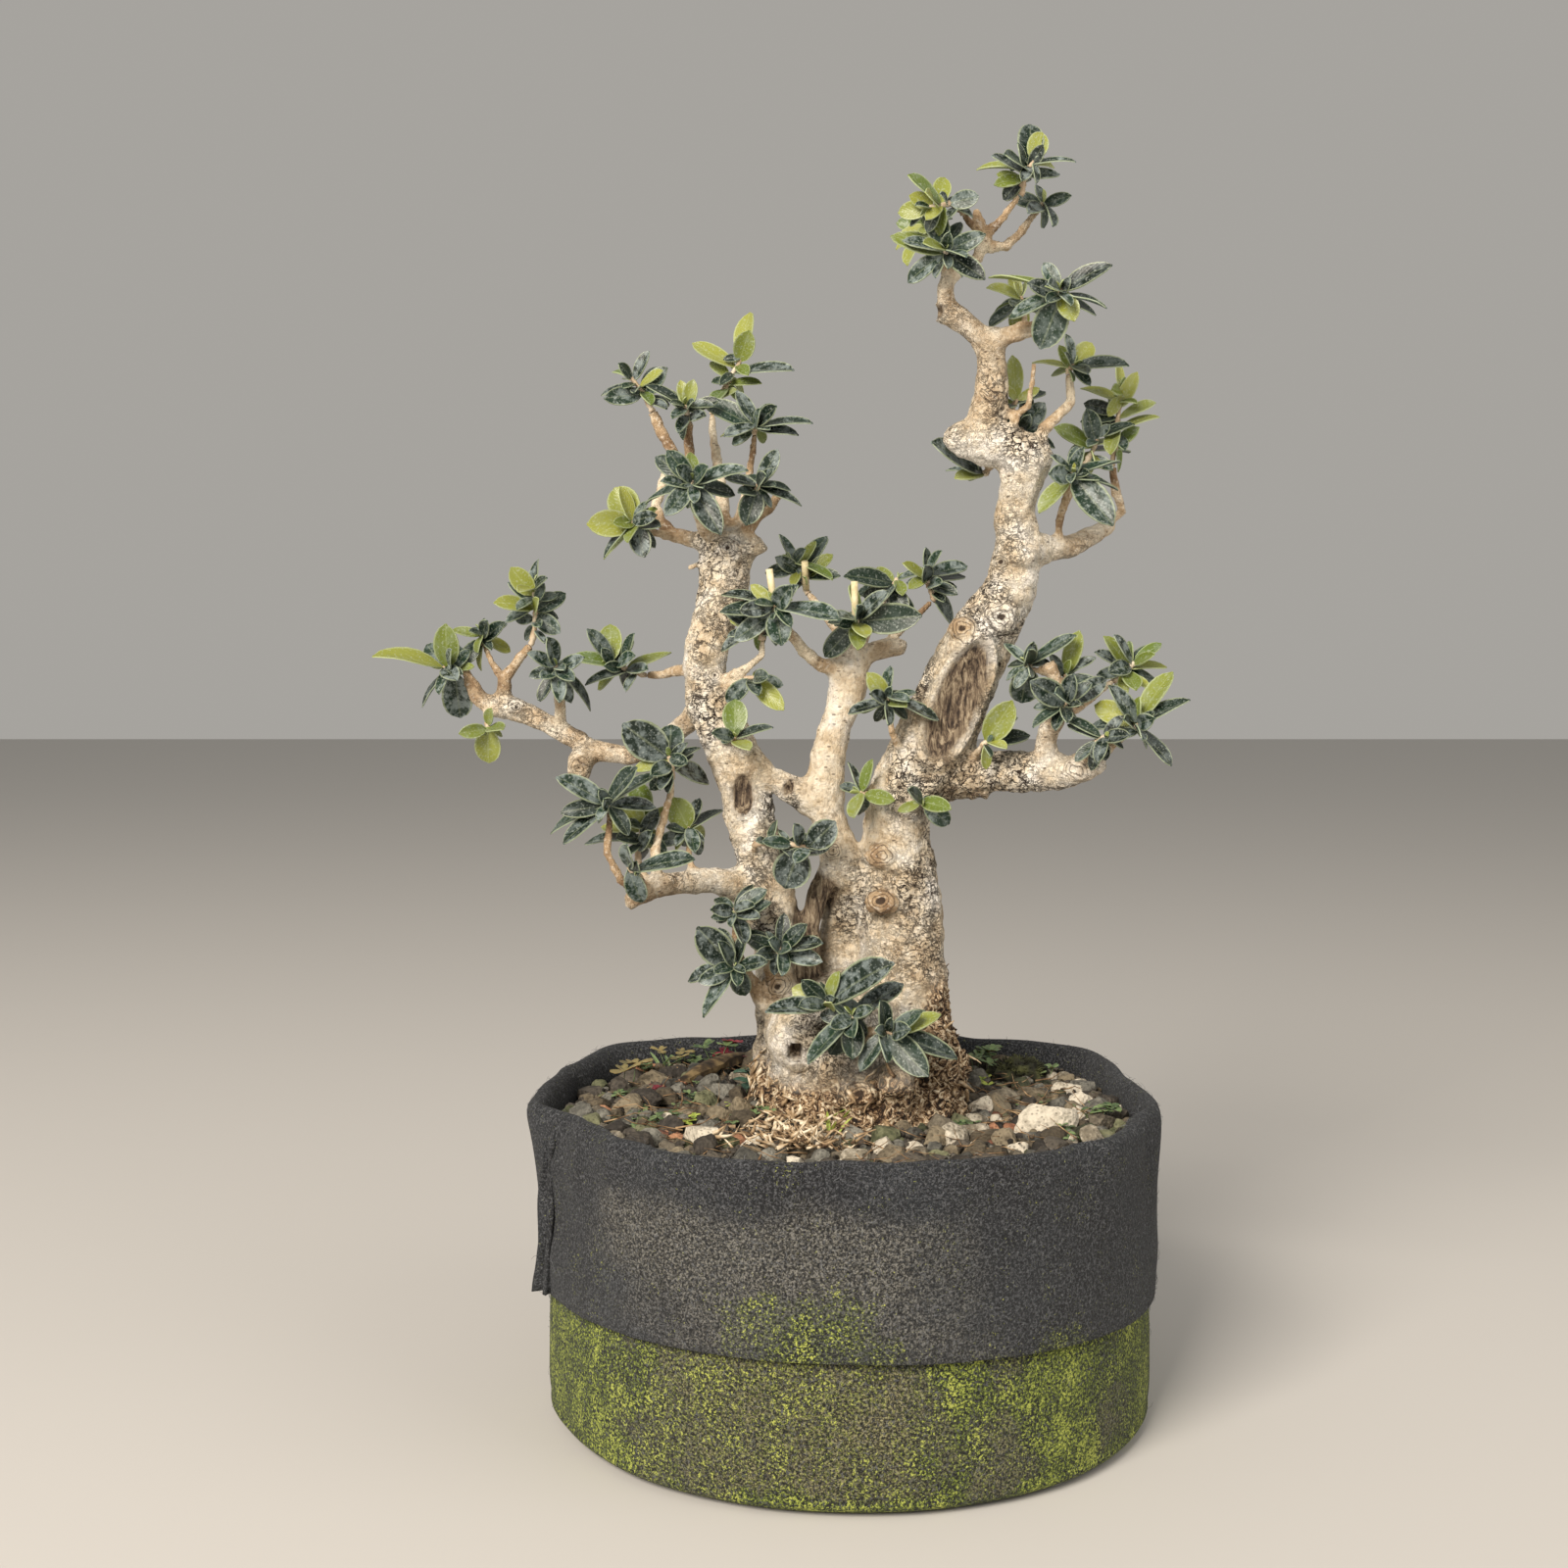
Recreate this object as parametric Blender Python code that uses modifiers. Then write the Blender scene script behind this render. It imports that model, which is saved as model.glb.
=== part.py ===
"""Olive bonsai in a felt grow bag, at real size, in metres, +Z up.

The origin is the middle of the bag's flat underside and the tree's front looks along -Y.
The wood is one body from its foot in the soil to its twigs. Each leafy spray is a body of
its own that starts a hair's breadth beyond the end of a twig.
"""

import math
import random

import bmesh
import bpy
from mathutils import Matrix, Vector
from mathutils.bvhtree import BVHTree

MM = 0.001

# Driving dimensions
BAG_HEIGHT = 130 * MM
BAG_TURNS = 32
BAG_FLATNESS = 0.96
SOIL_TOP = 118 * MM
SOIL_FLOOR = 4.3 * MM
GAP = 0.3 * MM
LEAF_THICKNESS = 0.7 * MM
LEAF_SHAPE = 0.40
LEAF_FOLD = 0.32
SMALL_LEAF = 13.5 * MM
SLIM_LEAF = 5.5 * MM
NARROWEST = 3.5
CROWDED_NARROWEST = 4.5
STUMP_CENTRE = Vector((6, -3, 0)) * MM
STUMP_FLATNESS = 0.92
STUMP_TURNS = 20
SOIL_RINGS = [54, 64, 74, 84, 94, 103]
SOIL_RELIEF = (-2.2 * MM, 3.8 * MM)
STONES = 26
STONE_SIZES = (9 * MM, 12.2 * MM)
SEED = 11

# The tree's front is looked at from this point, in mm. Places on the tree are given as
# they are seen from it against the upright plane through the bag's middle.
EYE = Vector((-27, -771, 304))

# Felt: inner side from the floor to the rim, then the cuff and the wall, radius and height in mm
FELT_INSIDE = [(113, 4), (117.5, 14), (110.8, 118)]
FELT_RIM = [(109.2, 126), (112.2, 130), (115.4, 127)]
FELT_CUFF = [(118, 118), (120, 98), (122.6, 78), (125.6, 62), (125.2, 50)]
FELT_WALL = [(122, 50), (122.6, 13), (119.6, 5), (112, 0)]

# Rim as it slumped: direction in degrees and distance from the middle in mm
RIM = [
    (-180, 126), (-170, 126), (-154, 114), (-134, 120), (-113, 119), (-92, 113), (-70, 117), (-47, 122),
    (-21, 120), (10, 119), (38, 135), (69, 123), (111, 123), (139, 136), (160, 127), (180, 126)]

# Side seam: height and radius in mm of the cuff there, and how far its flaps stand out
SEAM_DIRECTION = math.radians(197)
SEAM_ROWS = [(123, 116, 3.5), (106, 119, 4.5), (88, 121, 5), (73, 123, 7), (58, 125, 10)]
SEAM_FLAP = 2.6 * MM
SEAM_GAP = 1.2 * MM

# Stump: radius and height in mm of a turned core, from its top down to its foot in the soil
STUMP_CORE = [(22, 168), (32, 152), (38, 131), (43, 121), (43.6, 114), (31, 62)]
STUMP_HOLE = [(44.4, 160), (44.4, 114), (31.7, 61.4)]
ROOT_DIRECTIONS = [5, 60, 115, 170, 212, 248, 285, 325]
FLATTENED = math.radians(6)

# Wood: x, height, depth and radius in mm, thick end first
STEMS = {
    "right_stem": [
        (17, 128, 0, 22), (21, 165, 2, 20), (21, 183, 3, 18.4), (21, 202, 3, 18.4), (20, 220, 2, 16.6),
        (19, 240, 0, 14.2), (25, 256, 0, 16.6), (34, 270, 0, 17), (38, 282, 0, 16.2), (43, 293, 0, 15.4),
        (48, 304, 1, 15.4), (53, 315, 2, 14.6), (59, 325, 3, 12.8), (65, 335, 4, 10.8),
        (68, 346, 4, 10.4),
        (68, 357, 3, 8.5), (67, 368, 2, 7.8), (69, 379, 2, 9.6), (71, 389, 2, 11),
        (70, 396, 2, 8)],
    "left_stem": [
        (-22, 128, 0, 18), (-25, 160, 2, 14), (-27, 177, 2, 11.8), (-30, 195, 0, 10.4),
        (-34, 208, -2, 11.8),
        (-36, 222, -2, 11), (-40, 240, -2, 10.8), (-43, 252, -2, 10.6), (-46, 264, -2, 11.2),
        (-51, 277, -2, 10.8), (-58, 290, -1, 9.6), (-60, 303, 0, 9), (-58, 315, 1, 9.4), (-54, 328, 2, 9),
        (-51, 339, 3, 11.4), (-50, 349, 3, 12), (-52, 357, 3, 8)],
    "middle_stem": [
        (8, 208, 4, 8), (-2, 221, 2, 9), (-6, 232, 0, 8.2), (-9, 243, -1, 7.6), (-11, 255, -2, 8.8),
        (-9.5, 266, -2, 7.5), (-7, 276, -2, 7.4), (-3, 286, -2, 7.2), (-0.5, 296, -2, 8.4),
        (0, 305, -2, 8.6), (0, 314, -2, 6)],
    "right_head": [
        (75, 389, 2, 8), (66, 392, 2, 9.4), (55, 392, 1, 8.6), (47, 395, 0, 8.4), (41, 397, -1, 6.4),
        (38, 398, -2, 3)],
    "crown_stem": [
        (58, 392, 2, 9.4), (54, 402, 1, 8.4), (57, 413, 0, 7.4), (57, 425, -1, 6.2), (56, 434, -2, 6),
        (55, 440, -2, 4)],
    "side_branch": [
        (34, 260, 0, 13), (48, 260, -3, 10), (61, 261, -6, 8.6), (74, 260.5, -9, 8.4), (84, 260, -12, 8),
        (94, 261, -15, 6), (101, 263, -17, 4.4), (105, 262, -18, 2.4)],
    "low_branch": [
        (-36, 210, -4, 9), (-46, 214, -7, 7.2), (-58, 216, -9, 5.4), (-70, 215, -10, 5),
        (-80, 213, -11, 5.2),
        (-88, 209, -12, 4.2), (-92, 205, -12, 3)],
    "far_branch": [
        (-55, 291, 2, 6.4), (-66, 281, 8, 5.2), (-77, 272, 12, 4.8), (-90, 267, 14, 4.6),
        (-103, 269, 12, 5),
        (-114, 275, 10, 4.6), (-125, 281, 8, 4.8), (-136, 286, 8, 5.8), (-145, 287, 8, 5.6),
        (-152, 291, 8, 4),
        (-155, 298, 8, 3), (-157, 302, 8, 2)],
}

LIMBS = {
    "slit_strand": [(-14, 160, -2, 8), (-17, 180, -3, 5), (-16.5, 197, -3, 4.2), (-13, 211, -1, 5),
                    (-6, 223, 0, 6)],
    "slit_back": [(-4, 163, 12, 12), (-5, 192, 12, 8.5), (-3, 216, 7, 7)],
    "bridge": [(-42, 265, -2, 7.5), (-31, 258, -3, 4.7), (-25, 253.5, -3, 6.2), (-17, 249, -2, 7),
               (-9, 243, -1, 5)],
    "crown_arm": [(57, 432, -2, 5), (48, 440, -3, 5), (41, 445, -4, 5.6), (35, 446, -5, 5)],
    "crown_right_arm": [(56, 433, -2, 5), (64, 437, -4, 4.2), (71, 439, -6, 3.6), (80, 441, -8, 2.6),
                        (88, 443, -9, 2.2)],
    "upper_arm": [(72, 350, 3, 8), (82, 351, 5, 5.4), (89, 352, 8, 5), (97, 356, 12, 4.6),
                  (106, 361, 15, 3)],
    "left_stub": [(-48, 349, 2, 6), (-41, 351, 0, 5), (-35, 354, -2, 4.4)],
    "middle_stub": [(-1, 306, -2, 6), (7, 309, -2, 4.8), (15, 311, -2, 4.4), (23, 311.5, -2, 4)],
    "side_up": [(80, 262, -11, 5.5), (80, 274, -12, 4.6), (83, 282, -13, 5), (86, 293, -14, 3.2),
                (83, 300, -15, 3),
                 (80, 305, -16, 3.4)],
    "far_knob": [(-107, 270, 12, 5.6), (-110.5, 264, 5, 6.2), (-110.5, 260, -2, 5.8)],
    "side_knob": [(52, 259, -3, 7), (53, 252, -5, 5.6), (53, 249, -6, 3.4)],
    "front_burl": [(-4, 160, -8, 16), (2, 152, -24, 13), (4, 147, -33, 8)],
    "left_burl": [(-20, 158, -4, 16), (-20, 150, -20, 13), (-20, 147, -29, 8)],
    "slit_floor": [(-12, 166, -6, 10), (2, 172, -6, 10)],
}

TWIGS = {
    "crown_low_twig": [(38, 446, -4, 3.9), (38, 455, -4, 3.6), (39.5, 463, -4, 3), (38.5, 467, -8, 2)],
    "crown_inner_twig": [(39, 457, -4, 3), (45, 464, 2, 2.8), (51, 467, 4, 2.8), (53, 475, 4, 3.4),
                         (51, 481, 4, 3),
                         (50, 487, 6, 1.8)],
    "crown_peak_twig": [(53, 476, 4, 3), (59, 481, 4, 2), (64, 487, 4, 1.7), (67.5, 492, 4, 1.5)],
    "crown_side_twig": [(53, 472, 4, 3), (62, 472, 8, 2.6), (67, 476, 13, 2.2), (72, 483, 16, 1.9),
                        (75.5, 487, 17, 1.6)],
    "crown_left_twig": [(51, 478, 4, 2.4), (47, 482, -3, 1.8), (45, 485, -6, 1.5)],
    "crown_back_twig": [(45, 464, 3, 2.2), (39, 472, 14, 1.8), (34, 479, 24, 1.5)],
    "crown_right_twig": [(80, 441, -8, 2), (83, 446, -14, 1.7), (84.5, 450, -18, 1.5)],
    "crown_gap_twig": [(70, 439, -5, 2.2), (70, 443, 4, 1.6), (70, 447, 10, 1.5)],
    "crown_dead_twig": [(60, 406, 0, 2.6), (68, 405.5, -2, 2), (72, 409, -3, 1.8), (73, 417, -3, 1.5),
                        (74, 426, -3, 1.2)],
    "crown_dead_fork": [(60, 393, -3, 3), (64, 397, -5, 2.2), (67, 404, -3, 1.8)],
    "crown_foot_twig": [(60, 403, 4, 2.4), (64.5, 407, 9, 1.5)],
    "right_top_twig": [(77, 390, 2, 5), (78, 399, 1, 3), (84, 405, 5, 2.5), (89, 410, 9, 2.2),
                       (88.5, 417, 12, 1.9),
                       (88, 421, 12, 1.7)],
    "right_head_left_twig": [(57, 386, 7, 3), (55, 382, 15, 1.6)],
    "right_head_back_twig": [(69, 394, 9, 3), (69, 398, 17, 1.6)],
    "upper_near_twig": [(84, 353, 6, 2.6), (84.5, 362, 0, 2.1), (87, 371, -5, 2), (88.5, 377, -8, 1.8)],
    "upper_mid_twig": [(86, 367, -2, 2), (91, 377, 7, 1.7), (95, 385, 12, 1.5)],
    "upper_far_twig": [(103, 360, 14, 2.8), (110, 366, 15, 2.4), (107, 376, 14, 2.8), (106, 384, 12, 2)],
    "left_far_arm": [(-54, 353, 3, 6), (-64, 355, 6, 4), (-72, 357, 9, 3.2), (-77, 362, 12, 2.8),
                     (-79, 368, 14, 2.4),
                      (-76, 378, 18, 2.4), (-72, 390, 22, 2.8), (-77, 399, 24, 2.8), (-80, 406, 24, 2.5)],
    "left_rosette_twig": [(-54, 354, 0, 5), (-60, 361, -12, 3.2), (-62, 369, -21, 2.2),
                          (-63.5, 374, -26, 1.7)],
    "left_lime_twig": [(-71, 356, 8, 2.6), (-79, 357.5, 0, 2), (-84, 360, -5, 1.7)],
    "left_up_arm": [(-56, 355, 5, 5), (-60, 368, 13, 3.4), (-64, 380, 17, 2.8), (-66, 393, 13, 2.5),
                    (-65.5, 402, 6, 2.2)],
    "left_peak_arm": [(-52, 355, 5, 4.5), (-52, 372, 19, 2.8), (-54, 388, 28, 2.2),
                      (-56, 399, 33, 1.9), (-56, 405, 34, 1.7)],
    "left_right_arm": [(-48, 354, 1, 4.5), (-42, 359, -1, 3), (-36, 365, -2, 2.4), (-31, 370, -3, 2.1),
                       (-28.5, 375, -3, 1.9)],
    "left_small_rosette_twig": [(-43, 358, -2, 2.4), (-41, 366, -12, 1.8), (-39, 372, -19, 1.6)],
    "left_pale_twig": [(-47, 356, 5, 3.2), (-44, 368, 12, 2.4), (-41, 382, 13, 2),
                       (-39.5, 391, 9, 1.8), (-39, 397, 5, 1.7)],
    "left_dry_twig": [(-58, 347, 0, 2.4), (-66, 343, -3, 1.2)],
    "middle_left_arm": [(-3, 303, -2, 5), (-12, 304, -9, 3.4), (-18, 309, -16, 3),
                        (-24, 316, -22, 2.4), (-29, 323, -26, 1.7)],
    "middle_top_twig": [(0, 311, -1, 4), (-6, 319, 7, 2.4), (-13, 328, 14, 1.9), (-17, 333, 17, 1.6)],
    "middle_front_twig": [(0, 311, -3, 4), (1, 317, -14, 2), (2, 320, -22, 1.6)],
    "middle_back_twig": [(2, 311, 2, 4), (9, 322, 17, 2), (14, 331, 28, 1.6)],
    "middle_right_twig": [(12, 310, -1, 3), (20, 318, 3, 2.2), (28, 325, 6, 1.8), (33, 330, 6, 1.6)],
    "left_stem_twig": [(-52, 297, -6, 3.4), (-42, 303, -15, 2.3), (-36, 308, -20, 1.9),
                       (-36, 314, -22, 1.6)],
    "left_stem_low_twig": [(-50, 294, -7, 3), (-43, 298, -13, 1.5)],
    "left_stem_lime_twig": [(-47, 268, -10, 2.4), (-47.5, 272, -16, 1.5)],
    "left_big_leaf_twig": [(-40, 226, -10, 2.4), (-39, 230, -17, 1.5)],
    "right_gap_twig": [(23, 264, -8, 3), (17, 277, -17, 1.8), (15.5, 286, -17, 1.5)],
    "right_edge_twig": [(12, 256, -8, 3), (7, 252, -13, 1.5)],
    "right_front_twig": [(24, 246, -11, 3), (28, 248, -19, 1.5)],
    "right_inner_twig": [(48, 263, -6, 3), (54, 271, -18, 1.5)],
    "side_lime_twig": [(85.5, 292, -14, 2.4), (87, 297, -9, 1.6)],
    "side_disc_twig": [(83, 300, -15, 2), (78, 301, -14, 1.6), (74, 303, -13, 1.4)],
    "side_dark_twig": [(84, 283, -15, 2.6), (86, 286, -21, 1.6)],
    "side_back_twig": [(83, 281, -12, 3), (92, 286, 2, 2.4), (100, 292, 12, 2.1), (107, 297.5, 18, 1.7)],
    "side_tip_twig": [(96, 263, -16, 4), (104, 270, -17, 3.4), (110, 275, -18, 2.6),
                      (114, 277, -18, 1.8)],
    "side_cut_twig": [(105, 271, -17, 2.4), (108.5, 277, -18, 2)],
    "side_small_twig": [(96, 264, -17, 3), (97, 269, -21, 1.8), (100, 272, -23, 1.5)],
    "side_dry_twig": [(94, 264, -14, 2.8), (93, 269, -12, 1.6)],
    "low_tip_twig": [(-86, 211, -12, 3), (-94, 216, -12, 2.2), (-99.5, 227, -12, 1.9),
                     (-98.5, 237, -12, 1.8),
                          (-98.5, 244, -12, 1.6)],
    "low_lime_twig": [(-82, 214, -9, 3), (-86, 220, -4, 1.8), (-86.5, 223, -1, 1.5)],
    "low_front_twig": [(-84, 213, -14, 2.6), (-86, 217, -21, 1.5)],
    "low_upright_twig": [(-79, 214, -12, 3), (-80, 228, -9, 2.4), (-77, 240, -6, 2.1),
                         (-73.5, 251, -4, 1.8),
                         (-73, 257, -4, 1.6)],
    "low_inner_twig": [(-64, 216, -8, 3), (-66, 226, -4, 1.8), (-66, 233, -2, 1.5)],
    "far_up_twig": [(-141, 290, 8, 4), (-141, 299, 9, 3), (-135, 306, 10, 2.3), (-130.5, 312, 10, 1.8)],
    "far_mid_twig": [(-142, 299, 9, 2.6), (-146, 305, 17, 1.8), (-149, 312, 21, 1.5)],
    "far_inner_twig": [(-118, 278, 9, 3.4), (-119, 291, -2, 2.5), (-119.5, 299, -8, 2)],
    "far_hanging_twig": [(-148, 285, 4, 3), (-148, 280.5, -2, 1.5)],
    "left_back_twig": [(-60, 302, 4, 4), (-70, 302, 16, 2.6), (-78, 300, 25, 2), (-83, 300, 28, 1.6)],
    "sprout_arm": [(-32, 163, -12, 6), (-39, 172, -20, 3.4), (-44, 179, -24, 2.6), (-47, 190, -26, 2),
                   (-46.5, 199, -27, 1.6)],
    "sprout_left_twig": [(-42, 177, -23, 2.4), (-46, 179, -29, 1.6)],
    "sprout_mid_twig": [(-29, 170, -9, 4), (-34, 180, -18, 2), (-30.5, 185, -23, 1.5)],
    "sprout_front_twig": [(4, 148, -32, 5), (5, 153, -42, 3.2), (2, 157, -47, 1.8)],
    "sprout_left_front_twig": [(4, 154, -42, 2.6), (-2, 158, -44, 1.8), (-7, 162, -44, 1.5)],
    "sprout_right_front_twig": [(5, 152, -42, 2.8), (12, 154, -48, 1.8)],
}

# Old healed knots, low domes on the bark: bough, x, height, depth, radius and rise in mm
KNOTS = [
    ("right", 61, 323, -9, 8.5, 2.6), ("right", 46, 319, -11.5, 7, 2.4), ("right", 13, 226, -14.5, 8, 2),
    ("right", 13, 207, -16.5, 8, 2.4), ("right", 70, 348, -6.5, 7, 2), ("left", -38, 208, -12, 7, 2.4),
    ("left", -30, 172, -10, 7, 3), ("stump", 5, 128, -39, 9, 3), ("stump", 18, 134, -37, 6, 3),
    ("far", -136, 287, 3, 5, 2),
]

# Hollows cut into the wood: bough, x, height, depth of the middle, half width, half height,
# half depth in mm, and lean in degrees
HOLLOWS = [
    ("right", 44, 289, -17, 10, 24, 7.5, 24), ("left", -44, 251, -13, 4.5, 8, 4.5, 0),
    ("stump", -22, 146, -40, 2.6, 3.2, 9, 0), ("bridge", -25, 254, -13.5, 2.2, 3.2, 4, 20),
    ("crown", 35, 446, -10.5, 2, 2.6, 5, 0),
]

# How a bough, known by the first word of its names, swings out of the upright plane: from a
# distance to the side of it, or from a height, in mm, the depth gained for each mm further
SWINGS = [
    ("left", "height", 215, 0.12), ("far", "height", 215, 0.12), ("far", "side", -64, 0.36),
    ("low", "side", -46, -0.42), ("middle", "height", 240, 0.10), ("right", "height", 240, -0.10),
    ("crown", "height", 240, -0.10), ("crown", "height", 410, -0.16), ("side", "height", 240, -0.10),
    ("side", "side", 62, -0.30), ("upper", "height", 240, -0.10), ("upper", "side", 76, 0.50),
]

YOUNG = True

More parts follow.
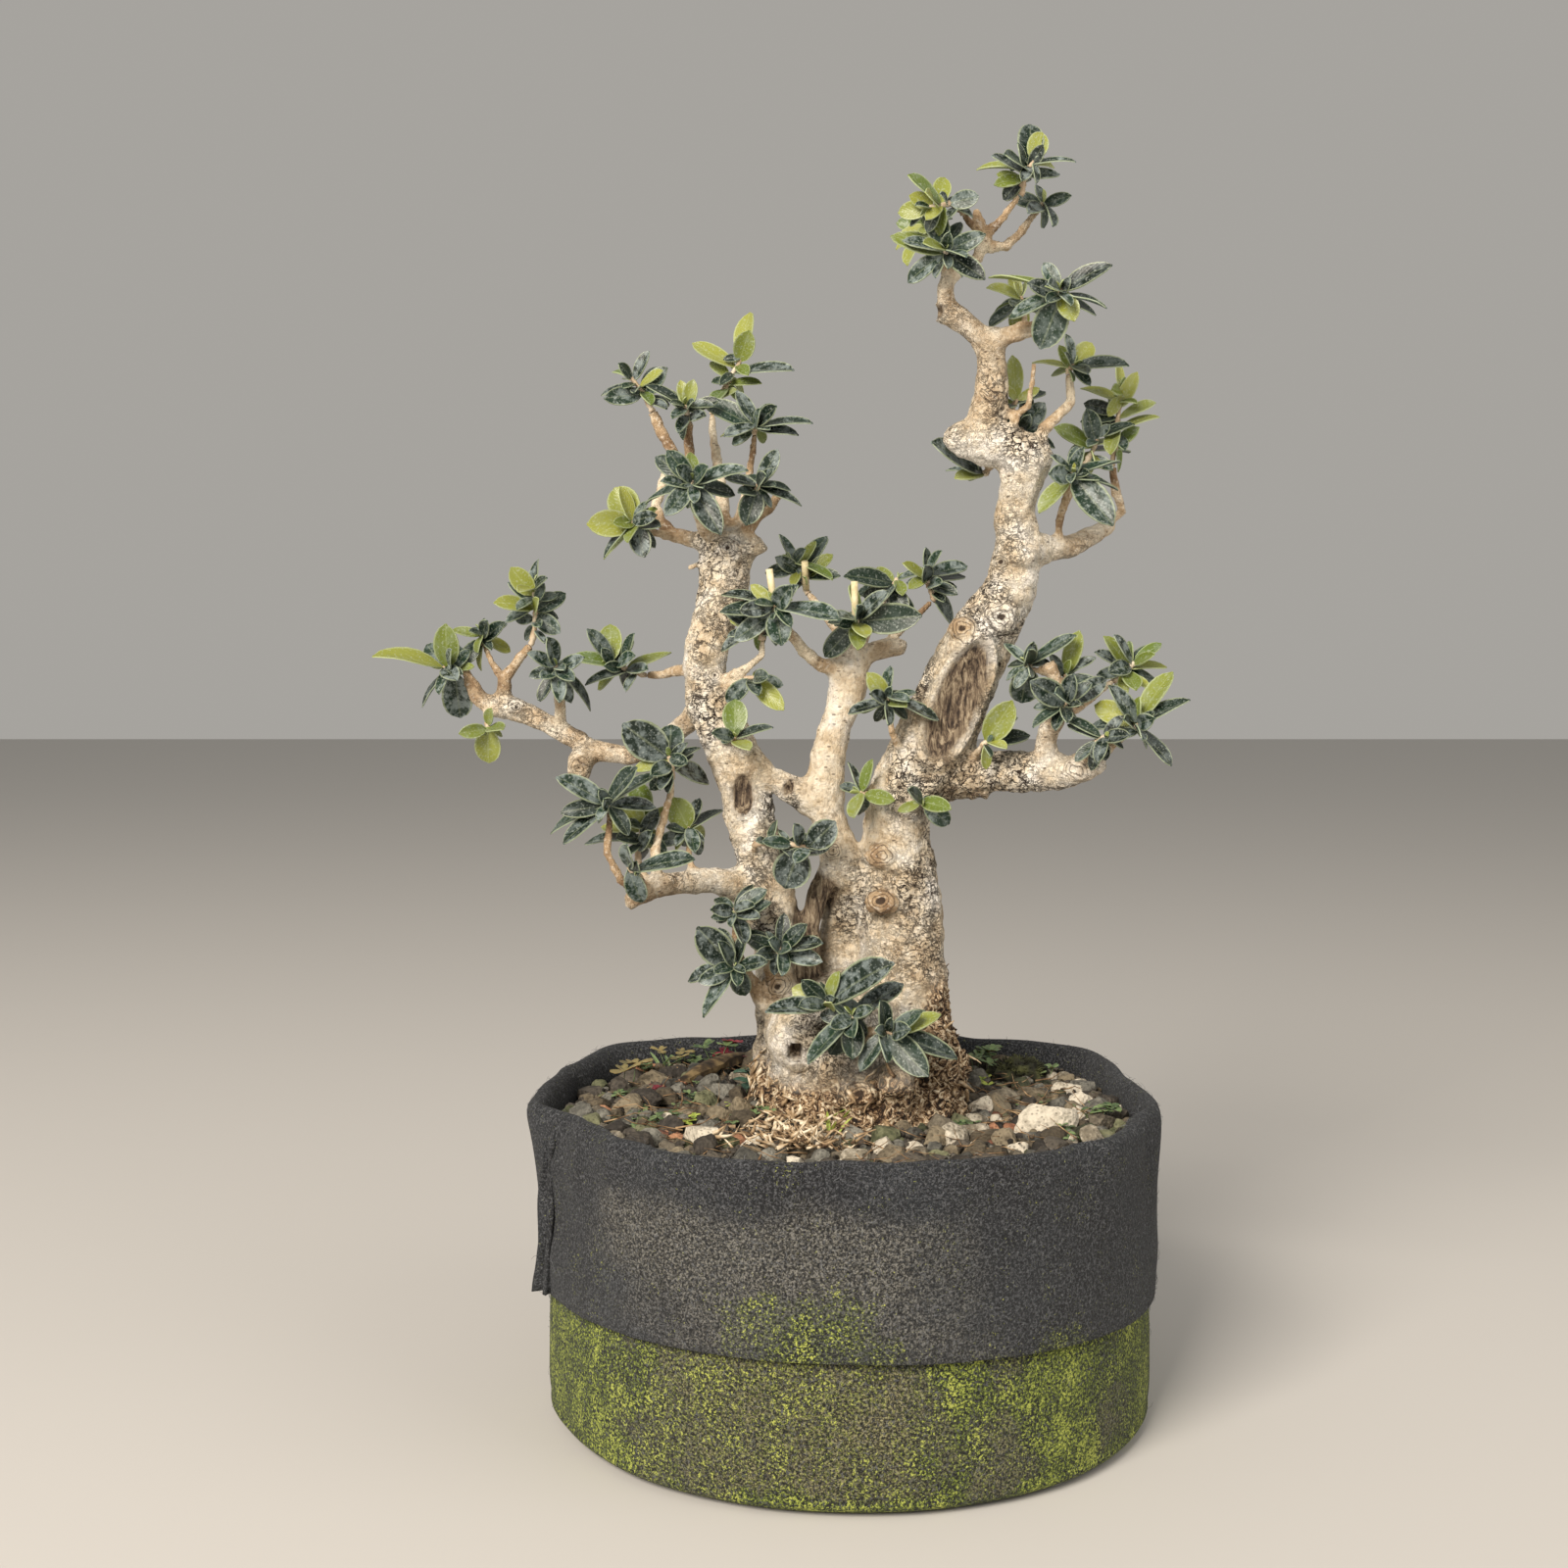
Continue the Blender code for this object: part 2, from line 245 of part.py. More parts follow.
# Sprays: the twig each grows from, its own shoot as x, height and depth in mm, and its leaves
# from the shoot's foot to its tip, as direction in degrees with up at 90, seen length and seen
# width in mm. Young leaves are lime green, the others are dark.
SPRAYS = {
    "spray_crown_peak": ("crown_peak_twig", [(69, 498, 3), (73, 506, 2)], [
        (195, 12, 5, YOUNG), (10, 14, 5), (165, 15, 5), (168, 19, 4, YOUNG), (60, 9, 5), (87, 19, 10),
        (5, 16, 3), (72, 13, 8, YOUNG)]),
    "spray_crown_side": ("crown_side_twig", [(77, 489, 18)], [
        (158, 12, 6), (10, 10, 5), (100, 9, 4)]),
    "spray_crown_left": ("crown_left_twig", [(40, 489, -10), (31, 487, -13)], [
        (10, 11, 7), (25, 12, 3), (145, 16, 5, YOUNG), (75, 13, 7, YOUNG), (150, 10, 6, YOUNG),
        (185, 12, 7, YOUNG)]),
    "spray_crown_low": ("crown_low_twig", [(38, 471, -12)], [
        (160, 22, 8, YOUNG), (320, 18, 8), (205, 17, 7), (10, 14, 7), (165, 16, 5), (112, 18, 9),
        (80, 13, 5)]),
    "spray_crown_back": ("crown_back_twig", [(29, 480, 30)], [
        (240, 20, 4, YOUNG), (195, 15, 3, YOUNG), (100, 12, 6), (170, 11, 6, YOUNG)]),
    "spray_crown_right": ("crown_right_twig", [(84, 455, -21)], [
        (250, 20, 13), (325, 17, 3), (200, 20, 6), (293, 12, 8, YOUNG), (160, 27, 4, YOUNG),
        (27, 19, 7), (118, 12, 6)]),
    "spray_crown_gap": ("crown_gap_twig", [(68, 452, 14)], [
        (215, 17, 5), (350, 10, 4), (165, 14, 5, YOUNG), (110, 10, 5, YOUNG)]),
    "spray_right_top": ("right_top_twig", [(90, 425, 12)], [
        (165, 15, 3, YOUNG), (0, 21, 6), (50, 13, 8, YOUNG), (95, 12, 4)]),
    "spray_right_high": ("upper_far_twig", [(107, 394, 10), (108, 404, 8), (109, 416, 7)], [
        (20, 16, 3, YOUNG), (155, 12, 4), (25, 15, 4, YOUNG), (160, 14, 6), (65, 15, 6, YOUNG),
        (150, 16, 5, YOUNG),
        (250, 9, 5, YOUNG), (95, 13, 4, YOUNG)]),
    "spray_right_mid": ("upper_mid_twig", [(98, 391, 12), (100, 397, 10)], [
        (5, 22, 3), (155, 18, 7, YOUNG), (10, 18, 3, YOUNG), (111, 13, 8), (65, 16, 6), (20, 14, 4)]),
    "spray_right_low": ("upper_near_twig", [(90, 382, -13)], [
        (225, 19, 6, YOUNG), (18, 22, 3), (305, 25, 12), (2, 20, 3), (145, 11, 3)]),
    "spray_stem_leaf": ("crown_foot_twig", [(67, 411, 11)], [
        (25, 15, 4), (95, 18, 7, YOUNG), (10, 10, 4, YOUNG)]),
    "spray_head_left": ("right_head_left_twig", [(52, 382, 17)], [
        (155, 25, 9), (170, 14, 3), (120, 12, 6, YOUNG)]),
    "spray_head_back": ("right_head_back_twig", [(70, 400, 21)], [
        (140, 14, 8), (50, 12, 8), (100, 14, 6), (200, 12, 6)]),
    "spray_left_peak": ("left_peak_arm", [(-53, 412, 34), (-48, 421, 31), (-43, 429, 27)], [
        (0, 15, 4, YOUNG), (135, 12, 5, YOUNG), (0, 26, 6), (150, 22, 7, YOUNG), (70, 13, 9, YOUNG),
        (85, 22, 8, YOUNG)]),
    "spray_left_pale": ("left_pale_twig", [(-38, 401, 2)], [
        (183, 15, 3, YOUNG), (350, 18, 5), (152, 25, 9), (347, 23, 4), (128, 17, 6), (200, 14, 5)]),
    "spray_left_far_top": ("left_far_arm", [(-84, 414, 24), (-89, 420, 23)], [
        (190, 16, 8), (60, 13, 5), (30, 12, 4, YOUNG), (190, 16, 3), (65, 14, 5), (150, 10, 3, YOUNG)]),
    "spray_left_top_mid": ("left_up_arm", [(-67, 409, 1)], [
        (135, 15, 5), (20, 14, 5), (120, 12, 5, YOUNG), (75, 12, 6, YOUNG), (158, 18, 4), (340, 12, 4)]),
    "spray_left_rosette": ("left_rosette_twig", [(-64, 379, -30)], [
        (300, 22, 10), (195, 21, 4), (15, 22, 6), (345, 17, 6), (250, 17, 8), (145, 19, 8),
        (130, 15, 8), (95, 12, 5, YOUNG)]),
    "spray_left_lime": ("left_lime_twig", [(-89, 362, -10)], [
        (222, 20, 4, YOUNG), (285, 14, 9), (120, 17, 13, YOUNG), (183, 18, 11, YOUNG),
        (100, 15, 5, YOUNG), (215, 18, 3)]),
    "spray_left_small": ("left_small_rosette_twig", [(-37, 378, -24)], [
        (253, 15, 10), (340, 19, 4), (166, 13, 4), (355, 13, 3), (60, 15, 7)]),
    "spray_mid_left": ("middle_left_arm", [(-31, 329, -30)], [
        (215, 20, 8), (280, 14, 10), (200, 21, 6), (352, 25, 6), (172, 22, 4), (190, 14, 7),
        (140, 12, 5, YOUNG)]),
    "spray_mid_top": ("middle_top_twig", [(-19, 340, 19), (-24, 346, 18)], [
        (0, 15, 5), (60, 20, 7), (150, 12, 6), (40, 14, 4, YOUNG), (190, 12, 6), (115, 15, 4),
        (340, 18, 3, YOUNG)]),
    "spray_mid_front": ("middle_front_twig", [(3, 323, -26)], [
        (228, 19, 9), (5, 25, 12), (345, 12, 5), (35, 16, 6), (100, 14, 4, YOUNG)]),
    "spray_mid_back": ("middle_back_twig", [(19, 339, 32)], [
        (300, 12, 8), (190, 15, 6), (170, 21, 8), (145, 10, 6, YOUNG), (20, 13, 3)]),
    "spray_mid_right": ("middle_right_twig", [(31, 338, 7), (31, 342, 6)], [
        (288, 19, 6), (340, 12, 5), (27, 17, 4), (150, 12, 4, YOUNG), (14, 18, 6), (60, 10, 3)]),
    "spray_left_stem": ("left_stem_twig", [(-37, 321, -22)], [
        (150, 14, 5), (205, 18, 4), (180, 14, 5, YOUNG), (190, 13, 5), (30, 12, 5)]),
    "spray_left_stem_low": ("left_stem_low_twig", [(-39, 299, -16)], [
        (215, 13, 7), (315, 18, 8, YOUNG), (345, 12, 5)]),
    "spray_left_stem_lime": ("left_stem_lime_twig", [(-47, 275, -20)], [
        (20, 16, 3), (90, 15, 10, YOUNG)]),
    "spray_big_leaves": ("left_big_leaf_twig", [(-30, 232, -19), (-16, 229, -20)], [
        (355, 20, 9), (170, 12, 5), (250, 18, 15), (45, 15, 11)]),
    "spray_gap": ("right_gap_twig", [(15, 292, -17)], [
        (195, 16, 4), (20, 12, 3), (205, 12, 4), (345, 19, 4), (130, 12, 7, YOUNG), (85, 12, 4)]),
    "spray_stem_edge": ("right_edge_twig", [(4, 252, -14)], [
        (160, 10, 4), (75, 14, 4, YOUNG), (110, 13, 3)]),
    "spray_stem_front": ("right_front_twig", [(30, 248, -22)], [
        (200, 10, 4, YOUNG), (320, 15, 8)]),
    "spray_right_inner": ("right_inner_twig", [(56, 273, -20)], [
        (10, 19, 6), (60, 19, 11, YOUNG), (35, 16, 3)]),
    "spray_right_lime": ("side_lime_twig", [(88, 301, -7)], [
        (125, 11, 4), (35, 15, 3), (75, 18, 7, YOUNG), (20, 12, 3)]),
    "spray_right_disc": ("side_disc_twig", [(72, 305, -13)], [
        (265, 15, 12), (15, 21, 4), (135, 12, 4), (80, 8, 5)]),
    "spray_right_dark": ("side_dark_twig", [(89, 289, -24)], [
        (200, 15, 3), (185, 12, 4), (150, 17, 10), (30, 18, 8)]),
    "spray_right_back": ("side_back_twig", [(112, 302, 20), (116, 305, 20)], [
        (345, 18, 5), (190, 12, 5), (2, 18, 3, YOUNG), (128, 16, 6, YOUNG), (38, 16, 4), (143, 16, 4),
        (35, 13, 4, YOUNG)]),
    "spray_right_tip": ("side_tip_twig", [(118, 281, -19)], [
        (313, 20, 5), (172, 18, 4), (27, 22, 4), (155, 17, 9, YOUNG), (130, 19, 7), (58, 24, 6, YOUNG)]),
    "spray_right_small": ("side_small_twig", [(104, 275, -25)], [
        (155, 13, 4), (280, 8, 5), (160, 15, 4), (50, 11, 4), (10, 12, 4)]),
    "spray_low_rosette": ("low_tip_twig", [(-99.5, 248, -13)], [
        (217, 22, 5), (357, 18, 5), (187, 18, 7), (33, 21, 4), (167, 22, 7), (205, 27, 4), (50, 19, 6)]),
    "spray_low_lime": ("low_lime_twig", [(-87, 228, 1), (-84, 242, 2)], [
        (183, 24, 3), (40, 13, 6), (175, 17, 4, YOUNG), (125, 15, 10, YOUNG), (25, 15, 3, YOUNG),
        (100, 15, 10, YOUNG)]),
    "spray_low_front": ("low_front_twig", [(-91, 221, -24)], [
        (15, 25, 5), (305, 16, 8)]),
    "spray_low_upright": ("low_upright_twig", [(-73, 262, -5), (-74, 267, -6)], [
        (356, 20, 7), (205, 9, 5), (30, 13, 3), (200, 14, 5, YOUNG), (90, 14, 11), (143, 22, 15)]),
    "spray_low_inner": ("low_inner_twig", [(-66, 238, -1)], [
        (200, 13, 6), (30, 18, 3), (115, 14, 11, YOUNG), (70, 12, 5)]),
    "spray_far_tip": ("far_branch", [(-161, 302, 6), (-166, 303, 5)], [
        (270, 21, 13), (45, 12, 5), (225, 22, 3), (80, 19, 11, YOUNG), (135, 15, 9),
        (165, 27, 5, YOUNG)]),
    "spray_far_mid": ("far_mid_twig", [(-150, 317, 22)], [
        (240, 15, 7), (330, 13, 5, YOUNG), (170, 13, 4, YOUNG), (25, 11, 4)]),
    "spray_far_up": ("far_up_twig", [(-128.5, 318, 9), (-128, 328, 8), (-129, 336, 7)], [
        (180, 9, 5), (325, 13, 8), (35, 15, 7), (170, 16, 6, YOUNG), (208, 15, 5), (60, 9, 4), (10, 9, 4),
        (128, 15, 9, YOUNG), (90, 15, 5), (185, 10, 3, YOUNG)]),
    "spray_far_inner": ("far_inner_twig", [(-120, 304, -12)], [
        (240, 14, 5), (310, 22, 3), (280, 14, 6), (200, 12, 5), (150, 11, 5)]),
    "spray_far_hanging": ("far_hanging_twig", [(-148, 278, -4)], [
        (268, 16, 11, YOUNG), (190, 11, 6, YOUNG)]),
    "spray_mid_left_far": ("left_back_twig", [(-90, 302, 28), (-98, 305, 25)], [
        (198, 19, 4), (20, 20, 4, YOUNG), (75, 15, 4), (222, 16, 4, YOUNG), (168, 21, 5, YOUNG),
        (60, 13, 5),
        (142, 18, 6), (113, 19, 10, YOUNG)]),
    "spray_sprout_tip": ("sprout_arm", [(-48, 204, -27)], [
        (60, 13, 4), (190, 9, 4), (150, 9, 4), (230, 9, 4)]),
    "spray_sprout_left": ("sprout_left_twig", [(-48, 181, -32)], [
        (237, 22, 5), (280, 13, 8), (220, 13, 7), (198, 20, 4), (150, 21, 13), (95, 15, 7)]),
    "spray_sprout_mid": ("sprout_mid_twig", [(-27.5, 188, -25)], [
        (225, 12, 3), (350, 17, 7), (160, 17, 6), (15, 17, 4), (85, 14, 6), (50, 14, 6)]),
    "spray_sprout_left_front": ("sprout_left_front_twig", [(-10, 166, -44)], [
        (180, 24, 5), (60, 12, 8), (40, 30, 9), (160, 14, 8, YOUNG), (135, 13, 7)]),
    "spray_sprout_front": ("sprout_front_twig", [(1, 160, -50)], [
        (240, 17, 9), (270, 15, 9), (30, 23, 6), (225, 24, 5)]),
    "spray_sprout_right_front": ("sprout_right_front_twig", [(18, 152, -51)], [
        (235, 18, 6), (15, 18, 9), (315, 20, 11), (345, 26, 4), (330, 23, 6), (30, 19, 5, YOUNG)]),
}

FELT = ("felt", (0.020, 0.021, 0.024), 0.95, 0.0)
GRIT = ("pumice_grit", (0.36, 0.31, 0.25), 0.9, 0.0)
BARK = ("olive_bark", (0.42, 0.30, 0.19), 0.85, 0.0)
DARK_LEAF = ("olive_leaf", (0.045, 0.105, 0.070), 0.5, 0.0)
LIME_LEAF = ("young_leaf", (0.24, 0.30, 0.065), 0.5, 0.0)


def clear_scene():
    for thing in list(bpy.data.objects):
        bpy.data.objects.remove(thing)


def material(name, colour, roughness, metallic):
    finish = bpy.data.materials.get(name)
    if finish is None:
        finish = bpy.data.materials.new(name)
        finish.use_nodes = True
        shader = finish.node_tree.nodes["Principled BSDF"]
        shader.inputs["Base Color"].default_value = (*colour, 1)
        shader.inputs["Roughness"].default_value = roughness
        shader.inputs["Metallic"].default_value = metallic
    return finish


def new_object(name, mesh):
    piece = bpy.data.objects.new(name, mesh)
    bpy.context.scene.collection.objects.link(piece)
    return piece


def apply_modifiers(piece):
    """The piece's mesh becomes what its modifiers make of it"""
    ready = piece.evaluated_get(bpy.context.evaluated_depsgraph_get())
    plain = piece.data
    piece.data = bpy.data.meshes.new_from_object(ready)
    piece.modifiers.clear()
    bpy.data.meshes.remove(plain)


def seen(name, x, height, depth):
    """Place in metres of what is seen at x and height in mm, that many mm behind the middle plane
    before its bough swings"""
    bough = name.split("_")[0]
    for swung, way, hinge, gain in SWINGS:
        if swung == bough:
            beyond = height - hinge if way == "height" else abs(x) - abs(hinge)
            depth += gain * max(0, beyond)
    spot = Vector((x, 0, height))
    return (EYE + (spot - EYE) * (1 - depth / EYE.y)) * MM


def tube(name, centres, radii, corners):
    """Closed tapering tube through the centres, with an even number of corners"""
    path = bpy.data.curves.new(name, "CURVE")
    path.dimensions = "3D"
    path.bevel_depth = MM
    path.bevel_resolution = (corners - 4) // 2
    path.use_fill_caps = True
    spline = path.splines.new("POLY")
    spline.points.add(len(centres) - 1)
    for point, centre, radius in zip(spline.points, centres, radii):
        point.co = (*centre, 1)
        point.radius = radius / MM
    guide = new_object(name + "_path", path)
    ready = guide.evaluated_get(bpy.context.evaluated_depsgraph_get())
    mesh = bpy.data.meshes.new_from_object(ready)
    weld = bmesh.new()
    weld.from_mesh(mesh)
    bmesh.ops.remove_doubles(weld, verts=weld.verts, dist=0.002 * MM)
    weld.to_mesh(mesh)
    weld.free()
    piece = new_object(name, mesh)
    piece.matrix_world = guide.matrix_world
    bpy.data.objects.remove(guide)
    bpy.data.curves.remove(path)
    return piece


def turned(name, profile, turns):
    """Closed turned body from radius and height in mm, given down its outer side"""
    mesh = bpy.data.meshes.new(name)
    outline = [(0, profile[0][1])] + profile + [(0, profile[-1][1])]
    corners = [(radius * MM, 0, height * MM) for radius, height in outline]
    mesh.from_pydata(corners, [(i, i + 1) for i in range(len(corners) - 1)], [])
    piece = new_object(name, mesh)
    screw = piece.modifiers.new("turn", "SCREW")
    screw.steps = turns
    screw.render_steps = turns
    screw.use_merge_vertices = True
    screw.merge_threshold = 0.01 * MM
    apply_modifiers(piece)
    return piece


def fused(name, pieces, finish, solver):
    """One closed body from the pieces, by one Boolean union on a collection"""
    body, *others = pieces
    if others:
        group = bpy.data.collections.new(name + "_pieces")
        for piece in others:
            group.objects.link(piece)
        union = body.modifiers.new("union", "BOOLEAN")
        union.operation = "UNION"
        union.operand_type = "COLLECTION"
        union.collection = group
        union.solver = solver
        apply_modifiers(body)
        for piece in others:
            bpy.data.objects.remove(piece)
        bpy.data.collections.remove(group)
    body.name = name
    body.data.name = name
    body.data.materials.clear()
    body.data.materials.append(material(*finish))
    return body


def move_to(group, piece):
    for current in list(piece.users_collection):
        current.objects.unlink(piece)
    group.objects.link(piece)


def cut(body, cutter, cutters):
    """The cutter is taken out of the body and kept, hidden, with the other cutters"""
    move_to(cutters, cutter)
    cutter.hide_render = True
    cutter.display_type = "WIRE"
    hollow = body.modifiers.new("cut", "BOOLEAN")
    hollow.operation = "DIFFERENCE"
    hollow.object = cutter
    apply_modifiers(body)


def slump(angle, height):
    """How much wider or narrower than turned the bag is, in a direction in radians at a height"""
    direction = math.degrees(math.remainder(angle, math.tau))
    for (before, start), (after, end) in zip(RIM, RIM[1:]):
        if direction <= after:
            break
    share = (direction - before) / (after - before)
    reach = start + (end - start) * (3 - 2 * share) * share ** 2
    softness = 0.1 + 0.9 * (height / BAG_HEIGHT) ** 3
    return 1 + (reach * MM / (FELT_RIM[1][0] * MM) - 1) * softness


def hem_lift(angle):
    """The cuff was turned down less far at the front than at the sides"""
    front = max(0.0, -math.sin(angle))
    return (8.5 * front ** 0.75 + 1.5 - 1.5 * math.cos(angle)) * MM


def split_faces(piece):
    """Into triangles, along the shorter diagonals"""
    split = bmesh.new()
    split.from_mesh(piece.data)
    bmesh.ops.triangulate(split, faces=split.faces[:], quad_method="SHORT_EDGE")
    split.to_mesh(piece.data)
    split.free()


def slumped(piece):
    """Gives a turned body the bag's soft outline: round below, cornered at the rim

    Its faces are split along their shorter diagonals, so that what fills the bag fits it.
    """
    for corner in piece.data.vertices:
        place = corner.co
        radius = math.hypot(place.x, place.y)
        angle = math.atan2(place.y, place.x)
        if radius > 121 * MM and abs(place.z - FELT_CUFF[-1][1] * MM) < MM:
            place.z += hem_lift(angle)
        factor = slump(angle, place.z)
        place.x *= factor
        place.y *= factor * (BAG_FLATNESS + (1 - BAG_FLATNESS) * place.z / BAG_HEIGHT)
    split_faces(piece)


def make_bag():
    outline = FELT_INSIDE + FELT_RIM + FELT_CUFF + FELT_WALL
    bag = turned("felt_bag", outline, BAG_TURNS)
    slumped(bag)
    flaps = [seam_flap(side) for side in (-1, 1)]
    return fused("felt_bag", [bag] + flaps, FELT, "EXACT")


def seam_flap(side):
    """One of the two layers of felt that stand out along the side seam of the cuff"""
    rows = len(SEAM_ROWS) - 1
    bpy.ops.mesh.primitive_grid_add(x_subdivisions=1, y_subdivisions=rows, size=1)
    flap = bpy.context.object
    flap.name = f"seam_flap_{side}"
    along = Vector((math.cos(SEAM_DIRECTION), math.sin(SEAM_DIRECTION), 0))
    across = Vector((-along.y, along.x, 0))
    for corner in flap.data.vertices:
        height, radius, reach = SEAM_ROWS[round((corner.co.y + 0.5) * rows)]
        outside = corner.co.x > 0
        out = radius * slump(SEAM_DIRECTION, height * MM) + (reach if outside else -2)
        off = side * SEAM_GAP / 2 if outside else 0
        corner.co = along * out * MM + across * off + Vector((0, 0, height * MM))
    layer = flap.modifiers.new("layer", "SOLIDIFY")
    layer.thickness = SEAM_FLAP
    layer.offset = side
    apply_modifiers(flap)
    return flap


def stone(name, centre, size, chance):
    """Squashed, cornered pebble that is kept off the felt"""
    bpy.ops.mesh.primitive_ico_sphere_add(subdivisions=1, radius=1)
    pebble = bpy.context.object
    pebble.name = name
    turn = Matrix.Rotation(chance.uniform(0, math.tau), 4, "Z")
    tilt = Matrix.Rotation(chance.uniform(-0.6, 0.6), 4, "X")
    stretch = [chance.uniform(0.9, 1.2), chance.uniform(0.8, 1.0), chance.uniform(0.6, 0.8)]
    shape = Matrix.Diagonal((*stretch, 1))
    for corner in pebble.data.vertices:
        corner.co *= chance.uniform(0.86, 1.08)
    pebble.data.transform(Matrix.Translation(centre) @ turn @ tilt @ shape @ Matrix.Scale(size, 4))
    for corner in pebble.data.vertices:
        place = corner.co
        room = 107 * MM * slump(math.atan2(place.y, place.x), place.z) / math.hypot(place.x, place.y)
        if room < 1:
            place.x *= room
            place.y *= room
    return pebble


def gritty(soil, chance):
    """The corners of the top become a close relief of grit, up to the felt and the stump"""
    outermost = (SOIL_RINGS[-1] + 1) * MM
    for corner in soil.data.vertices:
        place = corner.co
        if place.z > SOIL_TOP - MM and MM < math.hypot(place.x, place.y) < outermost:
            place.x += chance.uniform(-2.5, 2.5) * MM
            place.y += chance.uniform(-2.5, 2.5) * MM
            place.z += chance.uniform(*SOIL_RELIEF)


def make_soil(cutters):
    """Filled inside of the bag, grit all over its top, with a plain hole for the stump"""
    top = SOIL_TOP / MM
    inside = [(radius - GAP / MM, height) for radius, height in reversed(FELT_INSIDE)]
    inside[-1] = (inside[-1][0], SOIL_FLOOR / MM)
    soil = turned("soil", [(radius, top) for radius in SOIL_RINGS] + inside, BAG_TURNS)
    chance = random.Random(SEED)
    gritty(soil, chance)
    slumped(soil)
    stones = []
    golden = math.pi * (3 - math.sqrt(5))
    near, far = 52.0, 98.0
    for count in range(STONES):
        size = chance.uniform(*STONE_SIZES)
        radius = math.sqrt(near ** 2 + (far ** 2 - near ** 2) * (count + 0.5) / STONES)
        angle = count * golden + chance.uniform(-0.06, 0.06)
        radius *= 1 + (slump(angle, SOIL_TOP) - 1) * (radius / far) ** 2
        place = Vector((math.cos(angle), math.sin(angle), 0)) * (radius + chance.uniform(-2, 2)) * MM
        place.z = SOIL_TOP + chance.uniform(-0.5, 2) * MM
        stones.append(stone(f"stone_{count}", place, size, chance))
    soil = fused("soil", [soil] + stones, GRIT, "EXACT")
    hole = turned("stump_hole", STUMP_HOLE, STUMP_TURNS)
    hole.data.transform(Matrix.Translation(STUMP_CENTRE) @ Matrix.Diagonal((1, STUMP_FLATNESS, 1, 1)))
    cut(soil, hole, cutters)
    return soil


def make_stump():
    """Turned core of the stump, with roots running down its sides into the core's foot"""
    ellipse = Matrix.Translation(STUMP_CENTRE) @ Matrix.Diagonal((1, STUMP_FLATNESS, 1, 1))
    core = turned("stump_core", STUMP_CORE, STUMP_TURNS)
    core.data.transform(ellipse)
    roots = []
    for count, direction in enumerate(ROOT_DIRECTIONS):
        angle = math.radians(direction)
        path = []
        for radius, height in ((26, 158), (34, 140), (36.5, 123)):
            swing = angle + 0.08 * math.sin(height + count)
            place = Vector((radius * math.cos(swing), radius * math.sin(swing), height)) * MM
            path.append(ellipse @ place)
        roots.append(tube(f"root_{count}", path, [7 * MM, 8 * MM, 5.5 * MM], 6))
    return [core] + roots


def make_wood_pieces():
    """Every tube of the tree's wood, before they are fused"""
    pieces = make_stump()
    for name, points in {**STEMS, **LIMBS, **TWIGS}.items():
        centres = [seen(name, x, height, depth) for x, height, depth, _ in points]
        thickest = points[0][3]
        corners = 10 if thickest > 12 else 8 if thickest > 7 else 6 if thickest > 3.8 else 4
        pieces.append(tube(name, centres, [radius * MM for *_, radius in points], corners))
    for count, (bough, x, height, depth, radius, rise) in enumerate(KNOTS):
        centres = [seen(bough, x, height, depth + 2), seen(bough, x, height, depth - rise)]
        dome = tube(f"knot_{count}", centres, [radius * MM, 0.6 * radius * MM], 8)
        for corner in dome.data.vertices:
            corner.co.z += 0.25 * (centres[0].z - corner.co.z)
        pieces.append(dome)
    return pieces


def make_tree(pieces, cutters):
    tree = fused("trunk", pieces, BARK, "EXACT")
    thinned = tree.modifiers.new("flat_spots", "DECIMATE")
    thinned.decimate_type = "DISSOLVE"
    thinned.angle_limit = FLATTENED
    apply_modifiers(tree)
    for count, (bough, x, height, depth, width, tall, deep, lean) in enumerate(HOLLOWS):
        bpy.ops.mesh.primitive_uv_sphere_add(segments=8, ring_count=6, radius=MM)
        hollow = bpy.context.object
        hollow.name = f"hollow_{count}"
        turn = Matrix.Rotation(math.radians(lean), 4, "Y")
        middle = Matrix.Translation(seen(bough, x, height, depth))
        hollow.data.transform(middle @ turn @ Matrix.Diagonal((width, deep, tall, 1)))
        cut(tree, hollow, cutters)
    split_faces(tree)
    return tree


def as_tree_of_faces(piece):
    """The piece's faces, ready to be tested for crossings"""
    corners = [corner.co for corner in piece.data.vertices]
    return BVHTree.FromPolygons(corners, [tuple(face.vertices) for face in piece.data.polygons])


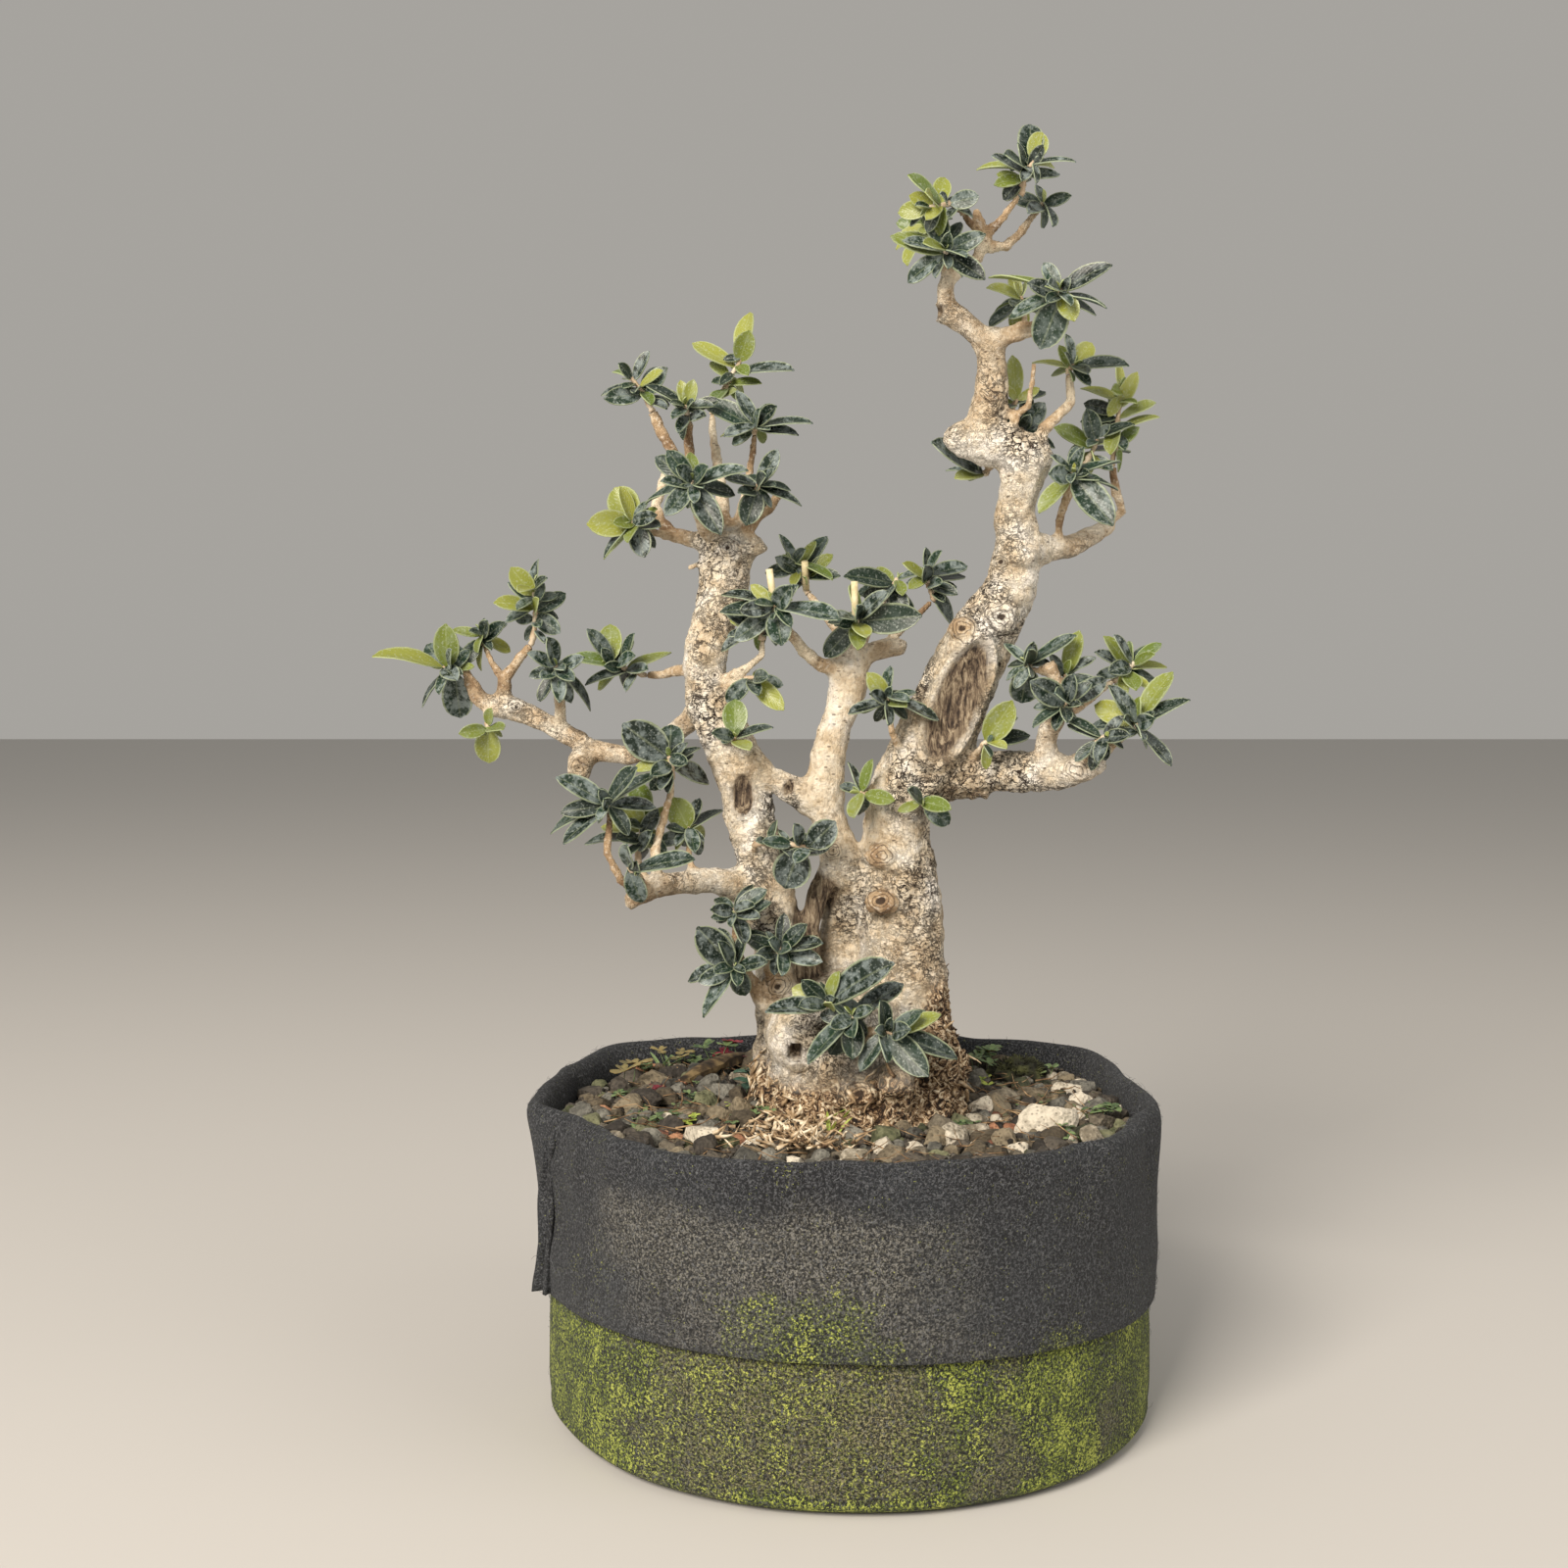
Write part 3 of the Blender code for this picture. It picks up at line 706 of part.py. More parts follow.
def blade(name, frame, length, width, thickness, start=0.0):
    """Leaf folded along its midrib, a closed plate with its root at the frame's origin

    The frame's X runs along the leaf and its Z out of the upper side. A small leaf has four
    corners, the others have six. The root can be left off up to a share of the length.
    """
    sheet = bmesh.new()
    corners = 4 if length < SMALL_LEAF else 6
    bmesh.ops.create_circle(sheet, cap_ends=True, radius=1, segments=corners)
    tip = max(sheet.verts, key=lambda corner: corner.co.y)
    root = min(sheet.verts, key=lambda corner: corner.co.y)
    if width >= SLIM_LEAF:
        bmesh.ops.connect_verts(sheet, verts=[root, tip])
    for corner in sheet.verts:
        across = 0.0 if corner in (root, tip) else math.copysign(0.48 * width, -corner.co.x)
        along = max(start, 0.5 + 0.5 * corner.co.y)
        if across and along < 0.7:
            along += 0.09
        fold = 0 if width < SLIM_LEAF else LEAF_FOLD * abs(across)
        corner.co = Vector((along * length, across, fold))
    bmesh.ops.solidify(sheet, geom=sheet.faces[:], thickness=thickness)
    bmesh.ops.recalc_face_normals(sheet, faces=sheet.faces[:])
    middle = Matrix.Translation((0, 0, thickness / 2))
    bmesh.ops.transform(sheet, matrix=frame @ middle, verts=sheet.verts[:])
    mesh = bpy.data.meshes.new(name)
    sheet.to_mesh(mesh)
    sheet.free()
    return new_object(name, mesh)


def leaf_frame(root, clock, lean, share):
    """Frame of a leaf from its direction on the clock, its lean into the depth and the share of
    its width that shows from the front"""
    along = Vector((math.cos(clock) * math.cos(lean), math.sin(lean), math.sin(clock) * math.cos(lean)))
    to_front = Vector((0, -1, 0))
    facing = (to_front - along * along.dot(to_front)).normalized()
    edge_on = along.cross(facing)
    if edge_on.z < 0:
        edge_on.negate()
    turn = math.asin(min(1.0, share))
    up = (facing * math.sin(turn) + edge_on * math.cos(turn)).normalized()
    side = up.cross(along)
    return Matrix.Translation(root) @ Matrix((along, side, up)).transposed().to_4x4()


# How a leaf is bent where it would touch a neighbour: turned on the clock and leant, in degrees
BENDS = [(turn, lean) for lean in (0, 14, -14, 28, -28, 42, -42, 56, -56) for turn in (0, 9, -9, 18, -18)]


def shoot_of(name, twig, points):
    """The shoot's centres, the first a gap beyond the twig's end and in line with it, and its tube"""
    end = {**STEMS, **TWIGS}[twig]
    before, last = (seen(twig, *point[:3]) for point in end[-2:])
    outward = (last - before).normalized()
    centres = [last + outward * GAP, last + outward * 1.6 * MM]
    centres += [seen(twig, *point) for point in points]
    start = min(end[-1][3], 1.5) * MM
    radii = [start] * 2 + [start - (start - 1.2 * MM) * (i + 1) / len(points) for i in range(len(points))]
    return centres, tube(name + "_shoot", centres, radii, 4)


def along_shoot(centres, share):
    """Place at a share of the shoot's length, and the shoot's direction there"""
    lengths = [(b - a).length for a, b in zip(centres, centres[1:])]
    left = share * sum(lengths)
    for start, end, length in zip(centres, centres[1:], lengths):
        if left <= length:
            break
        left -= length
    return start.lerp(end, left / length), (end - start).normalized()


def leaf_root(place, axis, clock, lean):
    """The leaf's root, sunk into the shoot's side that it grows from"""
    along = Vector((math.cos(clock) * math.cos(lean), math.sin(lean), math.sin(clock) * math.cos(lean)))
    return place + (along - axis * along.dot(axis)) * 0.35 * MM


def faces_of_guard(frame, length, width, start):
    """Faces of a leaf with its clearance round it"""
    guard = blade("guard", frame, length, width, LEAF_THICKNESS + 2 * GAP, start)
    faces = as_tree_of_faces(guard)
    bpy.data.objects.remove(guard)
    return faces


def make_sprays(wood):
    """All shoots first, then their leaves one by one, each bent clear of the wood and of other leaves"""
    shoots = {name: shoot_of(name, twig, points) for name, (twig, points, _) in SPRAYS.items()}
    bodies = {name: [as_tree_of_faces(shoot)] for name, (_, shoot) in shoots.items()}
    sprays = []
    for number, (name, (_, _, leaves)) in enumerate(SPRAYS.items()):
        chance = random.Random(SEED + number)
        centres, shoot = shoots[name]
        pieces = [shoot]
        spread = []
        others = [body for other, group in bodies.items() if other != name for body in group]
        for count, (clock, seen_length, seen_width, *_) in enumerate(leaves):
            place, axis = along_shoot(centres, 0.96 - 0.56 * (len(leaves) - 1 - count) / len(leaves))
            side = 1 if (count + number) % 2 else -1
            lean = side * chance.uniform(8, 34 if seen_length > 11 else 48)
            length = seen_length / math.cos(math.radians(lean)) * MM
            width = max(seen_width * MM, LEAF_SHAPE * length)
            if seen_width < (CROWDED_NARROWEST if len(leaves) > 5 else NARROWEST):
                continue
            choices = []
            for turn, more in BENDS:
                slope = max(-72, min(72, lean + more))
                angles = math.radians(clock + turn), math.radians(slope)
                frame = leaf_frame(leaf_root(place, axis, *angles), *angles, seen_width * MM / width)
                faces = faces_of_guard(frame, length, width, 0)
                if faces.overlap(wood) or any(faces.overlap(body) for body in others):
                    continue
                outer = faces_of_guard(frame, length, width, 0.08)
                crossed = sum(bool(outer.overlap(leaf)) for leaf in spread)
                choices.append((crossed, frame, faces, outer))
                if not crossed:
                    break
            if not choices:
                continue
            _, frame, faces, outer = min(choices, key=lambda choice: choice[0])
            bodies[name].append(faces)
            spread.append(outer)
            pieces.append(blade(f"{name}_leaf_{count}", frame, length, width, LEAF_THICKNESS))
        lime = sum(len(leaf) > 3 for leaf in leaves) * 2 > len(leaves)
        sprays.append(fused(name, pieces, LIME_LEAF if lime else DARK_LEAF, "EXACT"))
    return sprays


def main():
    clear_scene()
    scene = bpy.context.scene.collection
    cutters = bpy.data.collections.new("cutters")
    scene.children.link(cutters)
    parts = bpy.data.collections.new("olive_bonsai")
    scene.children.link(parts)
    bag = make_bag()
    soil = make_soil(cutters)
    tree = make_tree(make_wood_pieces(), cutters)
    for piece in [bag, soil, tree] + make_sprays(as_tree_of_faces(tree)):
        move_to(parts, piece)
        piece.data.shade_smooth()
        piece.data.set_sharp_from_angle(angle=math.radians(40))


main()
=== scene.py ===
# %% [markdown]
# # An olive bonsai in a felt grow bag
#
# The solids of the tree, its leafy sprays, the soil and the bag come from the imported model. They have
# the right form and size but no bark, no veins and no felt. This lesson keeps their places and builds
# each one again with the detail of the real thing: bark that cracks and heals in rings, leaves with a
# waxy bloom, pumice, moss, and a felt wall that is furry and green with algae.
#
# The frame comes first, since every later place is measured from it.

# %% Load the frame
import math
import random

import bpy
import numpy as np
from mathutils import Matrix, Vector, noise
from mathutils.bvhtree import BVHTree
from mathutils.kdtree import KDTree


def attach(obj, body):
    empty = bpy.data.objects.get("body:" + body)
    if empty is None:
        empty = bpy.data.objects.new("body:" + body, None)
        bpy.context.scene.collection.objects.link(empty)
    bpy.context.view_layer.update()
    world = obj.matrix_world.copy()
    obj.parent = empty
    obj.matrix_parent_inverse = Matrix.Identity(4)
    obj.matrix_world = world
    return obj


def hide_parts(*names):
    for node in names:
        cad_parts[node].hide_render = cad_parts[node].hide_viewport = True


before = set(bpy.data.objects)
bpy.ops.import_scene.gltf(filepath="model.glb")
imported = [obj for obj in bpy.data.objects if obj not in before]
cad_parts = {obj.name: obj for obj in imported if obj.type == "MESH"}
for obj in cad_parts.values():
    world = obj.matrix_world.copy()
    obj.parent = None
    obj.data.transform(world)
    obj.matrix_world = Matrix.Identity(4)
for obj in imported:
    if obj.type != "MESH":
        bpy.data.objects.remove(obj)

MM = 0.001
SEED = 11
# The noise that bends the cracks would start from the clock, so it is given a seed
noise.seed_set(SEED)
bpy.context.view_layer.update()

# %% [markdown]
# ## The camera
#
# The photograph was taken from a little above the rim, level with the middle of the crown. The tree's
# places are also read from this point: a spot on a bough is given as it is seen against the upright
# plane through the bag's middle, and then moved along the line of sight to its real depth. Boughs
# swing out of that plane, so that the tree is round and not a fan. The eye and the swings are the ones
# that shaped the solids.

# %% Camera and places
EYE = Vector((-27, -771, 304))
PITCH_DOWN = math.radians(3.6)
PIXELS = 1600
FOCAL_PIXELS = 1927
SWINGS = [
    ("left", "height", 215, 0.12), ("far", "height", 215, 0.12), ("far", "side", -64, 0.36),
    ("low", "side", -46, -0.42), ("middle", "height", 240, 0.10), ("right", "height", 240, -0.10),
    ("crown", "height", 240, -0.10), ("crown", "height", 410, -0.16), ("side", "height", 240, -0.10),
    ("side", "side", 62, -0.30), ("upper", "height", 240, -0.10), ("upper", "side", 76, 0.50),
]

bpy.ops.object.camera_add(location=EYE * MM, rotation=(math.pi / 2 - PITCH_DOWN, 0, 0))
camera = bpy.context.object
camera.name = "camera"
camera.data.sensor_width = 36
camera.data.lens = 36 * FOCAL_PIXELS / PIXELS
bpy.context.scene.camera = camera


def seen(bough, x, height, depth):
    """Place in metres of what is seen at x and height in mm, that many mm behind the middle plane
    before its bough swings"""
    for swung, way, hinge, gain in SWINGS:
        if swung == bough:
            beyond = height - hinge if way == "height" else abs(x) - abs(hinge)
            depth += gain * max(0, beyond)
    return (EYE + (Vector((x, 0, height)) - EYE) * (1 - depth / EYE.y)) * MM


def at_pixel(across, down, height):
    """Place in metres on the level plane at a height in mm that shows at that pixel of the photograph"""
    right = (across - PIXELS / 2) / FOCAL_PIXELS
    up = (PIXELS / 2 - down) / FOCAL_PIXELS
    ray = Vector((right, math.cos(PITCH_DOWN) + up * math.sin(PITCH_DOWN),
                  up * math.cos(PITCH_DOWN) - math.sin(PITCH_DOWN)))
    return (EYE + ray * ((height - EYE.z) / ray.z)) * MM


print("camera lens", round(camera.data.lens, 2), "mm; a spot on the soil", at_pixel(1065, 1145, 122))

# %% [markdown]
# ## Floor and light
#
# The object stands on a plain pale floor under soft light: one wide lamp from the upper left, in front,
# a weaker one from the right, and an even pale sky. Soft light suits leaves, since a small lamp would
# put a hard white spot on each waxy blade.

# %% Floor and light
bpy.context.scene.view_settings.view_transform = "Standard"


def linear(colour):
    """Linear RGBA of an sRGB hex colour"""
    parts = [int(colour[i:i + 2], 16) / 255 for i in (1, 3, 5)]
    return [c / 12.92 if c <= 0.04045 else ((c + 0.055) / 1.055) ** 2.4 for c in parts] + [1.0]


def set_inputs(material, node, values):
    """Sets inputs by name or number: another node's output is linked, a hex colour is made linear"""
    for name, value in values.items():
        if isinstance(value, bpy.types.NodeSocket):
            material.node_tree.links.new(value, node.inputs[name])
        else:
            node.inputs[name].default_value = linear(value) if isinstance(value, str) else value


def add(material, kind, inputs=None, give=None, **settings):
    """Adds a node with its inputs and settings, and gives its first output that is in use, or a named one"""
    node = material.node_tree.nodes.new("ShaderNode" + kind)
    for name, value in settings.items():
        if name == "stops":
            while len(node.color_ramp.elements) < len(value):
                node.color_ramp.elements.new(0.5)
            for stop, (position, colour) in zip(node.color_ramp.elements, value):
                stop.position = position
                stop.color = linear(colour)
        else:
            setattr(node, name, value)
    set_inputs(material, node, inputs or {})
    return node.outputs[give] if give else next(output for output in node.outputs if output.enabled)


def new_material(name, **values):
    """Material with a Principled shader, which is returned beside it, and values for its sockets"""
    material = bpy.data.materials.new(name)
    material.use_nodes = True
    shader = material.node_tree.nodes["Principled BSDF"]
    set_inputs(material, shader, {socket.replace("_", " "): value for socket, value in values.items()})
    return material, shader


def lamp(name, place, aim, size, power, colour):
    """Square soft lamp at a place in metres that faces another"""
    bpy.ops.object.light_add(type="AREA", location=place)
    light = bpy.context.object
    light.name = name
    light.data.size = size
    light.data.energy = power
    light.data.color = linear(colour)[:3]
    light.rotation_euler = (Vector(aim) - Vector(place)).to_track_quat("-Z", "Y").to_euler()
    return light


lamp("key_lamp", (-1.2, -2.1, 1.7), (0, 0, 0.22), 1.25, 121, "#fff4e6")
lamp("fill_lamp", (1.2, -0.7, 0.9), (0, 0, 0.22), 1.2, 8, "#fff6ea")
world = bpy.data.worlds.new("sky")
world.use_nodes = True
set_inputs(world, world.node_tree.nodes["Background"], {"Color": "#e9e5de", "Strength": 0.47})
bpy.context.scene.world = world

bpy.ops.mesh.primitive_plane_add(size=14)
floor = bpy.context.object
floor.name = "floor"
paper, _ = new_material("pale_floor", Base_Color="#c6c4c1", Roughness=1.0, Specular_IOR_Level=0.1)
floor.data.materials.append(paper)

# %% [markdown]
# ## Small helpers
#
# An operator works on all that is selected, and the frame comes in selected, so each step first selects
# only what it means. A finished piece keeps its place in its mesh, rides the one body of this object
# and hides the solids that it stands for.

# %% Helpers for every piece


def select_only(*pieces):
    """Only these are selected, and the first is the active one"""
    bpy.ops.object.select_all(action="DESELECT")
    for piece in pieces:
        piece.select_set(True)
    bpy.context.view_layer.objects.active = pieces[0]


def copy_of(model):
    """A copy with its own mesh, so that it can be shaped and joined by itself"""
    copy = model.copy()
    copy.data = model.data.copy()
    bpy.context.collection.objects.link(copy)
    return copy


def coat(piece, *materials):
    """These materials and no others on a piece"""
    piece.data.materials.clear()
    for material in materials:
        piece.data.materials.append(material)


def modify(piece, kind, **settings):
    """Adds a modifier with its settings and applies it"""
    select_only(piece)
    modifier = piece.modifiers.new(kind.lower(), kind)
    for name, value in settings.items():
        setattr(modifier, name, value)
    bpy.ops.object.modifier_apply(modifier=modifier.name)


def join(name, pieces):
    """The pieces as one object, the first one's mesh holding the rest"""
    select_only(*pieces)
    if len(pieces) > 1:
        bpy.ops.object.join()
    pieces[0].name = name
    pieces[0].data.name = name
    return pieces[0]


def finish_piece(piece, replaced=()):
    """Rides the body and hides the solids that it stands for"""
    select_only(piece)
    bpy.ops.object.transform_apply(location=True, rotation=True, scale=True)
    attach(piece, "root")
    if replaced:
        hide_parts(*replaced)
    triangles = sum(len(face.vertices) - 2 for face in piece.data.polygons)
    print(f"{piece.name}: {triangles} triangles")


def places_of(piece):
    """The mesh's corners as rows of x, y and z"""
    places = np.empty(len(piece.data.vertices) * 3)
    piece.data.vertices.foreach_get("co", places)
    return places.reshape(-1, 3)


def set_places(piece, places):
    piece.data.vertices.foreach_set("co", np.asarray(places).ravel())
    piece.data.update()


def normals_of(piece):
    normals = np.empty(len(piece.data.vertices) * 3)
    piece.data.vertex_normals.foreach_get("vector", normals)
    return normals.reshape(-1, 3)


def store(piece, name, values):
    """Keeps a number for each corner, or one for all, as an attribute that a material can read"""
    kept = piece.data.attributes.get(name) or piece.data.attributes.new(name, "FLOAT", "POINT")
    values = np.broadcast_to(np.asarray(values, dtype=np.float32), len(piece.data.vertices))
    kept.data.foreach_set("value", np.ascontiguousarray(values))


def cloud(places, size, shift=0.0, stretch=(1, 1, 1)):
    """Smooth noise from about -1 to 1 at each place, its lumps about that size in metres"""
    scaled = np.asarray(places) / (size * np.array(stretch)) + shift
    return np.array([noise.noise(Vector(place)) for place in scaled])


def step(low, high, values):
    """0 below low, 1 above high and a soft step between"""
    share = np.clip((np.asarray(values) - low) / (high - low), 0, 1)
    return share * share * (3 - 2 * share)


def crosswise(axis, turn):
    """A direction across an axis, turned about it by an angle in radians"""
    side = axis.orthogonal().normalized()
    side.rotate(Matrix.Rotation(turn, 3, axis))
    return side


def faces_of(pieces):
    """The faces of meshes, ready to be tested for touching"""
    corners = []
    faces = []
    for piece in pieces:
        first = len(corners)
        corners += [corner.co.copy() for corner in piece.data.vertices]
        faces += [[first + corner for corner in face.vertices] for face in piece.data.polygons]
    return BVHTree.FromPolygons(corners, faces)


def curves_as_mesh(name, lines, corners, material):
    """One mesh of tapering tubes; each line is a list of places in metres with their radii"""
    path = bpy.data.curves.new(name, "CURVE")
    path.dimensions = "3D"
    path.bevel_depth = MM
    path.bevel_resolution = (corners - 4) // 2
    path.use_fill_caps = True
    for line in lines:
        spline = path.splines.new("POLY")
        spline.points.add(len(line) - 1)
        for point, (place, radius) in zip(spline.points, line):
            point.co = (*place, 1)
            point.radius = radius / MM
    piece = bpy.data.objects.new(name, path)
    bpy.context.collection.objects.link(piece)
    path.materials.append(material)
    select_only(piece)
    bpy.ops.object.convert(target="MESH")
    bpy.ops.object.mode_set(mode="EDIT")
    bpy.ops.mesh.select_all(action="SELECT")
    bpy.ops.mesh.remove_doubles(threshold=0.002 * MM)
    bpy.ops.object.mode_set(mode="OBJECT")
    bpy.ops.object.shade_smooth()
    return piece


print("helpers are ready")
# %% [markdown]
# ## Bark of young shoots, and leaves
#
# An olive's leaf is thick and leathery: dark green above with a blue-grey bloom of wax and tiny scales,
# paler below, with a pale rim and one clear midrib. This tree's leaves are short and broad. Leaves of
# the last growth are lime green. They are opposite, in pairs along the shoot.
#
# One leaf surface would not do for all, so each leaf carries its own numbers: how young it is, a tint
# and how much bloom it has. The two leaf materials read them. Veins and rims follow the leaf's own map,
# which runs from root to tip and from side to side.

# %% Leaf and shoot materials


def leaf_material(name, old, old_light, young, young_light, roughness):
    """Waxy leaf skin that reads each leaf's age, tint and bloom"""
    leaf, shader = new_material(name, Roughness=roughness, Specular_IOR_Level=0.35, Coat_Weight=0.03)
    age, tint, bloom = (add(leaf, "Attribute", attribute_name=kept, give="Fac")
                        for kept in ("young", "tint", "bloom"))
    spot = add(leaf, "TexCoord", give="Object")
    dark = add(leaf, "Mix", {0: tint, 6: old, 7: old_light}, data_type="RGBA")
    lime = add(leaf, "Mix", {0: tint, 6: young, 7: young_light}, data_type="RGBA")
    colour = add(leaf, "Mix", {0: age, 6: dark, 7: lime}, data_type="RGBA")

    # Bloom lies in patches 3 to 5 mm wide, and drops of rain leave finer pale marks
    patches = add(leaf, "TexNoise", {"Vector": spot, "Scale": 260.0, "Detail": 5.0, "Roughness": 0.65})
    patchy = add(leaf, "ValToRGB", {"Fac": patches}, stops=[(0.45, "#181818"), (0.6, "#ffffff")])
    bloomed = add(leaf, "Math", {0: patchy, 1: bloom}, operation="MULTIPLY", use_clamp=True)
    wax = add(leaf, "Math", {0: bloomed, 1: 0.56}, operation="MULTIPLY")
    marks = add(leaf, "TexNoise", {"Vector": spot, "Scale": 1100.0, "Detail": 2.0})
    chalk = add(leaf, "ValToRGB", {"Fac": marks}, stops=[(0.58, "#000000"), (0.66, "#8c8c8c")])

    # The map's second number crosses the blade: the midrib is at its middle, the rim at its ends
    leaf_map = add(leaf, "TexCoord", give="UV")
    across = add(leaf, "SeparateXYZ", {0: leaf_map}, give="Y")
    off_rib = add(leaf, "Math", {0: across, 1: 0.5}, operation="SUBTRACT")
    distance = add(leaf, "Math", {0: off_rib}, operation="ABSOLUTE")
    rib = add(leaf, "ValToRGB", {"Fac": distance},
              stops=[(0.012, "#707070"), (0.05, "#000000"), (0.42, "#000000"), (0.47, "#b4b4b4")])
    for share, above in ((wax, "#98a5a6"), (chalk, "#c3ccc6"), (rib, "#b4bf9c")):
        colour = add(leaf, "Mix", {0: share, 6: colour, 7: above}, data_type="RGBA")

    # Side veins leave the midrib at a slant, about one each 2 mm, and show as faint ridges
    slant = add(leaf, "Math", {0: distance, 1: 0.8}, operation="MULTIPLY")
    lengthwise = add(leaf, "SeparateXYZ", {0: leaf_map}, give="X")
    along = add(leaf, "Math", {0: lengthwise, 1: slant}, operation="SUBTRACT")
    waves = add(leaf, "Math", {0: along, 1: 50.0}, operation="MULTIPLY")
    ridges = add(leaf, "Math", {0: waves}, operation="SINE")
    uneven = add(leaf, "Math", {0: patches, 1: 6.0, 2: ridges}, operation="MULTIPLY_ADD")
    bump = add(leaf, "Bump", {"Height": uneven, "Strength": 0.35, "Distance": 0.05 * MM})
    set_inputs(leaf, shader, {"Base Color": colour, "Normal": bump})
    return leaf


upper_skin = leaf_material("waxy_leaf_upper", "#08160f", "#1f3526", "#566a25", "#949845", 0.4)
under_skin = leaf_material("scaly_leaf_underside", "#2c4237", "#4e6458", "#788a42", "#a2ac62", 0.62)


def shoot_material(name, dark, middle, light):
    """Young olive bark: smooth, with small pale pores"""
    shoot, shader = new_material(name, Roughness=0.6)
    spot = add(shoot, "TexCoord", give="Object")
    broad = add(shoot, "TexNoise", {"Vector": spot, "Scale": 170.0, "Detail": 4.0})
    colour = add(shoot, "ValToRGB", {"Fac": broad}, stops=[(0.3, dark), (0.48, middle), (0.7, light)])
    pores = add(shoot, "TexVoronoi", {"Vector": spot, "Scale": 520.0})
    pale = add(shoot, "ValToRGB", {"Fac": pores}, stops=[(0.12, "#b0b0b0"), (0.28, "#000000")])
    colour = add(shoot, "Mix", {0: pale, 6: colour, 7: "#ead9b8"}, data_type="RGBA")
    bump = add(shoot, "Bump", {"Height": broad, "Strength": 0.5, "Distance": 0.2 * MM})
    set_inputs(shoot, shader, {"Base Color": colour, "Normal": bump})
    return shoot


shoot_bark = shoot_material("young_shoot_bark", "#857159", "#b8a388", "#e4d8c3")
cut_bark = shoot_material("cut_stub_bark", "#a89a72", "#d0c49c", "#e6ddc0")
print("leaf materials:", upper_skin.name, under_skin.name, shoot_bark.name)

# %% [markdown]
# ## Where each leaf stands
#
# The sprays' solids were grown by a rule, and the same rule with the same draws finds every leaf again.
# Each spray is listed with its bough, the last two places of the twig that carries it, its own shoot
# and its leaves from foot to tip: direction with up at 90 degrees, seen length, seen width, and whether
# the leaf is young.
#
# A leaf of the solids is known by its tip. The narrow ones, which are seen almost edge-on, have no
# solid, so they try one pose after another until they touch neither wood nor leaf.

# %% The sprays
YOUNG = True
LEAF_SHAPE = 0.40
LEAF_FOLD = 0.32
LEAF_PLATE = 0.7 * MM
GAP = 0.3 * MM
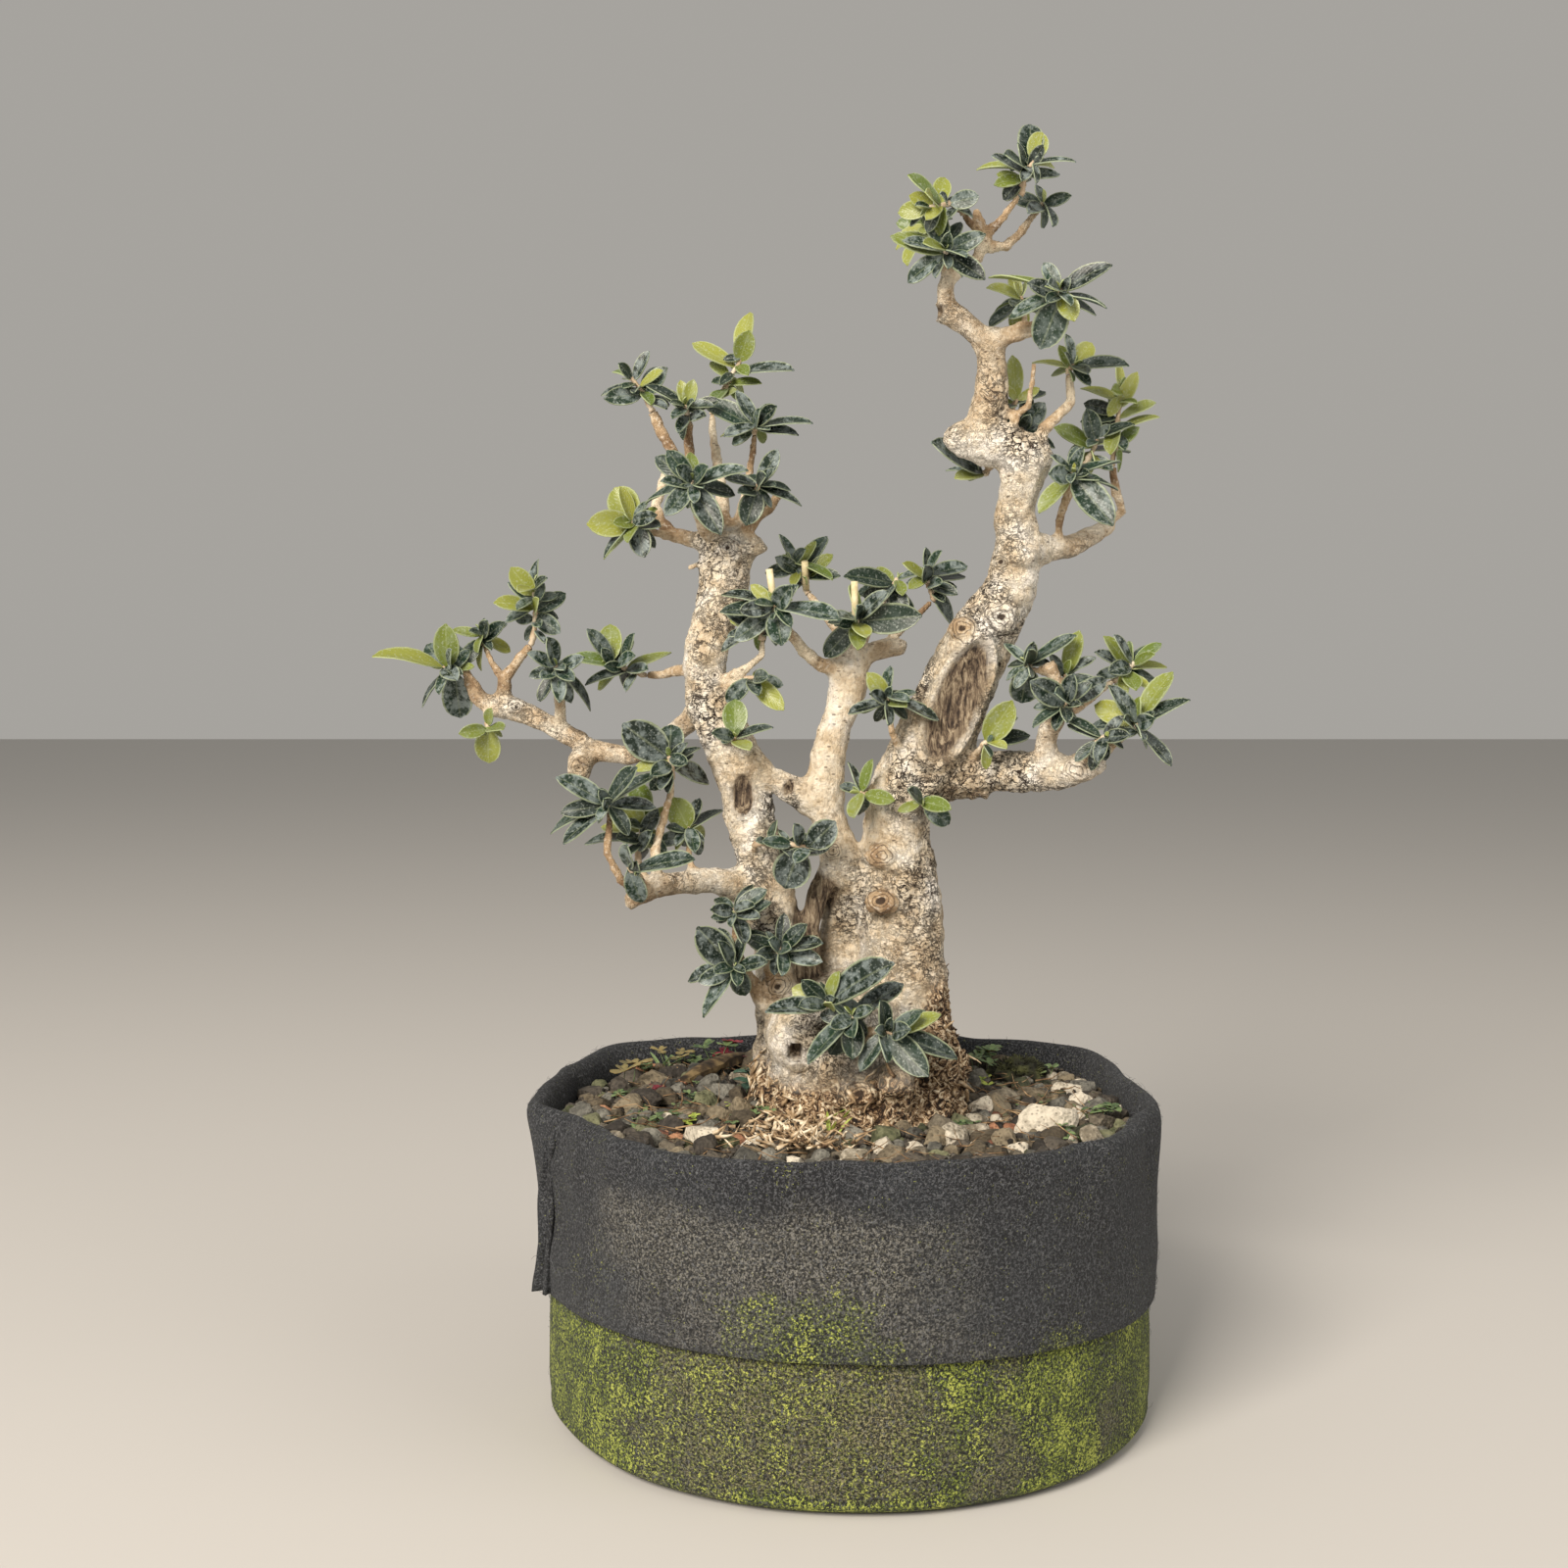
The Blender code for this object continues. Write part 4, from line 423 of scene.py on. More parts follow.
# Turns and leans in degrees by which a leaf is bent aside, and the steepest lean
STEEPEST = 72
BENDS = [(turn, lean) for lean in (0, 14, -14, 28, -28, 42, -42, 56, -56) for turn in (0, 9, -9, 18, -18)]
SPRAYS = {
    "crown_peak": ("crown", [(64, 487, 4), (67.5, 492, 4)], [(69, 498, 3), (73, 506, 2)], [
        (195, 12, 5, YOUNG), (10, 14, 5), (165, 15, 5), (168, 19, 4, YOUNG), (60, 9, 5), (87, 19, 10),
        (5, 16, 3), (72, 13, 8, YOUNG)]),
    "crown_side": ("crown", [(72, 483, 16), (75.5, 487, 17)], [(77, 489, 18)], [
        (158, 12, 6), (10, 10, 5), (100, 9, 4)]),
    "crown_left": ("crown", [(47, 482, -3), (45, 485, -6)], [(40, 489, -10), (31, 487, -13)], [
        (10, 11, 7), (25, 12, 3), (145, 16, 5, YOUNG), (75, 13, 7, YOUNG), (150, 10, 6, YOUNG),
        (185, 12, 7, YOUNG)]),
    "crown_low": ("crown", [(39.5, 463, -4), (38.5, 467, -8)], [(38, 471, -12)], [
        (160, 22, 8, YOUNG), (320, 18, 8), (205, 17, 7), (10, 14, 7), (165, 16, 5), (112, 18, 9),
        (80, 13, 5)]),
    "crown_back": ("crown", [(39, 472, 14), (34, 479, 24)], [(29, 480, 30)], [
        (240, 20, 4, YOUNG), (195, 15, 3, YOUNG), (100, 12, 6), (170, 11, 6, YOUNG)]),
    "crown_right": ("crown", [(83, 446, -14), (84.5, 450, -18)], [(84, 455, -21)], [
        (250, 20, 13), (325, 17, 3), (200, 20, 6), (293, 12, 8, YOUNG), (160, 27, 4, YOUNG), (27, 19, 7),
        (118, 12, 6)]),
    "crown_gap": ("crown", [(70, 443, 4), (70, 447, 10)], [(68, 452, 14)], [
        (215, 17, 5), (350, 10, 4), (165, 14, 5, YOUNG), (110, 10, 5, YOUNG)]),
    "right_top": ("right", [(88.5, 417, 12), (88, 421, 12)], [(90, 425, 12)], [
        (165, 15, 3, YOUNG), (0, 21, 6), (50, 13, 8, YOUNG), (95, 12, 4)]),
    "right_high": ("upper", [(107, 376, 14), (106, 384, 12)], [
        (107, 394, 10), (108, 404, 8), (109, 416, 7)], [
        (20, 16, 3, YOUNG), (155, 12, 4), (25, 15, 4, YOUNG), (160, 14, 6), (65, 15, 6, YOUNG),
        (150, 16, 5, YOUNG), (250, 9, 5, YOUNG), (95, 13, 4, YOUNG)]),
    "right_mid": ("upper", [(91, 377, 7), (95, 385, 12)], [(98, 391, 12), (100, 397, 10)], [
        (5, 22, 3), (155, 18, 7, YOUNG), (10, 18, 3, YOUNG), (111, 13, 8), (65, 16, 6), (20, 14, 4)]),
    "right_low": ("upper", [(87, 371, -5), (88.5, 377, -8)], [(90, 382, -13)], [
        (225, 19, 6, YOUNG), (18, 22, 3), (305, 25, 12), (2, 20, 3), (145, 11, 3)]),
    "stem_leaf": ("crown", [(60, 403, 4), (64.5, 407, 9)], [(67, 411, 11)], [
        (25, 15, 4), (95, 18, 7, YOUNG), (10, 10, 4, YOUNG)]),
    "head_left": ("right", [(57, 386, 7), (55, 382, 15)], [(52, 382, 17)], [
        (155, 25, 9), (170, 14, 3), (120, 12, 6, YOUNG)]),
    "head_back": ("right", [(69, 394, 9), (69, 398, 17)], [(70, 400, 21)], [
        (140, 14, 8), (50, 12, 8), (100, 14, 6), (200, 12, 6)]),
    "left_peak": ("left", [(-56, 399, 33), (-56, 405, 34)], [
        (-53, 412, 34), (-48, 421, 31), (-43, 429, 27)], [
        (0, 15, 4, YOUNG), (135, 12, 5, YOUNG), (0, 26, 6), (150, 22, 7, YOUNG), (70, 13, 9, YOUNG),
        (85, 22, 8, YOUNG)]),
    "left_pale": ("left", [(-39.5, 391, 9), (-39, 397, 5)], [(-38, 401, 2)], [
        (183, 15, 3, YOUNG), (350, 18, 5), (152, 25, 9), (347, 23, 4), (128, 17, 6), (200, 14, 5)]),
    "left_far_top": ("left", [(-77, 399, 24), (-80, 406, 24)], [(-84, 414, 24), (-89, 420, 23)], [
        (190, 16, 8), (60, 13, 5), (30, 12, 4, YOUNG), (190, 16, 3), (65, 14, 5), (150, 10, 3, YOUNG)]),
    "left_top_mid": ("left", [(-66, 393, 13), (-65.5, 402, 6)], [(-67, 409, 1)], [
        (135, 15, 5), (20, 14, 5), (120, 12, 5, YOUNG), (75, 12, 6, YOUNG), (158, 18, 4), (340, 12, 4)]),
    "left_rosette": ("left", [(-62, 369, -21), (-63.5, 374, -26)], [(-64, 379, -30)], [
        (300, 22, 10), (195, 21, 4), (15, 22, 6), (345, 17, 6), (250, 17, 8), (145, 19, 8), (130, 15, 8),
        (95, 12, 5, YOUNG)]),
    "left_lime": ("left", [(-79, 357.5, 0), (-84, 360, -5)], [(-89, 362, -10)], [
        (222, 20, 4, YOUNG), (285, 14, 9), (120, 17, 13, YOUNG), (183, 18, 11, YOUNG),
        (100, 15, 5, YOUNG), (215, 18, 3)]),
    "left_small": ("left", [(-41, 366, -12), (-39, 372, -19)], [(-37, 378, -24)], [
        (253, 15, 10), (340, 19, 4), (166, 13, 4), (355, 13, 3), (60, 15, 7)]),
    "mid_left": ("middle", [(-24, 316, -22), (-29, 323, -26)], [(-31, 329, -30)], [
        (215, 20, 8), (280, 14, 10), (200, 21, 6), (352, 25, 6), (172, 22, 4), (190, 14, 7),
        (140, 12, 5, YOUNG)]),
    "mid_top": ("middle", [(-13, 328, 14), (-17, 333, 17)], [(-19, 340, 19), (-24, 346, 18)], [
        (0, 15, 5), (60, 20, 7), (150, 12, 6), (40, 14, 4, YOUNG), (190, 12, 6), (115, 15, 4),
        (340, 18, 3, YOUNG)]),
    "mid_front": ("middle", [(1, 317, -14), (2, 320, -22)], [(3, 323, -26)], [
        (228, 19, 9), (5, 25, 12), (345, 12, 5), (35, 16, 6), (100, 14, 4, YOUNG)]),
    "mid_back": ("middle", [(9, 322, 17), (14, 331, 28)], [(19, 339, 32)], [
        (300, 12, 8), (190, 15, 6), (170, 21, 8), (145, 10, 6, YOUNG), (20, 13, 3)]),
    "mid_right": ("middle", [(28, 325, 6), (33, 330, 6)], [(31, 338, 7), (31, 342, 6)], [
        (288, 19, 6), (340, 12, 5), (27, 17, 4), (150, 12, 4, YOUNG), (14, 18, 6), (60, 10, 3)]),
    "left_stem": ("left", [(-36, 308, -20), (-36, 314, -22)], [(-37, 321, -22)], [
        (150, 14, 5), (205, 18, 4), (180, 14, 5, YOUNG), (190, 13, 5), (30, 12, 5)]),
    "left_stem_low": ("left", [(-50, 294, -7), (-43, 298, -13)], [(-39, 299, -16)], [
        (215, 13, 7), (315, 18, 8, YOUNG), (345, 12, 5)]),
    "left_stem_lime": ("left", [(-47, 268, -10), (-47.5, 272, -16)], [(-47, 275, -20)], [
        (20, 16, 3), (90, 15, 10, YOUNG)]),
    "big_leaves": ("left", [(-40, 226, -10), (-39, 230, -17)], [(-30, 232, -19), (-16, 229, -20)], [
        (355, 20, 9), (170, 12, 5), (250, 18, 15), (45, 15, 11)]),
    "gap": ("right", [(17, 277, -17), (15.5, 286, -17)], [(15, 292, -17)], [
        (195, 16, 4), (20, 12, 3), (205, 12, 4), (345, 19, 4), (130, 12, 7, YOUNG), (85, 12, 4)]),
    "stem_edge": ("right", [(12, 256, -8), (7, 252, -13)], [(4, 252, -14)], [
        (160, 10, 4), (75, 14, 4, YOUNG), (110, 13, 3)]),
    "stem_front": ("right", [(24, 246, -11), (28, 248, -19)], [(30, 248, -22)], [
        (200, 10, 4, YOUNG), (320, 15, 8)]),
    "right_inner": ("right", [(48, 263, -6), (54, 271, -18)], [(56, 273, -20)], [
        (10, 19, 6), (60, 19, 11, YOUNG), (35, 16, 3)]),
    "right_lime": ("side", [(85.5, 292, -14), (87, 297, -9)], [(88, 301, -7)], [
        (125, 11, 4), (35, 15, 3), (75, 18, 7, YOUNG), (20, 12, 3)]),
    "right_disc": ("side", [(78, 301, -14), (74, 303, -13)], [(72, 305, -13)], [
        (265, 15, 12), (15, 21, 4), (135, 12, 4), (80, 8, 5)]),
    "right_dark": ("side", [(84, 283, -15), (86, 286, -21)], [(89, 289, -24)], [
        (200, 15, 3), (185, 12, 4), (150, 17, 10), (30, 18, 8)]),
    "right_back": ("side", [(100, 292, 12), (107, 297.5, 18)], [(112, 302, 20), (116, 305, 20)], [
        (345, 18, 5), (190, 12, 5), (2, 18, 3, YOUNG), (128, 16, 6, YOUNG), (38, 16, 4), (143, 16, 4),
        (35, 13, 4, YOUNG)]),
    "right_tip": ("side", [(110, 275, -18), (114, 277, -18)], [(118, 281, -19)], [
        (313, 20, 5), (172, 18, 4), (27, 22, 4), (155, 17, 9, YOUNG), (130, 19, 7), (58, 24, 6, YOUNG)]),
    "right_small": ("side", [(97, 269, -21), (100, 272, -23)], [(104, 275, -25)], [
        (155, 13, 4), (280, 8, 5), (160, 15, 4), (50, 11, 4), (10, 12, 4)]),
    "low_rosette": ("low", [(-98.5, 237, -12), (-98.5, 244, -12)], [(-99.5, 248, -13)], [
        (217, 22, 5), (357, 18, 5), (187, 18, 7), (33, 21, 4), (167, 22, 7), (205, 27, 4), (50, 19, 6)]),
    "low_lime": ("low", [(-86, 220, -4), (-86.5, 223, -1)], [(-87, 228, 1), (-84, 242, 2)], [
        (183, 24, 3), (40, 13, 6), (175, 17, 4, YOUNG), (125, 15, 10, YOUNG), (25, 15, 3, YOUNG),
        (100, 15, 10, YOUNG)]),
    "low_front": ("low", [(-84, 213, -14), (-86, 217, -21)], [(-91, 221, -24)], [
        (15, 25, 5), (305, 16, 8)]),
    "low_upright": ("low", [(-73.5, 251, -4), (-73, 257, -4)], [(-73, 262, -5), (-74, 267, -6)], [
        (356, 20, 7), (205, 9, 5), (30, 13, 3), (200, 14, 5, YOUNG), (90, 14, 11), (143, 22, 15)]),
    "low_inner": ("low", [(-66, 226, -4), (-66, 233, -2)], [(-66, 238, -1)], [
        (200, 13, 6), (30, 18, 3), (115, 14, 11, YOUNG), (70, 12, 5)]),
    "far_tip": ("far", [(-155, 298, 8), (-157, 302, 8)], [(-161, 302, 6), (-166, 303, 5)], [
        (270, 21, 13), (45, 12, 5), (225, 22, 3), (80, 19, 11, YOUNG), (135, 15, 9),
        (165, 27, 5, YOUNG)]),
    "far_mid": ("far", [(-146, 305, 17), (-149, 312, 21)], [(-150, 317, 22)], [
        (240, 15, 7), (330, 13, 5, YOUNG), (170, 13, 4, YOUNG), (25, 11, 4)]),
    "far_up": ("far", [(-135, 306, 10), (-130.5, 312, 10)], [
        (-128.5, 318, 9), (-128, 328, 8), (-129, 336, 7)], [
        (180, 9, 5), (325, 13, 8), (35, 15, 7), (170, 16, 6, YOUNG), (208, 15, 5), (60, 9, 4),
        (10, 9, 4), (128, 15, 9, YOUNG), (90, 15, 5), (185, 10, 3, YOUNG)]),
    "far_inner": ("far", [(-119, 291, -2), (-119.5, 299, -8)], [(-120, 304, -12)], [
        (240, 14, 5), (310, 22, 3), (280, 14, 6), (200, 12, 5), (150, 11, 5)]),
    "far_hanging": ("far", [(-148, 285, 4), (-148, 280.5, -2)], [(-148, 278, -4)], [
        (268, 16, 11, YOUNG), (190, 11, 6, YOUNG)]),
    "mid_left_far": ("left", [(-78, 300, 25), (-83, 300, 28)], [(-90, 302, 28), (-98, 305, 25)], [
        (198, 19, 4), (20, 20, 4, YOUNG), (75, 15, 4), (222, 16, 4, YOUNG), (168, 21, 5, YOUNG),
        (60, 13, 5), (142, 18, 6), (113, 19, 10, YOUNG)]),
    "sprout_tip": ("sprout", [(-47, 190, -26), (-46.5, 199, -27)], [(-48, 204, -27)], [
        (60, 13, 4), (190, 9, 4), (150, 9, 4), (230, 9, 4)]),
    "sprout_left": ("sprout", [(-42, 177, -23), (-46, 179, -29)], [(-48, 181, -32)], [
        (237, 22, 5), (280, 13, 8), (220, 13, 7), (198, 20, 4), (150, 21, 13), (95, 15, 7)]),
    "sprout_mid": ("sprout", [(-34, 180, -18), (-30.5, 185, -23)], [(-27.5, 188, -25)], [
        (225, 12, 3), (350, 17, 7), (160, 17, 6), (15, 17, 4), (85, 14, 6), (50, 14, 6)]),
    "sprout_left_front": ("sprout", [(-2, 158, -44), (-7, 162, -44)], [(-10, 166, -44)], [
        (180, 24, 5), (60, 12, 8), (40, 30, 9), (160, 14, 8, YOUNG), (135, 13, 7)]),
    "sprout_front": ("sprout", [(5, 153, -42), (2, 157, -47)], [(1, 160, -50)], [
        (240, 17, 9), (270, 15, 9), (30, 23, 6), (225, 24, 5)]),
    "sprout_right_front": ("sprout", [(5, 152, -42), (12, 154, -48)], [(18, 152, -51)], [
        (235, 18, 6), (15, 18, 9), (315, 20, 11), (345, 26, 4), (330, 23, 6), (30, 19, 5, YOUNG)]),
}
print(len(SPRAYS), "sprays with", sum(len(leaves) for *_, leaves in SPRAYS.values()), "leaves that show")

# %% Poses by the rule


def direction_of(clock, lean):
    return Vector((math.cos(clock) * math.cos(lean), math.sin(lean), math.sin(clock) * math.cos(lean)))


def leaf_frame(place, axis, clock, lean, share):
    """Frame at a leaf's root: X along it, Z out of its upper side, which shows that share of its width"""
    along = direction_of(clock, lean)
    root = place + (along - axis * along.dot(axis)) * 0.35 * MM
    to_front = Vector((0, -1, 0))
    facing = (to_front - along * along.dot(to_front)).normalized()
    edge_on = along.cross(facing)
    if edge_on.z < 0:
        edge_on.negate()
    turn = math.asin(min(1.0, share))
    up = (facing * math.sin(turn) + edge_on * math.cos(turn)).normalized()
    side = up.cross(along)
    return Matrix.Translation(root) @ Matrix((along, side, up)).transposed().to_4x4()


def shoot_line(bough, ends, points):
    """The shoot's centres in metres, from a gap beyond the twig's end"""
    before, last = (seen(bough, *point) for point in ends)
    outward = (last - before).normalized()
    first = [last + outward * GAP, last + outward * 1.6 * MM]
    return first + [seen(bough, *point) for point in points]


def along_shoot(centres, share):
    """Place at a share of the shoot's length, and the shoot's direction there"""
    lengths = [(b - a).length for a, b in zip(centres, centres[1:])]
    left = share * sum(lengths)
    for start, end, length in zip(centres, centres[1:], lengths):
        if left <= length:
            break
        left -= length
    return start.lerp(end, left / length), (end - start).normalized()


def guard_of(frame_of_leaf, length, width):
    """Plate round a leaf that is tested for touching, its root left off"""
    half = 0.48 * width
    rim = [(0.12, 0), (0.55, half / length), (1.0, 0), (0.55, -half / length)]
    corners = []
    for height in (-0.6 * MM, 0.8 * MM):
        corners += [frame_of_leaf @ Vector((u * length, v * length, height + LEAF_FOLD * abs(v) * length))
                    for u, v in rim]
    return BVHTree.FromPolygons(corners, [(0, 1, 2, 3), (4, 5, 6, 7), (0, 1, 5, 4), (1, 2, 6, 5),
                                          (2, 3, 7, 6), (3, 0, 4, 7)])


wood_faces = faces_of([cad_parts["trunk"]])
spray_faces = {name: faces_of([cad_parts["spray_" + name]]) for name in SPRAYS}
guards = []


def poses(place, axis, clock, lean, share):
    """The leaf's frame as it was drawn, and then bent aside step by step"""
    for turn, more in BENDS:
        slope = max(-STEEPEST, min(STEEPEST, lean + more))
        yield leaf_frame(place, axis, math.radians(clock + turn), math.radians(slope), share)


def free_pose(name, place, axis, clock, lean, length, width, share, mates):
    """The first pose in which the leaf touches neither wood nor another leaf, or None"""
    for pose in poses(place, axis, clock, lean, share):
        guard = guard_of(pose, length, width)
        if any(guard.overlap(faces) for faces in (wood_faces, *guards, *mates)):
            continue
        if all(other == name or not guard.overlap(faces) for other, faces in spray_faces.items()):
            return pose, guard
    return None


def solid_pose(tips, place, axis, clock, lean, length, width, share):
    """The pose that the leaf has in its solid, known by the place of its tip, or None"""
    for pose in poses(place, axis, clock, lean, share):
        if tips.find(pose @ Vector((length, 0, LEAF_PLATE / 2)))[2] < 0.05 * MM:
            return pose, guard_of(pose, length, width)
    return None


def grow(number, name):
    """Shoot centres and leaves of one spray: each leaf's pose, length, width and whether it is young"""
    bough, ends, points, leaves = SPRAYS[name]
    chance = random.Random(SEED + number)
    centres = shoot_line(bough, ends, points)
    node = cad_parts["spray_" + name]
    tips = KDTree(len(node.data.vertices))
    for index, corner in enumerate(node.data.vertices):
        tips.insert(corner.co, index)
    tips.balance()
    grown = []
    missing = []
    mates = []
    for count, (clock, seen_length, seen_width, *young) in enumerate(leaves):
        place, axis = along_shoot(centres, 0.96 - 0.56 * (len(leaves) - 1 - count) / len(leaves))
        side = 1 if (count + number) % 2 else -1
        lean = side * chance.uniform(8, 34 if seen_length > 11 else 48)
        length = seen_length / math.cos(math.radians(lean)) * MM
        width = max(seen_width * MM, LEAF_SHAPE * length)
        leaf = (place, axis, clock, lean, length, width, seen_width * MM / width)
        found = solid_pose(tips, *leaf)
        if found:
            mates.append(found[1])
            grown.append((found[0], length, width, bool(young)))
        else:
            missing.append((leaf, bool(young)))
    return centres, grown, missing, mates


sprays = {}
for number, name in enumerate(SPRAYS):
    sprays[name] = grow(number, name)
in_solids = sum(len(grown) for _, grown, _, _ in sprays.values())
for name, (centres, grown, missing, mates) in sprays.items():
    for leaf, young in missing:
        found = free_pose(name, *leaf, mates)
        if found:
            mates.append(found[1])
            guards.append(found[1])
            grown.append((found[0], leaf[4], leaf[5], young))
print(in_solids, "leaves found in the solids,", sum(len(grown) for _, grown, _, _ in sprays.values()),
      "in all")

# %% [markdown]
# ## More leaves in the depth
#
# The photograph shows each spray from one side. A real spray has pairs that point towards the eye and
# away from it, foreshortened and half hidden, and they are what makes it look full from the side. Each
# shoot gets a few of these, by a draw that is the same in every run.

# %% Leaves in the depth
DEEP_LEAVES = 11
for number, (name, (centres, grown, _, mates)) in enumerate(sprays.items()):
    chance = random.Random(1000 + number)
    lime = sum(young for *_, young in grown) / max(1, len(grown))
    wanted = DEEP_LEAVES if len(grown) > 3 else 3
    for count in range(wanted):
        place, axis = along_shoot(centres, 0.95 - 0.75 * count / wanted)
        clock = chance.uniform(0, 360)
        lean = (1 if count % 2 else -1) * chance.uniform(38, 66)
        length = chance.uniform(8, 16) * MM
        width = chance.uniform(0.38, 0.52) * length
        found = free_pose(name, place, axis, clock, lean, length, width, chance.uniform(0.5, 1.0), mates)
        if found:
            mates.append(found[1])
            guards.append(found[1])
            grown.append((found[0], length, width, chance.random() < 0.7 * lime))
print(sum(len(grown) for _, grown, _, _ in sprays.values()), "leaves with those in the depth")

# %% [markdown]
# ## The leaf
#
# The blade is modelled once, flat and one unit long, as a small grid: its outline is egg-shaped, widest
# beyond its middle, drawn in to a short stalk. Both halves rise from the midrib, and the tip bends down.
# Every leaf of the tree is a copy of it, stretched to its own length and width and curved a little in
# its own way. A spray's blades are joined and only then get their thickness, so it is the same on all.

# %% Leaf blade
BLADE_ROWS = 7
BLADE_COLUMNS = 4
LEAF_THICKNESS = 0.45 * MM
# Pale stubs where shoots were pinched off: foot and cut end as x, height and depth in mm
STUBS = {"mid_left": [(-31, 328, -29), (-33, 343, -31)], "mid_top": [(-18, 335, 16), (-18.6, 346, 9)],
         "mid_front": [(2, 321, -24), (1.6, 338, -27)]}

bpy.ops.mesh.primitive_grid_add(x_subdivisions=BLADE_ROWS, y_subdivisions=BLADE_COLUMNS, size=1)
blade = bpy.context.object
blade.name = "leaf_blade"
flat_blade = places_of(blade) + [0.5, 0, 0]
row_share, side_share = 1 - (1 - flat_blade[:, 0]) ** 1.25, 2 * flat_blade[:, 1]
egg = np.sin(np.pi * np.clip(row_share, 0, 1) ** 1.1) ** 0.5
stalk = 0.07 * (1 - row_share)
half_width = np.maximum(egg * step(-0.02, 0.2, row_share) + stalk, 0.05 + 0.12 * row_share ** 8)
tip_round = 0.03 * row_share ** 8 * side_share ** 2
set_places(blade, np.column_stack([row_share - tip_round, 0.5 * half_width * side_share, 0 * row_share]))
print("one blade has", len(blade.data.polygons), "faces")


def add_leaf(pose, length, width, young, chance):
    """A copy of the blade at its place, with its own curve, age, tint and bloom"""
    copy = copy_of(blade)
    shape = places_of(blade)
    along, across = shape[:, 0], shape[:, 1]
    droop = chance.uniform(0.02, 0.13)
    wave = chance.uniform(-0.035, 0.035)
    cup = chance.uniform(0.6, 1.25)
    rise = LEAF_FOLD * cup * np.abs(across) * width
    rise += (0.03 - droop * along ** 2 + wave * np.sin(2 * np.pi * along) * np.sign(across)) * length * along
    local = np.column_stack([along * length, across * width, rise])
    matrix = np.array(pose)
    set_places(copy, local @ matrix[:3, :3].T + matrix[:3, 3])
    store(copy, "young", float(young))
    store(copy, "tint", chance.random())
    store(copy, "bloom", chance.uniform(0.1, 1.25) * (0.3 if young else 1.0))
    return copy


def shoot_tube(centres, thick, chance):
    """The shoot as a line of places with radii that taper and swell a little at random"""
    line = []
    for share in np.linspace(0, 1, 5 * len(centres)):
        place, _ = along_shoot(centres, float(share))
        line.append((place, (thick - 0.35 * MM * share) * chance.uniform(0.85, 1.3)))
    return line


def add_buds(centres, chance):
    """A pair of tiny new leaves at the shoot's tip"""
    place, axis = along_shoot(centres, 1.0)
    side = crosswise(axis, math.radians(chance.uniform(0, 180)))
    buds = []
    for turn in (1, -1):
        along = (axis + side * turn * 0.45).normalized()
        up = (axis * 0.45 - side * turn).normalized()
        pose = Matrix.Translation(place) @ Matrix((along, up.cross(along), up)).transposed().to_4x4()
        buds.append(add_leaf(pose, chance.uniform(3.5, 6) * MM, 2 * MM, chance.random() < 0.8, chance))
    return buds


def make_spray(number, name):
    centres, grown, _, _ = sprays[name]
    chance = random.Random(500 + number)
    copies = [add_leaf(*leaf, chance) for leaf in grown] + add_buds(centres, chance)
    leaves = join("leaves_" + name, copies)
    coat(leaves, upper_skin, under_skin)
    modify(leaves, "SOLIDIFY", thickness=LEAF_THICKNESS, offset=0, material_offset=1, material_offset_rim=1)
    bpy.ops.object.shade_smooth_by_angle(angle=math.radians(50))
    shoot = curves_as_mesh("shoot_" + name, [shoot_tube(centres, 1.25 * MM, chance)], 6, shoot_bark)
    parts = [leaves, shoot]
    if name in STUBS:
        stub = [(seen(SPRAYS[name][0], *point), 1.45 * MM) for point in STUBS[name]]
        parts.append(curves_as_mesh("stub_" + name, [stub], 8, cut_bark))
    whole = join("leaves_" + name, parts)
    young = sum(leaf[3] for leaf in grown) * 2 > len(grown)
    finish_piece(whole, ["spray_" + name])


for number, name in enumerate(sprays):
    make_spray(number, name)
bpy.data.objects.remove(blade)

# %% [markdown]
# ## The wood
#
# The solid of the tree is a set of round tubes grown into one. Real olive wood is lumpy, its bark is
# cracked into small plates where it is old, old cuts heal over in rings, and dead wood lies open and
# grey-brown between rolls of living bark. So a copy of the solid is remeshed into fine even faces, the
# joints of its tubes are smoothed, and then every corner is moved in or out by what grows there.
#
# How old the bark is follows from how thick the wood under it is. That is measured with a ray from each
# corner straight through to the other side. Thin wood keeps its place, so no twig is lost.

# %% Fine skin of the wood
SKIN_FACE = 1.25 * MM

tree = copy_of(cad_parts["trunk"])
tree.animation_data_clear()
tree.parent = None
for key in list(tree.keys()):
    del tree[key]
tree.name = "wood"
select_only(tree)
bpy.ops.object.mode_set(mode="EDIT")
bpy.ops.mesh.select_all(action="SELECT")
bpy.ops.mesh.remove_doubles(threshold=0.001 * MM)
bpy.ops.object.mode_set(mode="OBJECT")
modify(tree, "REMESH", mode="VOXEL", voxel_size=SKIN_FACE)
skin = places_of(tree)
outward = normals_of(tree)
print("skin has", len(skin), "corners")

edges = np.empty(len(tree.data.edges) * 2, dtype=int)
tree.data.edges.foreach_get("vertices", edges)
edges = edges.reshape(-1, 2)
edge_count = np.bincount(edges.ravel(), minlength=len(skin))


def neighbour_mean(values, rounds):
    """Each corner's value is moved half way to the mean of its neighbours, again and again"""
    values = np.array(values, dtype=float)
    flat = values.reshape(len(values), -1)
    for _ in range(rounds):
        total = np.zeros_like(flat)
        np.add.at(total, edges[:, 0], flat[edges[:, 1]])
        np.add.at(total, edges[:, 1], flat[edges[:, 0]])
        flat = 0.5 * flat + 0.5 * total / edge_count[:, None]
    return flat.reshape(values.shape)


